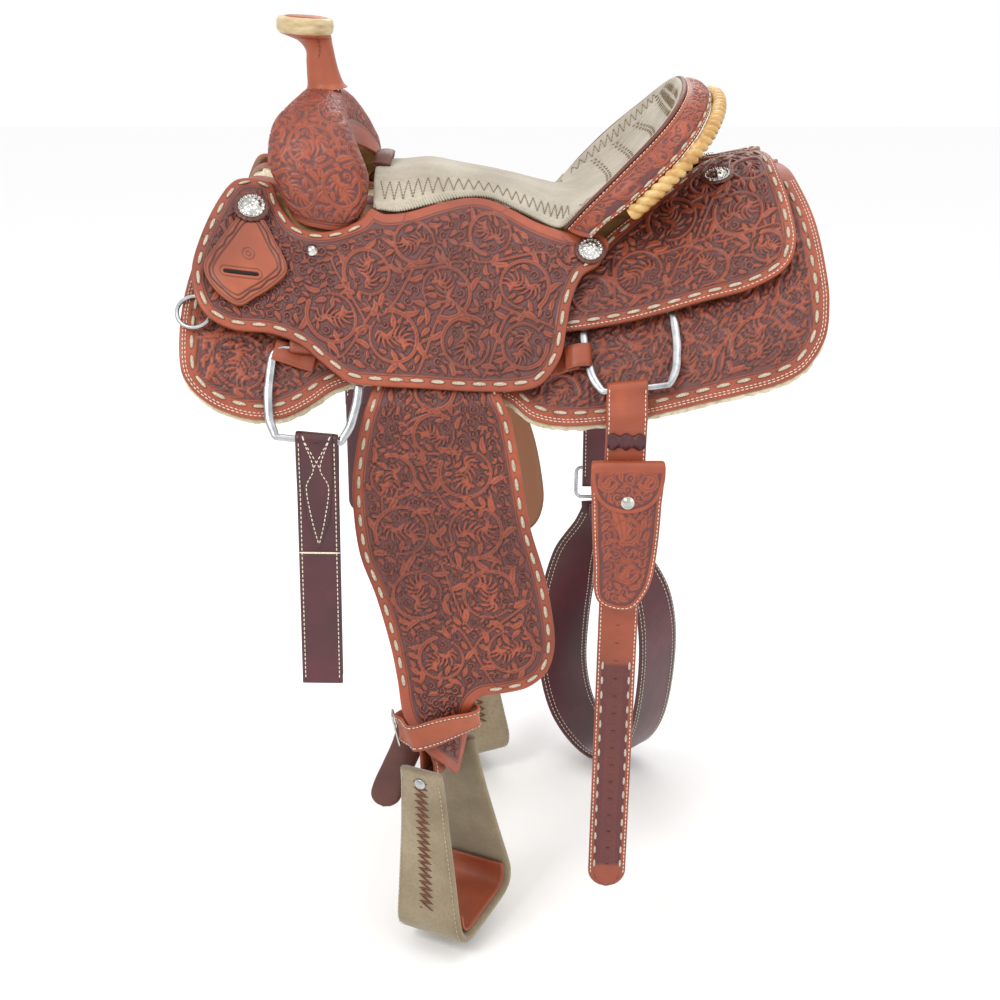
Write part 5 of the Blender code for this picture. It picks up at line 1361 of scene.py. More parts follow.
# twisted rawhide rope under the roll
f2 = np.linspace(0.072, 0.928, 900)
C = at(inner, f2)
D_ = at(outer, f2)
pts = D_ + unit(D_ - C) * 0.0095
S = arclen(pts)
t = unit(np.gradient(pts, axis=0))
e1 = unit(D_ - C)
e1 = unit(e1 - t * np.sum(e1 * t, 1, keepdims=True))
e2 = np.cross(t, e1)
segs = 30
qa = np.arange(segs) * 2 * math.pi / segs
ph = qa[None, :] * 1.0 - S[:, None] * 2 * math.pi / 0.0215
rad = 0.0052 + 0.0034 * np.abs(np.sin(ph)) ** 0.7
V = pts[:, None] + e1[:, None] * (rad * np.cos(qa))[..., None] + e2[:, None] * (rad * np.sin(qa))[..., None]
F = []
for i in range(len(pts) - 1):
    for j in range(segs):
        k = (j + 1) % segs
        F.append((i * segs + j, i * segs + k, (i + 1) * segs + k, (i + 1) * segs + j))
F += [tuple(range(segs))[::-1], tuple((len(pts) - 1) * segs + j for j in range(segs))]
make("cantle_rope", V.reshape(-1, 3), F, RAWHIDE, "saddle", "rawhide", None, "cantle_binding")
print("seat done", flush=True)

# ---------------------------------------------------------------- fork cover
FORK_OUT = [(0.1500, 0.0560), (0.1505, 0.078), (0.1480, 0.100), (0.1405, 0.128), (0.1250, 0.155), (0.0990, 0.1755),
            (0.064, 0.1870), (0.030, 0.1922), (0.0, 0.1935)]
FORK_IN = [(0.1000, 0.0795), (0.096, 0.090), (0.088, 0.100), (0.078, 0.107), (0.064, 0.1145), (0.047, 0.121),
           (0.031, 0.1255), (0.015, 0.128), (0.0, 0.129)]
FORK_X = [(-0.2330, -0.1590), (-0.2420, -0.1490), (-0.2480, -0.1475), (-0.2565, -0.1495), (-0.2575, -0.1580),
          (-0.2550, -0.1670), (-0.2440, -0.1730), (-0.2370, -0.1760), (-0.2350, -0.1770)]
RING = [(-1.0, 0.0), (-1.0, 0.45), (-0.96, 0.70), (-0.80, 0.88), (-0.45, 0.98), (0.0, 1.0), (0.45, 0.98), (0.80, 0.88), (0.96, 0.70),
        (1.0, 0.45), (1.0, 0.0)]
st = []
seq = [(i, NEAR) for i in range(9)] + [(i, OFF) for i in range(7, -1, -1)]
for i, sd_ in seq:
    st.append([sd_ * FORK_OUT[i][0], FORK_OUT[i][1], sd_ * FORK_IN[i][0], FORK_IN[i][1], FORK_X[i][0], FORK_X[i][1], max(0.0, 1 - i / 3)])
st = np.array(st)
NS, NR = 288, 144
ks = np.linspace(0, 160, NS + 1)
fine = spline(list(st), steps=10)
stf = np.stack([np.interp(ks, np.arange(161), fine[:, c]) for c in range(7)], -1)
rf = spline(RING, steps=10)
RL = arclen(rf)
rs = np.stack([np.interp(np.linspace(0, RL[-1], NR + 1), RL, rf[:, c]) for c in range(2)], -1)
o = np.stack([np.zeros(NS + 1), stf[:, 0], stf[:, 1]], -1)
ni = np.stack([np.zeros(NS + 1), stf[:, 2], stf[:, 3]], -1)
rd = unit(o - ni)
dd = np.linalg.norm(o - ni, axis=1)
xm, hw = (stf[:, 4] + stf[:, 5]) / 2, (stf[:, 5] - stf[:, 4]) / 2
X = xm[:, None] + hw[:, None] * rs[None, :, 0]
lift = stf[:, 6][:, None] * (ridge(X) - ridge(-0.200))
G = ni[:, None] + rd[:, None] * (dd[:, None] * rs[None, :, 1])[..., None]
G = G + np.stack([X, 0 * X, lift], -1)
n = grid_normals(G)
cen = (G[:, NR // 2] + ni) / 2
mid = np.stack([xm, cen[:, 1], cen[:, 2]], -1)
n = n * np.where(np.sum(n * (G - mid[:, None]), -1, keepdims=True) < 0, -1, 1)
alen = np.r_[0, np.cumsum(np.linalg.norm(np.diff(G[:, NR // 2], axis=0), axis=1))] * 1000
blen = 175.0
q = np.stack(np.broadcast_arrays(alen[:, None], np.linspace(0, blen, NR + 1)[None]), -1) / 1000
AL = alen[-1]
FW = Field([(0, 0), (AL * 0.25, 0), (AL * 0.5, 0), (AL * 0.75, 0), (AL, 0), (AL, blen / 2), (AL, blen), (AL * 0.75, blen), (AL * 0.5, blen),
            (AL * 0.25, blen), (0, blen), (0, blen / 2)])
for sgn in (0, 1):
    for i, (ca, cb, R) in enumerate([(40, 60, 27), (46, 112, 24), (92, 88, 30), (84, 38, 18), (88, 140, 18), (138, 66, 22), (140, 116, 20), (170, 90, 14)]):
        wreath(FW, AL - ca if sgn else ca, cb, R, (1 if i % 2 else -1) * (-1 if sgn else 1), 0.8 * i + (math.pi if sgn else 0))
fill_gaps(FW, 4.0, limit=2.4)
dist = FW.sample(FW.edge, q)
b_ = q[..., 1] * 1000
dist = np.minimum(dist, np.minimum(np.abs(b_ - 0), np.abs(blen - b_)))
sd, cut = FW.sample(FW.sd, q), FW.sample(FW.cut, q)
panel = np.minimum(np.minimum(q[..., 0], AL / 1000 - q[..., 0]) * 1000 - 2, np.minimum(b_ - 20, blen - 14 - b_))
mask = smooth(6.5, 7.1, panel)
fg = smooth(-0.45, 0.55, sd)
dk = np.maximum(0.75 * cut * mask, 0.85 * np.exp(-((panel - 6.5) / 0.8) ** 2))
dk = np.maximum(dk, 0.8 * np.exp(-((panel - 3.6) / 0.7) ** 2))
bgv = mask * (1 - fg)
P = G + n * (0.0007 * fg * mask - 0.0004 * bgv - 0.0004 * dk)[..., None]
slab("swell_cover_carved", P, n, 0.0040, 8, TOOLED, "saddle", "skirting_leather", {"bg": bgv, "dk": dk}, "swell_cover")

# ---------------------------------------------------------------- horn
CT = math.radians(4.0)
EX, EY, EZ = np.array([math.cos(CT), 0, -math.sin(CT)]), np.array([0.0, 1.0, 0.0]), np.array([math.sin(CT), 0, math.cos(CT)])
CAP = np.array([-0.2230, 0, 0.2615])
HL = math.radians(-6.0)


def swept(name, rings, mat, slot, node, attr=None, segs=56):
    """Closed body of round sections: centre, radius, tilt."""
    data = np.array([[c[0], c[2], r, t] for c, r, t in rings])
    fine = spline(list(data), steps=10)
    q = np.arange(segs) * 2 * math.pi / segs
    V = []
    for cx, cz, r, t in fine:
        ex = np.array([math.cos(t), 0, -math.sin(t)])
        V.append(np.array([cx, 0, cz]) + r * (np.cos(q)[:, None] * ex + np.sin(q)[:, None] * EY))
    V = np.array(V)
    m = len(V)
    F = [((i * segs + j), (i * segs + (j + 1) % segs), ((i + 1) * segs + (j + 1) % segs), ((i + 1) * segs + j)) for i in range(m - 1) for j in range(segs)]
    F += [tuple(range(segs))[::-1], tuple((m - 1) * segs + j for j in range(segs))]
    at_ = {}
    if attr:
        at_ = {"dk": attr(fine, q).reshape(-1)}
    return make(name, V.reshape(-1, 3), F, mat, "saddle", slot, at_, node)


def cap_point(dz, dx=0.0):
    return CAP + EX * dx + EZ * dz


def neck_lines(fine, q):
    m = len(fine)
    u = np.linspace(0, 1, m)[:, None]
    seam = np.exp(-((np.angle(np.exp(1j * (q[None] + math.pi / 2 - 1.6 * (u - 0.5)))) * 0.018) / 0.0008) ** 2) * (u > 0.45)
    ring = np.exp(-((u - 0.80) / 0.02) ** 2)
    return np.maximum(0.8 * seam, 0.5 * ring)


swept("horn_neck_wrap", [((-0.2012, 0, 0.1905), 0.0250, HL), ((-0.2021, 0, 0.1968), 0.0208, HL), ((-0.2046, 0, 0.211), 0.0182, HL),
                         ((-0.2062, 0, 0.224), 0.0168, HL), ((-0.2072, 0, 0.235), 0.0160, -0.02), (tuple(cap_point(-0.0160, 0.0115)), 0.0200, CT),
                         (tuple(cap_point(-0.0092, 0.0010)), 0.0292, CT), (tuple(cap_point(-0.0070)), 0.0290, CT)],
      PLAIN, "skirting_leather", "horn_wrap", neck_lines)
lathe("horn_cap_disc", [(0.0001, 0.0050), (0.0238, 0.0050), (0.0242, 0.0080), (0.0238, 0.0092), (0.0215, 0.0108), (0.0120, 0.0110), (0.0001, 0.0111)],
      CAP, EX, EY, EZ, PLAIN, "saddle", "skirting_leather", "horn_cap")
pr = spline([(0.0262, 0.0098), (0.0288, 0.0096), (0.0312, 0.0078), (0.0325, 0.0040), (0.0325, -0.0020), (0.0314, -0.0062), (0.0290, -0.0085),
             (0.0262, -0.0088)], steps=4)
q = np.arange(96) * 2 * math.pi / 96
P = []
for r_, z_ in pr:
    wob = 1 + 0.006 * np.sin(q * 9 + z_ * 900)
    P.append(CAP + (r_ * wob)[:, None] * (np.cos(q)[:, None] * EX + np.sin(q)[:, None] * EY) + EZ * z_)
P = np.array(P)
m = len(P)
F = [(i * 96 + j, i * 96 + (j + 1) % 96, ((i + 1) % m) * 96 + (j + 1) % 96, ((i + 1) % m) * 96 + j) for i in range(m) for j in range(96)]
make("horn_rawhide_band", P.reshape(-1, 3), F, BAND, "saddle", "rawhide", None, "horn_binding")

# ---------------------------------------------------------------- conchos on their rosettes
def concho(name, x, u, surf, r, lift, side, node, oval=1.0):
    f = surface(lambda a, b, s: back(a, b, surf(a, b), s), side)
    p, n_ = f(np.array([x, u]), 0.0)
    e = 0.002
    ex = unit(f(np.array([x + e, u]))[0] - f(np.array([x - e, u]))[0])
    ey = np.cross(n_, ex)

    def petals(R, Z, q):
        w = np.cos(q * 16)
        k = smooth(0.70, 0.86, R / r) * (1 - smooth(0.97, 1.0, R / r))
        return R * (1 + 0.025 * w * (R / r > 0.8)), Z + 0.0006 * w * k + 0.0004 * np.cos(q * 8) * smooth(0.2, 0.5, R / r) * (1 - smooth(0.6, 0.7, R / r))
    ru, rv = ex * oval, ey
    prof = [(0.0001, 0.0), (r, 0.0), (r * 1.01, 0.0008), (r * 0.98, 0.0017), (r * 0.93, 0.0024), (r * 0.86, 0.0024), (r * 0.80, 0.0016),
            (r * 0.74, 0.0022), (r * 0.66, 0.0033), (r * 0.52, 0.0044), (r * 0.36, 0.0052), (r * 0.28, 0.0049), (r * 0.20, 0.0057),
            (r * 0.10, 0.0062), (0.0001, 0.0063)]
    lathe(name, prof, p + n_ * (lift + 0.0020), ru, rv, n_, SILVER, "saddle", "silver_fittings", node, segs=96, shape=petals)
    a = np.arange(18) * 2 * math.pi / 18
    beads = p + n_ * (lift + 0.0040) + r * 0.90 * (np.cos(a)[:, None] * ru + np.sin(a)[:, None] * rv)
    tangent = (-np.sin(a)[:, None] * ru + np.cos(a)[:, None] * rv) * 0.0009
    capsules(name + "_beads", beads - tangent, beads + tangent, np.tile(n_, (18, 1)), 0.0022, 0.0022, SILVER, "saddle", "silver_fittings")

    def scallops(R, Z, q):
        return R * (1 + 0.055 * np.abs(np.sin(q * 8)) * (R > r * 1.1)), Z
    lathe(name + "_rosette", [(0.0001, 0.0), (r * 1.22, 0.0), (r * 1.27, 0.0010), (r * 1.22, 0.0021), (r * 1.0, 0.0026), (0.0001, 0.0026)],
          p + n_ * (lift - 0.0002), ru, rv, n_, DARK, "saddle", "silver_fittings", None, segs=128, shape=scallops)


for side in (NEAR, OFF):
    concho(tag("concho_front_silver", side), -0.273, 0.126, seat_n, 0.0150, 0.0088 if side == NEAR else 0.0004, side, tag("concho_front", side))
    concho(tag("concho_mid_silver", side), 0.0990, 0.1415, seat_n, 0.0135, 0.0004, side, tag("concho_mid", side))
    concho(tag("concho_rear_silver", side), 0.2470, 0.0580, rear_n, 0.0130, 0.0004, side, tag("concho_rear", side), 1.15)
    f = surface(seat_jockey_base, side)
    p, n_ = f(np.array([-0.205, 0.160]), 0.0)
    lathe(tag("jockey_screw", side), [(0.0001, 0.0002), (0.0070, 0.0002), (0.0072, 0.0012), (0.0050, 0.0018), (0.0046, 0.0034), (0.0028, 0.0046), (0.0001, 0.0048)],
          p, np.array([1.0, 0, 0]), np.cross(n_, [1.0, 0, 0]), n_, SILVER, "saddle", "silver_fittings", None, segs=32)

# ---------------------------------------------------------------- latigo keeper
FKp = Field(KEEPER)
q = patch(KEEPER, (0, 2, 7, 10), 96, 128)
f = surface(keeper_base, NEAR)
D = FKp.sample(FKp.edge, q)
per = np.arctan2(q[..., 1] - 0.186, q[..., 0] + 0.274)
zig = np.abs(np.mod(per * 9, 2 * math.pi) / math.pi - 1) * 2.2
dk = 1.0 * np.exp(-((D - 4.6 - zig) / 1.15) ** 2)
dk = np.maximum(dk, 0.9 * np.exp(-((D - 9.6) / 0.9) ** 2))
dk = np.maximum(dk, 0.7 * np.exp(-((D - 1.9) / 0.7) ** 2))
sx, su = q[..., 0] * 1000 + 278.5, q[..., 1] * 1000 - 203.0
ca, sa = math.cos(math.radians(7)), math.sin(math.radians(7))
lx, ly = sx * ca - su * sa, sx * sa + su * ca
slot_d = np.hypot(np.maximum(0, np.abs(lx) - 17.0), ly)
dk = np.maximum(dk, 0.8 * np.exp(-((slot_d - 5.6) / 0.6) ** 2))
scr = np.hypot(q[..., 0] * 1000 + 272, q[..., 1] * 1000 - 180)
dk = np.maximum(dk, 0.7 * np.exp(-((scr - 6.5) / 0.6) ** 2) * (scr < 9))
dk = np.maximum(dk, 0.7 * np.exp(-((scr - 2.6) / 0.6) ** 2))
h = 0.0006 - 0.0010 * dk - 0.0012 * (1 - np.clip(D / 2.4, 0, 1)) ** 2 - 0.0028 * (1 - smooth(1.4, 2.4, slot_d))
P, n = f(q, h)
# painted shade: the inside of the sunken slot is painted full dark, added to the tooled lines in dk
dk = np.maximum(dk, 1.0 - smooth(1.6, 2.6, slot_d))
slab("latigo_keeper_leaf", P, n, 0.0058, 8, PLAIN, "saddle", "skirting_leather", {"bg": 0 * D, "dk": dk}, "latigo_keeper")
ex = np.array([ca, 0, 0])
sp = [[-0.2785 + l * ca, 0.2030 - l * sa * 1.0] for l in (-0.0165, 0.0165)]
pa, na = f(np.array(sp[:1]), np.array([0.00005]))
pb, _ = f(np.array(sp[1:]), np.array([0.00005]))
# near-black for painted shade inside the keeper's slot and inside punched and lace holes
BLACK = Mat("slot_shadow", rough=0.9)
BLACK.colour([0.012, 0.006, 0.005, 1.0])
capsules("latigo_keeper_slot", pa, pb, na, 0.0042, 0.0006, BLACK.m, "saddle", "skirting_leather")
print("fork, horn, conchos done", flush=True)

# ---------------------------------------------------------------- dees and rings
FRONT_DEE = dict(x=(-0.250, -0.144), u=0.262, length=0.100, n=0.0275, out=0.0030, tilt=0.5)
REAR_DEE = dict(x=(0.084, 0.194), u=0.200, length=0.092, n=0.0246, out=0.0100, tilt=0.9)


def b3(x, u, n, side):
    return back(np.array(float(x)), np.array(float(u)), n, side)


def dee_frame(d, side):
    xm = (d["x"][0] + d["x"][1]) / 2
    p = b3(xm, d["u"], d["n"], side)
    axis = b3(xm + 0.01, d["u"], d["n"], side) - b3(xm - 0.01, d["u"], d["n"], side)
    axis[2] *= d["tilt"]
    axis = unit(axis)
    down = b3(xm, d["u"] + d["length"], d["n"] + d["out"], side) - p
    return p, axis, unit(down - axis * down.dot(axis))


def dee(name, d, side, body, node):
    p, axis, down = dee_frame(d, side)
    nrm = unit(np.cross(axis, down))
    h, L, w, t = (d["x"][1] - d["x"][0]) / 2 - 0.0050, d["length"], 0.0050, 0.0026
    path = [((h - 0.012) * (k / 2 - 1), 0.0, 0.0024, 0.0024) for k in range(5)]
    path += [(h - 0.002, 0.006, 0.0040, t), (h, 0.020, w, t), (h, L - 0.050, w, t), (h - 0.002, L - 0.033, w, t),
             (h - 0.005, L - 0.018, w, t), (h - 0.011, L - 0.005, 0.0045, t), (0.0340, L, 0.0038, t)]
    path += [(-a, b, c, e) for a, b, c, e in reversed(path[5:])]
    f = spline(path, closed=True, steps=8)
    pts = p + axis * f[:, :1] + down * f[:, 1:2]
    tube(name, pts, f[:, 2], f[:, 3], nrm, STEEL, body, "steel", node, segs=16, closed=True)


def bar_bottom(d, side, x):
    p, axis, down = dee_frame(d, side)
    q = p + down * d["length"]
    return q + axis * ((x - q[0]) / axis[0])


def rig(name, d, side, half, up, node):
    xm = (d["x"][0] + d["x"][1]) / 2
    axis = dee_frame(d, side)[1]
    pts = []
    for e in [(-1, -up), (-1, -up / 2), (-1, 0.0)] + list(range(1, 6)) + [(1, 0.0), (1, -up * 0.5)]:
        r = 0.0031 + 0.00105
        if isinstance(e, tuple):
            u, n_ = d["u"] + e[1], d["n"] + e[0] * r
        else:
            a = math.pi * e / 6
            u, n_ = d["u"] + r * math.sin(a), d["n"] - r * math.cos(a)
        pts.append(b3(xm, u, n_, side))
    Bd = Band(pts, axis, 2 * half, 0.0021, ((0, side, 0.6), len(pts) * 2), step=0.0012)
    return Bd.mesh(name, STRAPPY, "saddle", "skirting_leather", node, cols=16, dk=edge_lines())


for side in (NEAR, OFF):
    dee(tag("front_dee_ring", side), FRONT_DEE, side, tag("front_dee", side), tag("front_dee", side))
    dee(tag("rear_dee_ring", side), REAR_DEE, side, tag("rear_dee", side), tag("rear_dee", side))
    rig(tag("front_rig_leather", side), FRONT_DEE, side, 0.030, 0.030, tag("front_rig", side))
    rig(tag("rear_rig_leather", side), REAR_DEE, side, 0.034, 0.030, tag("rear_rig", side))
    # plain straps that come from under the jockeys to the rings' front legs
    for nm, xs, u0, u1, wd_, dd_ in (("rear", (0.050, 0.0845), 0.2545, 0.2480, 0.0265, REAR_DEE), ("front", (-0.2440, -0.200), 0.2700, 0.2730, 0.0240, FRONT_DEE)):
        pts = []
        for k in range(13):
            t_ = k / 12
            x_ = xs[0] + (xs[1] - xs[0]) * t_
            pts.append(b3(x_, u0 + (u1 - u0) * t_, 0.0182 + 0.0021 + 0.0052 * float(smooth(0.3, 0.8, t_ if nm == "rear" else 1 - t_)), side))
        w_ = b3(0.07, u0 + 0.01, 0.02, side) - b3(0.07, u0 - 0.01, 0.02, side)
        Bd = Band(pts, unit(w_), wd_, 0.0034, ((0, side, 0.6), 5), step=0.0016)
        Bd.mesh(tag(nm + "_rig_tab", side), STRAPPY, "saddle", "skirting_leather", None, cols=12, dk=edge_lines(0.0022))
    # turn of that strap round the rear ring's front leg
    turn_ = [(0.0710, 0.0290), (0.0750, 0.0318), (0.0795, 0.0350), (0.0850, 0.0362), (0.0905, 0.0360), (0.0955, 0.0345), (0.0982, 0.0305)]
    pts = [b3(x_, 0.2500 - 0.0025 * k / 6, n_, side) for k, (x_, n_) in enumerate(turn_)]
    w_ = b3(0.09, 0.2600, 0.03, side) - b3(0.09, 0.2400, 0.03, side)
    Bd = Band(pts, unit(w_), 0.0265, 0.0030, ((0, side, 0.6), 5), step=0.0012)
    Bd.mesh(tag("rear_ring_turn", side), STRAPPY, tag("rear_dee", side), "skirting_leather", None, cols=12, dk=edge_lines(0.0022))
    p = b3(-0.3250, 0.232, 0.0240, side)
    down = unit(b3(-0.3345, 0.267, 0.0240, side) - p)
    axis = np.array([1.0, 0, 0])
    axis = unit(axis - down * axis.dot(down))
    nrm = unit(np.cross(axis, down))
    a = np.arange(72) * 2 * math.pi / 72
    c = p + down * 0.0185
    pts = c + (-down * np.cos(a)[:, None] + axis * np.sin(a)[:, None]) * 0.0185
    tube(tag("collar_ring", side), pts, 0.0022, 0.0022, nrm, STEEL, tag("collar_dee", side), "steel", tag("collar_dee", side), segs=14, closed=True)


# ---------------------------------------------------------------- straps hanging on the dees
def strap_loop(name, hang, width, front_len, back_len, mat, body, node, slot, gap=0.0052, shift=0.0, side=NEAR, round_end=False,
               spread=0.0, axis=(1, 0, 0), fork=0.0, thick=0.0035, style=None):
    o = side
    g, close = gap + thick / 2, 0.0007 + thick / 2
    lateral = lambda d: close + (g - close) * (1 - float(smooth(0.012, 0.065, d))) + fork * float(smooth(0.205, 0.240, d))
    out = lambda d: spread * float(smooth(0.004, 0.034, d))
    axis = np.asarray(axis, float)
    lay = lambda d: axis + (np.array([1.0, 0, 0]) - axis) * float(smooth(0.0, 0.080, d))
    path, across = [], []
    for d in list(np.linspace(back_len, 0.10, 8)) + [0.080, 0.065, 0.050, 0.038, 0.028, 0.020, 0.012, 0.005]:
        path.append(hang + np.array([-shift * d, o * (out(d) - lateral(d)), -d]))
        across.append(lay(d))
    turn0 = len(path)
    for k in range(1, 8):
        a = math.pi * k / 8
        path.append(hang + np.array([0, o * (out(0.0) - g * math.cos(a)), g * math.sin(a)]))
        across.append(lay(0.0))
    for d in [0.0, 0.006, 0.012, 0.020, 0.028, 0.038, 0.050, 0.065, 0.080] + list(np.linspace(0.10, front_len, 14)):
        path.append(hang + np.array([-shift * d, o * (out(d) + lateral(d)), -d]))
        across.append(lay(d))
    Bd = Band(path, across, width, thick, ((0, side, 0), None), step=0.0020)
    # face outward on the front ply
    k = int(len(Bd.S) * 0.85)
    if Bd.N[k][1] * side < 0:
        Bd.N = -Bd.N
    if round_end:
        e = Bd.L - Bd.S
        half = width / 2
        Bd.width = np.where(e < half, 2 * np.sqrt(np.maximum(1e-8, half**2 - (half - e) ** 2) + (0.1 * half) ** 2) / math.sqrt(1.01), Bd.width)
        Bd.width = np.minimum(Bd.width, width)
    top = float(Bd.S[int(np.argmax(Bd.P[:, 2]))])
    ob = Bd.mesh(name, mat, body, slot, node, cols=22, dk=style(top) if style else edge_lines())
    Bd.top_s = top
    return Bd


AX = lambda d, s: dee_frame(d, s)[1]
lat = bar_bottom(FRONT_DEE, NEAR, -0.1955)
LT = strap_loop("latigo_strap", lat, 0.0450, 0.284, 0.276, BURGUNDY, "latigo", "latigo", "latigo_leather", shift=0.012, side=NEAR,
                axis=AX(FRONT_DEE, NEAR))
lato = bar_bottom(FRONT_DEE, OFF, -0.1955)
LO = strap_loop("off_billet_strap", lato, 0.0440, 0.285, 0.120, BURGUNDY, "off_billet", "off_billet", "latigo_leather", side=OFF,
                round_end=True, axis=AX(FRONT_DEE, OFF))


def stamped(top):
    """Plain above, then overlapping half-moon stamps between the edge rows."""
    def f(S, l, half):
        s = (S - top) * 1000
        d = (half - np.abs(l)) * 1000
        on = smooth(330, 336, s) * (1 - smooth(590, 596, s)) * smooth(6.2, 6.8, d)
        ph = np.mod(s, 11.0) - 5.5
        lm = np.asarray(l) * 1000
        r1 = np.hypot(ph + 2.5, lm * 0.75)
        stamp = np.exp(-((r1 - 5.0) / 0.9) ** 2) + np.exp(-((np.hypot(ph - 3.0, lm * 0.75) - 5.0) / 0.9) ** 2)
        dk = 0.75 * np.clip(stamp, 0, 1) * on
        dk = np.maximum(dk, 0.6 * np.exp(-((d - 6.2) / 0.6) ** 2) * smooth(325, 330, s))
        dk = np.maximum(dk, 0.55 * np.exp(-((d - 1.6) / 0.7) ** 2))
        return dk, 0.75 * on * (1 - np.clip(stamp, 0, 1)) + 0.30 * smooth(318, 334, s), -0.0004 * dk
    return f


rb = bar_bottom(REAR_DEE, NEAR, 0.1370)
RN = strap_loop("rear_billet_strap_near", rb, 0.0440, 0.608, 0.160, STRAPPY, "rear_billet_near", "rear_billet_near", "skirting_leather",
                shift=0.018, side=NEAR, round_end=True, spread=0.0130, axis=AX(REAR_DEE, NEAR), style=stamped)
rbo = bar_bottom(REAR_DEE, OFF, 0.1370)
RO = strap_loop("rear_billet_strap_off", rbo, 0.0400, 0.286, 0.280, BURGUNDY, "rear_billet_off", "rear_billet_off", "latigo_leather",
                side=OFF, spread=0.0130, axis=AX(REAR_DEE, OFF), fork=0.0029)
for Bd, nm, body, slot in ((LT, "latigo", "latigo", "latigo_leather"), (LO, "off_billet", "off_billet", "latigo_leather"),
                           (RO, "rear_billet_off", "rear_billet_off", "latigo_leather")):
    Bd.sew(nm + "_stitches", 0.0036, 0.0038, 0.0052, 0.0012, 0.0009, WHITE, body, slot, s0=Bd.top_s + 0.012, **THIN)
    Bd.sew(nm + "_stitches_back", 0.0036, 0.0038, 0.0052, 0.0012, 0.0009, WHITE, body, slot, s0=0.012, s1=Bd.top_s - 0.012, **THIN)
# the latigo's pointed overlay, held by crossing stitches
s0 = LT.top_s


def on_strap(Bd, pts, h=0.0001, face=1):
    pts = np.asarray(pts, float)
    return Bd.top(s0_ref[0] + pts[:, 0], pts[:, 1], h, face)


s0_ref = [s0]
line = []
for sg_ in (-1, 1):
    line.append(np.array([[0.006, 0.0150 * sg_], [0.040, 0.0035 * sg_], [0.062, 0.0120 * sg_], [0.100, 0.0070 * sg_], [0.128, 0.0005 * sg_]]))
    line.append(np.array([[0.006, -0.0150 * sg_], [0.040, 0.0035 * sg_]]))
a, b = [], []
for L in line:
    fine = spline(L, steps=8) if len(L) > 2 else L
    total = arclen(fine)[-1]
    k = int(total / 0.0050)
    c = (np.arange(k) + 0.5) / k
    a.append(at(fine, c - 0.0018 / total))
    b.append(at(fine, c + 0.0018 / total))
a, b = np.concatenate(a), np.concatenate(b)
pa, na = on_strap(LT, a, 0.0017)
pb, _ = on_strap(LT, b, 0.0017)
capsules("latigo_cross_stitches", pa, pb, na, 0.0012, 0.0009, WHITE, "latigo", "latigo_leather", **THIN)
gu, gv = np.meshgrid(np.linspace(0.003, 0.134, 89), np.linspace(-1, 1, 41), indexing="ij")
hwid = np.interp(gu, [0.003, 0.050, 0.100, 0.128, 0.134], [0.0175, 0.0170, 0.0125, 0.0035, 0.0012])
p, n = LT.top(s0 + gu, gv * hwid, 0.0)
edge = np.minimum((1 - np.abs(gv)) * hwid, np.minimum(gu - 0.003, 0.134 - gu))
P = p + n * (0.0016 - 0.0009 * (1 - np.clip(edge / 0.002, 0, 1)) ** 2)[..., None]
slab("latigo_overlay", P, n, 0.0014, 8, BURGUNDY, "latigo", "latigo_leather", {"bg": 0 * gu, "dk": 0.4 * np.exp(-(edge / 0.0012) ** 2)}, None)
p, n = LT.top(np.array([s0 + 0.012, s0 + 0.0122]), np.array([0.0, 0.0]), 0.0017)
# near-black disc: painted shade inside the latigo's hole
capsules("latigo_hole", p[:1], p[1:], n[:1], 0.0060, 0.0005, BLACK.m, "latigo", "latigo_leather", segs=14)
s_t = s0 + 0.139
p, n = LT.top(np.full(2, s_t), np.array([-0.0240, 0.0240]), 0.0008)
capsules("latigo_tie", p[:1], p[1:], n[:1], 0.0022, 0.0016, WHITE, "latigo", "latigo_leather")

# stitching, buckstitches and holes of the near rear billet
RN.sew("rear_billet_edge_stitches", 0.0026, 0.0036, 0.0050, 0.0011, 0.0009, WHITE, "rear_billet_near", "skirting_leather",
       s0=RN.top_s + 0.010, s1=RN.L - 0.018, **THIN)
RN.sew("rear_billet_buckstitch", 0.0068, 0.0095, 0.0175, 0.0030, 0.0016, BUCK, "rear_billet_near", "skirting_leather",
       s0=RN.top_s + 0.325, s1=RN.L - 0.022, sharp=True)
hs = RN.top_s + np.arange(0.262, 0.600, 0.0220)
p, n = RN.top(hs, 0 * hs, 0.0001)
q_, _ = RN.top(hs + 0.0002, 0 * hs, 0.0001)
# near-black discs: painted shade inside the billet's punched holes
capsules("rear_billet_holes", p, q_, n, 0.0050, 0.0006, BLACK.m, "rear_billet_near", "skirting_leather", segs=12)
# folded keeper above the flap
ks_ = RN.top_s + 0.068
gu, gv = np.meshgrid(np.linspace(-1, 1, 33), np.linspace(-1, 1, 57), indexing="ij")
scal = 0.0080 + 0.0016 * np.cos(gv * 9)
p, n = RN.top(ks_ + gu * scal, gv * 0.0205, 0.0)
P = p + n * (0.0040 + 0.0030 * np.cos(gu * 1.5) * (0.7 + 0.3 * np.cos(gv * 12)) - 0.0016)[..., None]
slab("rear_billet_keeper", P, n, 0.0024, 8, BURGUNDY, "rear_billet_near", "skirting_leather", {"bg": 0 * gu, "dk": 0 * gu}, None)

# ---------------------------------------------------------------- knife sheath
hp = rb + np.array([0, -0.0107, 0])
y0 = hp[1] - 0.0075
OUTL = [(102, 182), (138, 181), (174, 182), (175, 225), (171, 285), (163, 322), (142, 346), (108, 335), (103, 290), (100, 225)]
SHC = (0, 2, 5, 7)
FP = Field(OUTL)
leaf(FP, np.array([120, 215.0]), 1.2, 60, 12, 0.5)
wreath(FP, 139, 300, 13, 1, 0.4)
wreath(FP, 138, 252, 16, -1, 2.0)
wreath(FP, 134, 212, 14, 1, 1.0)
fill_gaps(FP, 7.0, limit=2.0)


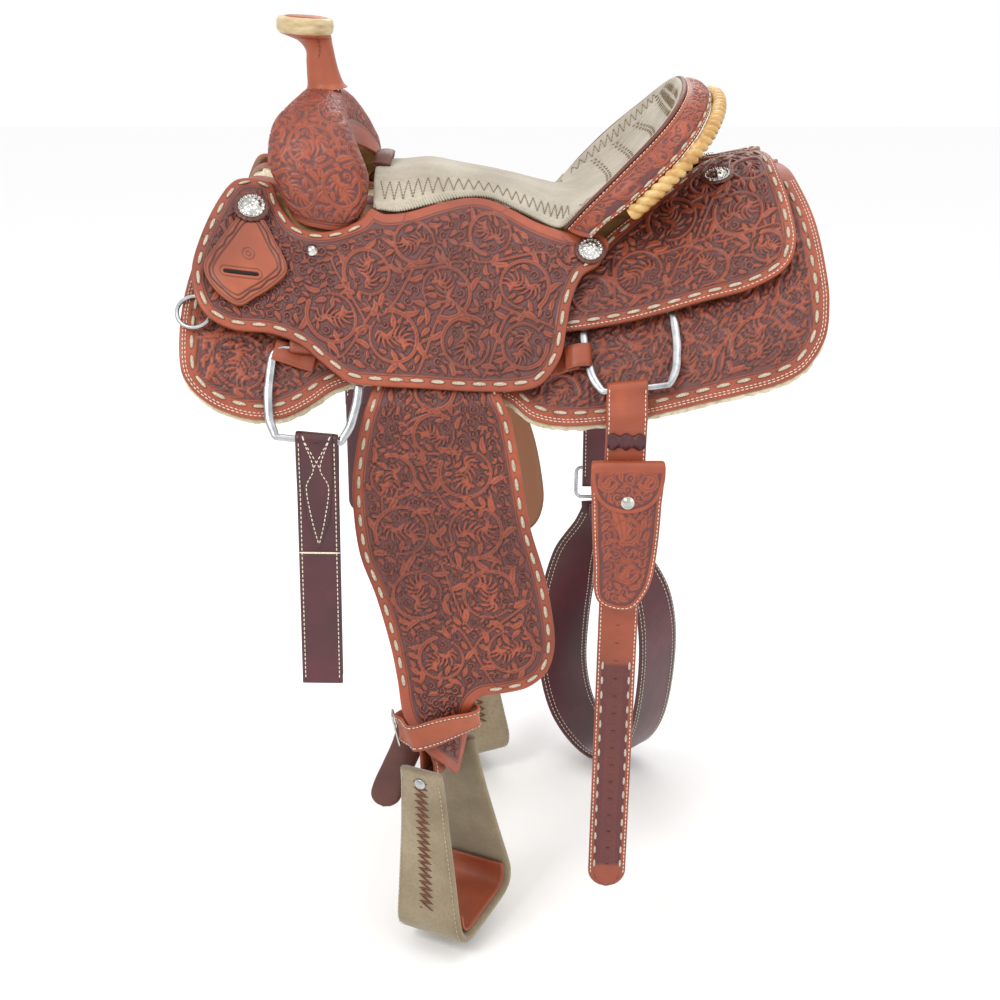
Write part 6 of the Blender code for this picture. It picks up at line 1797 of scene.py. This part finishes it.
def flatface(y, out_):
    def f(q, h):
        h = np.broadcast_to(h, q.shape[:-1])
        return np.stack([q[..., 0], y + out_ * h, -q[..., 1]], -1), np.broadcast_to(np.array([0.0, out_, 0.0]), q.shape[:-1] + (3,)).copy()
    return f


q = patch(OUTL, SHC, 80, 144, False)
D, sd, cut = FP.sample(FP.edge, q), FP.sample(FP.sd, q), FP.sample(FP.cut, q)
mask = smooth(6.6, 7.2, D) * smooth(0.183, 0.19, q[..., 1])
fg = smooth(-0.45, 0.55, sd)
dk = np.maximum(0.75 * cut * mask, 0.8 * np.exp(-((D - 6.6) / 0.6) ** 2))
P, n = flatface(y0 - 0.0135, -1)(q, 0.0006 * fg * mask - 0.0004 * (mask * (1 - fg)) - 0.0004 * dk - 0.0010 * (1 - np.clip(D / 2.2, 0, 1)) ** 2)
slab("sheath_front", P, n, 0.0026, 8, TOOLED, "rear_billet_near", "skirting_leather", {"bg": mask * (1 - fg), "dk": dk}, "sheath_pouch")
q2 = patch(OUTL, SHC, 40, 72, False)
P, n = flatface(y0, 1)(q2, 0.0)
slab("sheath_back", P, n, 0.0026, 8, PLAIN, "rear_billet_near", "skirting_leather", {"bg": 0 * q2[..., 0], "dk": 0 * q2[..., 0]}, None)
side_path = spline([(x / 1000, y0 - 0.00675, -z / 1000) for x, z in [OUTL[2], OUTL[3], OUTL[4], OUTL[5], OUTL[6], OUTL[7], OUTL[8], OUTL[9], OUTL[0]]], steps=10)
cxz = np.array([0.137, 0, -0.262])
ins = side_path + unit((cxz - side_path) * [1, 0, 1]) * 0.0018
GB = Band(ins, (0, 1, 0), 0.0112, 0.0026, ((0, 0, -1), len(ins) // 2), step=0.0025, smooth_path=False)
GB.mesh("sheath_gusset", PLAIN, "rear_billet_near", "skirting_leather", None, cols=6)
fsurf = flatface(y0 - 0.0135, -1)
stitch_runs("sheath_stitches", inset(OUTL, 2.8, lambda x, z: z > 190), fsurf, 0.0002, 0.0034, 0.0048, 0.0010, 0.0008, WHITE, "rear_billet_near",
            "skirting_leather", **THIN)
# flap
yf = y0 - 0.0135 - 0.0010
prof = spline([(y0 - 0.0029, -0.1800, 37.2), (y0 - 0.0034, -0.1778, 38.0), (y0 - 0.0060, -0.1764, 38.6), (yf + 0.003, -0.1764, 39.5), (yf, -0.1800, 40.0),
               (yf, -0.1880, 40.0), (yf, -0.1960, 39.2), (yf, -0.2060, 37.0), (yf, -0.2150, 32.5), (yf, -0.2230, 25.0), (yf, -0.2280, 16.0), (yf, -0.2305, 6.0)], steps=8)
sL = arclen(prof[:, :2])
ss = np.linspace(0, sL[-1], 89)
py, pz, hw = (np.interp(ss, sL, prof[:, c]) for c in range(3))
ty, tz = np.gradient(py), np.gradient(pz)
tl = np.hypot(ty, tz)
ny_, nz_ = tz / tl, -ty / tl
lv = np.linspace(-1, 1, 81)
Xg = 138.0 + hw[:, None] * lv[None]
Qx = np.stack([Xg, np.broadcast_to((ss * 1000)[:, None], Xg.shape)], -1) / 1000
poly = [(138 - h_, s_) for s_, h_ in zip(ss[::8] * 1000, hw[::8])] + [(138 + h_, s_) for s_, h_ in zip(ss[::-8] * 1000, hw[::-8])]
FL = Field(poly)
tot = sL[-1] * 1000
wreath(FL, 116, tot - 36, 10, 1, 0.5)
wreath(FL, 160, tot - 36, 10, -1, 2.6)
fill_gaps(FL, 5.5, limit=1.8)
D, sd, cut = FL.sample(FL.edge, Qx), FL.sample(FL.sd, Qx), FL.sample(FL.cut, Qx)
mask = smooth(5.2, 5.8, D) * smooth(0.018, 0.022, Qx[..., 1])
fg = smooth(-0.45, 0.55, sd)
dk = np.maximum(0.75 * cut * mask, 0.8 * np.exp(-((D - 5.2) / 0.6) ** 2) * smooth(0.018, 0.022, Qx[..., 1]))
n = np.stack([np.zeros_like(Xg), np.broadcast_to(ny_[:, None], Xg.shape), np.broadcast_to(nz_[:, None], Xg.shape)], -1)
if n[60, 40, 1] > 0:
    n = -n
P = np.stack([Xg / 1000, np.broadcast_to(py[:, None], Xg.shape), np.broadcast_to(pz[:, None], Xg.shape)], -1)
P = P + n * (0.0026 + 0.0005 * fg * mask - 0.0003 * mask * (1 - fg) - 0.0009 * (1 - np.clip(D / 2.2, 0, 1)) ** 2)[..., None]
slab("sheath_flap_carved", P, n, 0.0024, 8, TOOLED, "sheath_flap", "skirting_leather", {"bg": mask * (1 - fg), "dk": dk}, "sheath_flap")
lathe("sheath_snap_cap", [(0.0001, 0.0), (0.0072, 0.0), (0.0076, 0.0008), (0.0070, 0.0016), (0.0056, 0.0018), (0.0050, 0.0028), (0.0030, 0.0036), (0.0001, 0.0038)],
      np.array([0.1380, yf - 0.0027, -0.2180]), np.array([1.0, 0, 0]), np.array([0, 0, 1.0]), np.array([0, -1.0, 0]), SILVER, "sheath_flap",
      "silver_fittings", "sheath_snap", segs=40)

# ---------------------------------------------------------------- fenders' straps and the stirrups
for side in (NEAR, OFF):
    w = np.array([math.cos(TURN) * math.cos(TILT), -side * math.sin(TURN) * math.cos(TILT), math.sin(TILT)])
    v = unit(np.array([math.sin(TURN), side * math.cos(TURN), 0]))
    z = np.cross(v, w) if side == OFF else np.cross(w, v)
    z = unit(z if z[2] > 0 else -z)
    c = np.array([BOLT[0], side * LEATHER_Y, BOLT[2]])
    fb = tag("fender", side)
    path, across = [], []
    for zz in (-0.150, -0.220, -0.300, -0.380, -0.440, -0.465, -0.485, -0.505, -0.525, -0.540):
        m, ww, vv = twist(np.array(zz), side)
        path.append(m + vv * loop_gap(zz))
        across.append(ww)
    for k in range(0, 7):
        a = math.pi * k / 6
        path.append(c + v * (0.0085 * math.cos(a)) - z * (0.0085 * math.sin(a)))
        across.append(w)
    for zz in (-0.536, -0.520, -0.500, -0.478, -0.462):
        m, ww, vv = twist(np.array(zz), side)
        path.append(m - vv * (0.0085 - 0.0025 * float(smooth(-0.53, -0.47, zz))))
        across.append(ww)
    SL = Band(path, across, 0.0520, 0.0045, ((0, side, 0), 3), step=0.0025)
    SL.mesh(tag("stirrup_leather_strap", side), STRAPPY, fb, "skirting_leather", tag("stirrup_leather", side), cols=12, dk=edge_lines())
    SL.sew(tag("stirrup_leather_stitches", side), 0.0034, 0.0038, 0.0052, 0.0011, 0.0009, WHITE, fb, "skirting_leather", s0=0.02, **THIN)
    # hobble strap with its buckle
    cen, up = [], []
    for k in range(72):
        a = 2 * math.pi * k / 72
        ca_, sa_ = math.cos(a), math.sin(a)
        px, py_ = math.copysign(abs(ca_) ** 0.4, ca_), math.copysign(abs(sa_) ** 0.4, sa_)
        pp = []
        for lift_ in (-1, 1):
            zz = np.array(-0.4965 + px * 0.045 * math.tan(math.radians(5)) + lift_ * 0.015)
            m, ww, vv = twist(zz, side)
            pp.append(m + ww * (px * (0.0440 + 0.00175) - 0.0020) + vv * (0.0028 + loop_gap(zz) * 0.5 + py_ * (0.0218 + 0.00175)))
        cen.append((pp[0] + pp[1]) / 2)
        up.append(unit(pp[1] - pp[0]))
    HB = Band(cen, np.array(up), 0.0300, 0.0035, ((0, side, 0), None), step=0.0016, closed=True)
    k = int(np.argmax(HB.P[:, 1] * side))
    if HB.N[k][1] * side < 0:
        HB.N = -HB.N
    HB.mesh(tag("hobble_strap_leather", side), PLAIN, fb, "skirting_leather", tag("hobble_strap", side), cols=12, dk=edge_lines(0.0030))
    HB.sew(tag("hobble_stitches", side), 0.0030, 0.0034, 0.0048, 0.0010, 0.0008, WHITE, fb, "skirting_leather", s0=0.0, s1=HB.L - 0.004, **THIN)
    kf = int(np.argmin(HB.P[:, 0]))
    bc, bt, bu, bn = HB.P[kf], HB.T[kf], HB.W[kf], HB.N[kf]
    fr_ = spline([bc + bn * 0.0046 + bt * (sx_ * 0.0105) + bu * (sz_ * 0.0190) for sx_, sz_ in ((1, 0.8), (0.8, 1), (-0.8, 1), (-1, 0.8), (-1, -0.8), (-0.8, -1), (0.8, -1), (1, -0.8))],
                 closed=True, steps=6)
    tube(tag("hobble_buckle", side), fr_, 0.0015, 0.0013, bn, SILVER, fb, "silver_fittings", None, segs=10, closed=True)
    tube(tag("hobble_tongue", side), spline([bc + bn * 0.0036 - bt * 0.0105, bc + bn * 0.0062, bc + bn * 0.0056 + bt * 0.0120], steps=6), 0.0012, 0.0010, bn,
         SILVER, fb, "silver_fittings", None, segs=8)
    # strap end hanging beside the stirrup
    if True:
        tail = [np.array([-0.100, side * 0.2500, -0.500]), np.array([-0.108, side * 0.2470, -0.530]), np.array([-0.121, side * 0.2430, -0.562]),
                np.array([-0.132, side * 0.2420, -0.588]), np.array([-0.138, side * 0.2420, -0.612])]
        TB = Band(tail, (1.0, 0.0, 0.0), 0.036, 0.0034, ((0, side, 0), 2), step=0.0020)
        e = TB.L - TB.S
        TB.width = np.where(e < 0.018, np.sqrt(np.maximum(1e-7, 0.018**2 - (0.018 - e) ** 2)) * 2, 0.036)
        TB.W = unit(np.cross(TB.T, np.array([0, side, 0.0])))
        TB.N = np.broadcast_to(np.array([0, float(side), 0]), TB.P.shape).copy()
        TB.mesh(tag("hobble_tail", side), DARK, fb, "skirting_leather", None, cols=10)
    # bent wood and its laced cover
    prof = [(-0.0395, -0.014, 0.054), (-0.0400, 0.010, 0.057), (-0.0460, 0.065, 0.064), (-0.0540, 0.128, 0.075),
            (-0.0610, 0.178, 0.084), (-0.0620, 0.199, 0.088), (-0.0545, 0.213, 0.090), (-0.0390, 0.2190, 0.090)]
    prof = prof + [(-a_, d_, b_) for a_, d_, b_ in reversed(prof)]
    ctr = [c + w * a_ - z * d_ for a_, d_, b_ in prof]
    ST = Band(ctr, v, [b_ for _, _, b_ in prof], 0.0100, (-w, 2), step=0.0028)
    sb = tag("stirrup", side)

    def suede_dk(S, l, half):
        return 0 * S, 0 * S, 0.0003 * lumps(np.stack([S, np.asarray(l)], -1) + 0.1, 0.006, 31)
    ST.mesh(tag("stirrup_cover", side), ROUGHOUT, sb, "stirrup_cover", tag("stirrup", side), cols=22, dk=suede_dk)
    holes_a, holes_b, hn, la, lb, ln = [], [], [], [], [], []
    for leg in (0.0, 1.0):
        sa = np.arange(0.012, 0.196, 0.0092)
        sa = sa if leg == 0.0 else ST.L - sa
        for col in (-0.0075, 0.0075):
            p_, n_ = ST.top(sa, np.full(len(sa), col), 0.0001)
            q_, _ = ST.top(sa + 0.0006, np.full(len(sa), col), 0.0001)
            holes_a.append(p_), holes_b.append(q_), hn.append(n_)
        for i in range(len(sa) - 1):
            for l0, l1, s1_, s2_ in ((-0.0075, 0.0075, sa[i], sa[i + 1]), (0.0075, -0.0075, sa[i], sa[i])):
                p_, n_ = ST.top(np.array([s1_]), np.array([l0]), 0.0004)
                q_, _ = ST.top(np.array([s2_]), np.array([l1]), 0.0004)
                la.append(p_), lb.append(q_), ln.append(n_)
    # near-black discs: painted shade inside the lace holes
    capsules(tag("stirrup_lace_holes", side), np.concatenate(holes_a), np.concatenate(holes_b), np.concatenate(hn), 0.0040, 0.0008, BLACK.m, sb, "stirrup_cover", segs=10)
    capsules(tag("stirrup_lacing", side), np.concatenate(la), np.concatenate(lb), np.concatenate(ln), 0.0026, 0.0018, BROWN, sb, "stirrup_cover")
    ST.sew(tag("stirrup_edge_stitches", side), 0.0030, 0.0040, 0.0060, 0.0010, 0.0008, BUCK, sb, "stirrup_cover", s0=0.01, **THIN)
    pr_ = [(-0.0510, 0.170), (-0.0510, 0.184), (-0.0510, 0.198), (-0.0460, 0.2085), (-0.0350, 0.2125), (-0.012, 0.2125)]
    pr_ = pr_[1:] + [(-a_, d_) for a_, d_ in reversed(pr_[1:])]
    TR = Band([c + w * a_ - z * (d_ - 0.00175) for a_, d_ in pr_], v, 0.0810, 0.0034, (z, 5), step=0.0025)
    TR.mesh(tag("stirrup_tread_leather", side), PLAIN, sb, "skirting_leather", tag("stirrup_tread", side), cols=20, dk=edge_lines(0.0040))

# ---------------------------------------------------------------- flank cinch and its buckle
cx, cy = 0.137, rbo[1] + 0.0130
stn = [(0.000, -0.4060, 0.02, 0.042), (0.000, -0.4200, 0.03, 0.042), (-0.010, -0.446, 0.10, 0.050), (-0.036, -0.490, 0.25, 0.068),
       (-0.052, -0.550, 0.40, 0.082), (-0.060, -0.620, 0.55, 0.084), (-0.058, -0.680, 0.70, 0.084),
       (-0.040, -0.732, 0.82, 0.084), (-0.006, -0.766, 0.92, 0.084), (0.034, -0.780, 0.98, 0.084),
       (0.074, -0.766, 1.00, 0.084), (0.102, -0.720, 1.00, 0.084), (0.116, -0.650, 1.00, 0.084),
       (0.118, -0.575, 0.96, 0.080), (0.104, -0.516, 0.82, 0.068), (0.070, -0.472, 0.60, 0.052),
       (0.034, -0.444, 0.42, 0.044), (0.015, -0.4230, 0.30, 0.042), (0.014, -0.4060, 0.30, 0.042)]
pts = [np.array([cx + a_ * 0.72, cy - a_ * 0.60 - 0.02 * t_, z_]) for a_, z_, t_, w_ in stn]
acr = [np.array([math.cos(math.radians(48) * t_), math.sin(math.radians(48) * t_), 0]) for a_, z_, t_, w_ in stn]
FC = Band(pts, acr, [w_ for *_, w_ in stn], 0.0050, ((0, 0, -1), len(stn) * 3), step=0.0030)
mid = FC.P.mean(0)
k = len(FC.S) // 2
if np.dot(FC.N[k], FC.P[k] - mid) < 0:
    FC.N = -FC.N
FC.mesh("flank_cinch_strap", BURGUNDY, "flank_cinch", "latigo_leather", "flank_cinch", cols=18, dk=edge_lines(0.0060))
for nm_, off_ in (("outer", 0.0038), ("inner", 0.0100)):
    FC.sew("flank_cinch_stitches_" + nm_, off_, 0.0038, 0.0054, 0.0012, 0.0009, WHITE, "flank_cinch", "latigo_leather", s0=0.02, **THIN)
    FC.sew("flank_cinch_stitches_in_" + nm_, off_, 0.0038, 0.0054, 0.0012, 0.0009, WHITE, "flank_cinch", "latigo_leather", s0=0.02, face=-1, **THIN)
bcx = np.array([0.137, cy, -0.378])
fr_ = []
for sx_, sz_, a0_ in ((1, 1, 0), (-1, 1, 90), (-1, -1, 180), (1, -1, 270)):
    for k in range(4):
        a = math.radians(a0_ + 30 * k)
        fr_.append(bcx + np.array([sx_ * 0.021 + 0.008 * math.cos(a), 0, sz_ * 0.014 + 0.008 * math.sin(a)]))
tube("cinch_buckle_frame", spline(fr_, closed=True, steps=5), 0.0026, 0.0026, (0, 1, 0), STEEL, "flank_cinch", "steel", "cinch_buckle", segs=14, closed=True)
for side in (NEAR, OFF):
    w = np.array([math.cos(TURN) * math.cos(TILT), -side * math.sin(TURN) * math.cos(TILT), math.sin(TILT)])
    v = unit(np.array([math.sin(TURN), side * math.cos(TURN), 0]))
    z = unit(np.cross(w, v))
    c = np.array([BOLT[0], side * LEATHER_Y, BOLT[2]])
    for e_, nm_ in ((-1, "head"), (1, "nut")):
        lathe(tag("stirrup_bolt_" + nm_, side), [(0.0001, 0.0), (0.0072, 0.0), (0.0074, 0.0010), (0.0060, 0.0026), (0.0030, 0.0034), (0.0001, 0.0035)],
              c + w * (e_ * 0.0446), v, z if e_ > 0 else -z, w * e_, STEEL, tag("stirrup", side), "steel", None, segs=32)
print("straps done", flush=True)

# ---------------------------------------------------------------- finishes of the shown CAD pieces
CAD_MATS = {"tree_bar_near": WOOD, "tree_bar_off": WOOD, "tree_fork": WOOD, "cantle_core": WOOD, "horn_core": STEEL, "ground_seat": STEEL}
for ob in bpy.data.objects:
    if "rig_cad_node" in ob and ob.type == "MESH" and not ob.hide_render:
        name = ob["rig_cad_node"]
        mat = CAD_MATS.get(name)
        if mat is None:
            mat = STEEL if ("dee" in name or "buckle" in name or "bolt" in name) else PLAIN
        ob.data.materials.clear()
        ob.data.materials.append(mat)

# ---------------------------------------------------------------- floor, light and camera
me = bpy.data.meshes.new("floor")
me.from_pydata([(-6, -6, -0.80), (6, -6, -0.80), (6, 8, -0.80), (-6, 8, -0.80)], [], [(0, 1, 2, 3)])
floor = bpy.data.objects.new("floor", me)
bpy.context.scene.collection.objects.link(floor)
fm = Mat("floor_pale", rough=0.9)
fm.colour([0.96, 0.96, 0.96, 1.0])
me.materials.append(fm.m)
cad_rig.stage(floor)

world = bpy.data.worlds.new("studio")
bpy.context.scene.world = world
world.use_nodes = True
bg = world.node_tree.nodes["Background"]
bg.inputs["Color"].default_value = (1.0, 1.0, 1.0, 1.0)
bg.inputs["Strength"].default_value = 1.0


def area(name, loc, target, size, power, colour=(1, 1, 1)):
    li = bpy.data.lights.new(name, "AREA")
    li.shape = "RECTANGLE"
    li.size, li.size_y = size
    li.energy = power
    li.color = colour
    ob = bpy.data.objects.new(name, li)
    ob.location = loc
    d = Vector(target) - Vector(loc)
    ob.rotation_euler = d.to_track_quat("-Z", "Y").to_euler()
    bpy.context.scene.collection.objects.link(ob)


area("key", (-1.6, -2.2, 2.0), (0, 0, -0.15), (0.9, 0.9), 40)
area("top", (0.6, -0.4, 2.4), (0, 0, 0), (1.6, 1.6), 16)
area("fill", (2.2, -1.8, 0.6), (0, 0, -0.2), (1.6, 1.6), 7)
area("rim", (0.4, 2.4, 1.6), (0, 0, 0), (1.6, 1.2), 16)

cam = bpy.data.cameras.new("camera")
cam.lens = 59.4
cam.sensor_width = 36.0
co = bpy.data.objects.new("camera", cam)
co.location = (0.0, -1.96, 0.38)
co.rotation_euler = (math.radians(70.5), 0.0, 0.0)
bpy.context.scene.collection.objects.link(co)
bpy.context.scene.camera = co
bpy.context.scene.view_settings.view_transform = "Standard"

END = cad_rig.bounds()
with open("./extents.json", "w") as out:
    json.dump({"frame": [list(map(float, p)) for p in START], "model": [list(map(float, p)) for p in END]}, out)
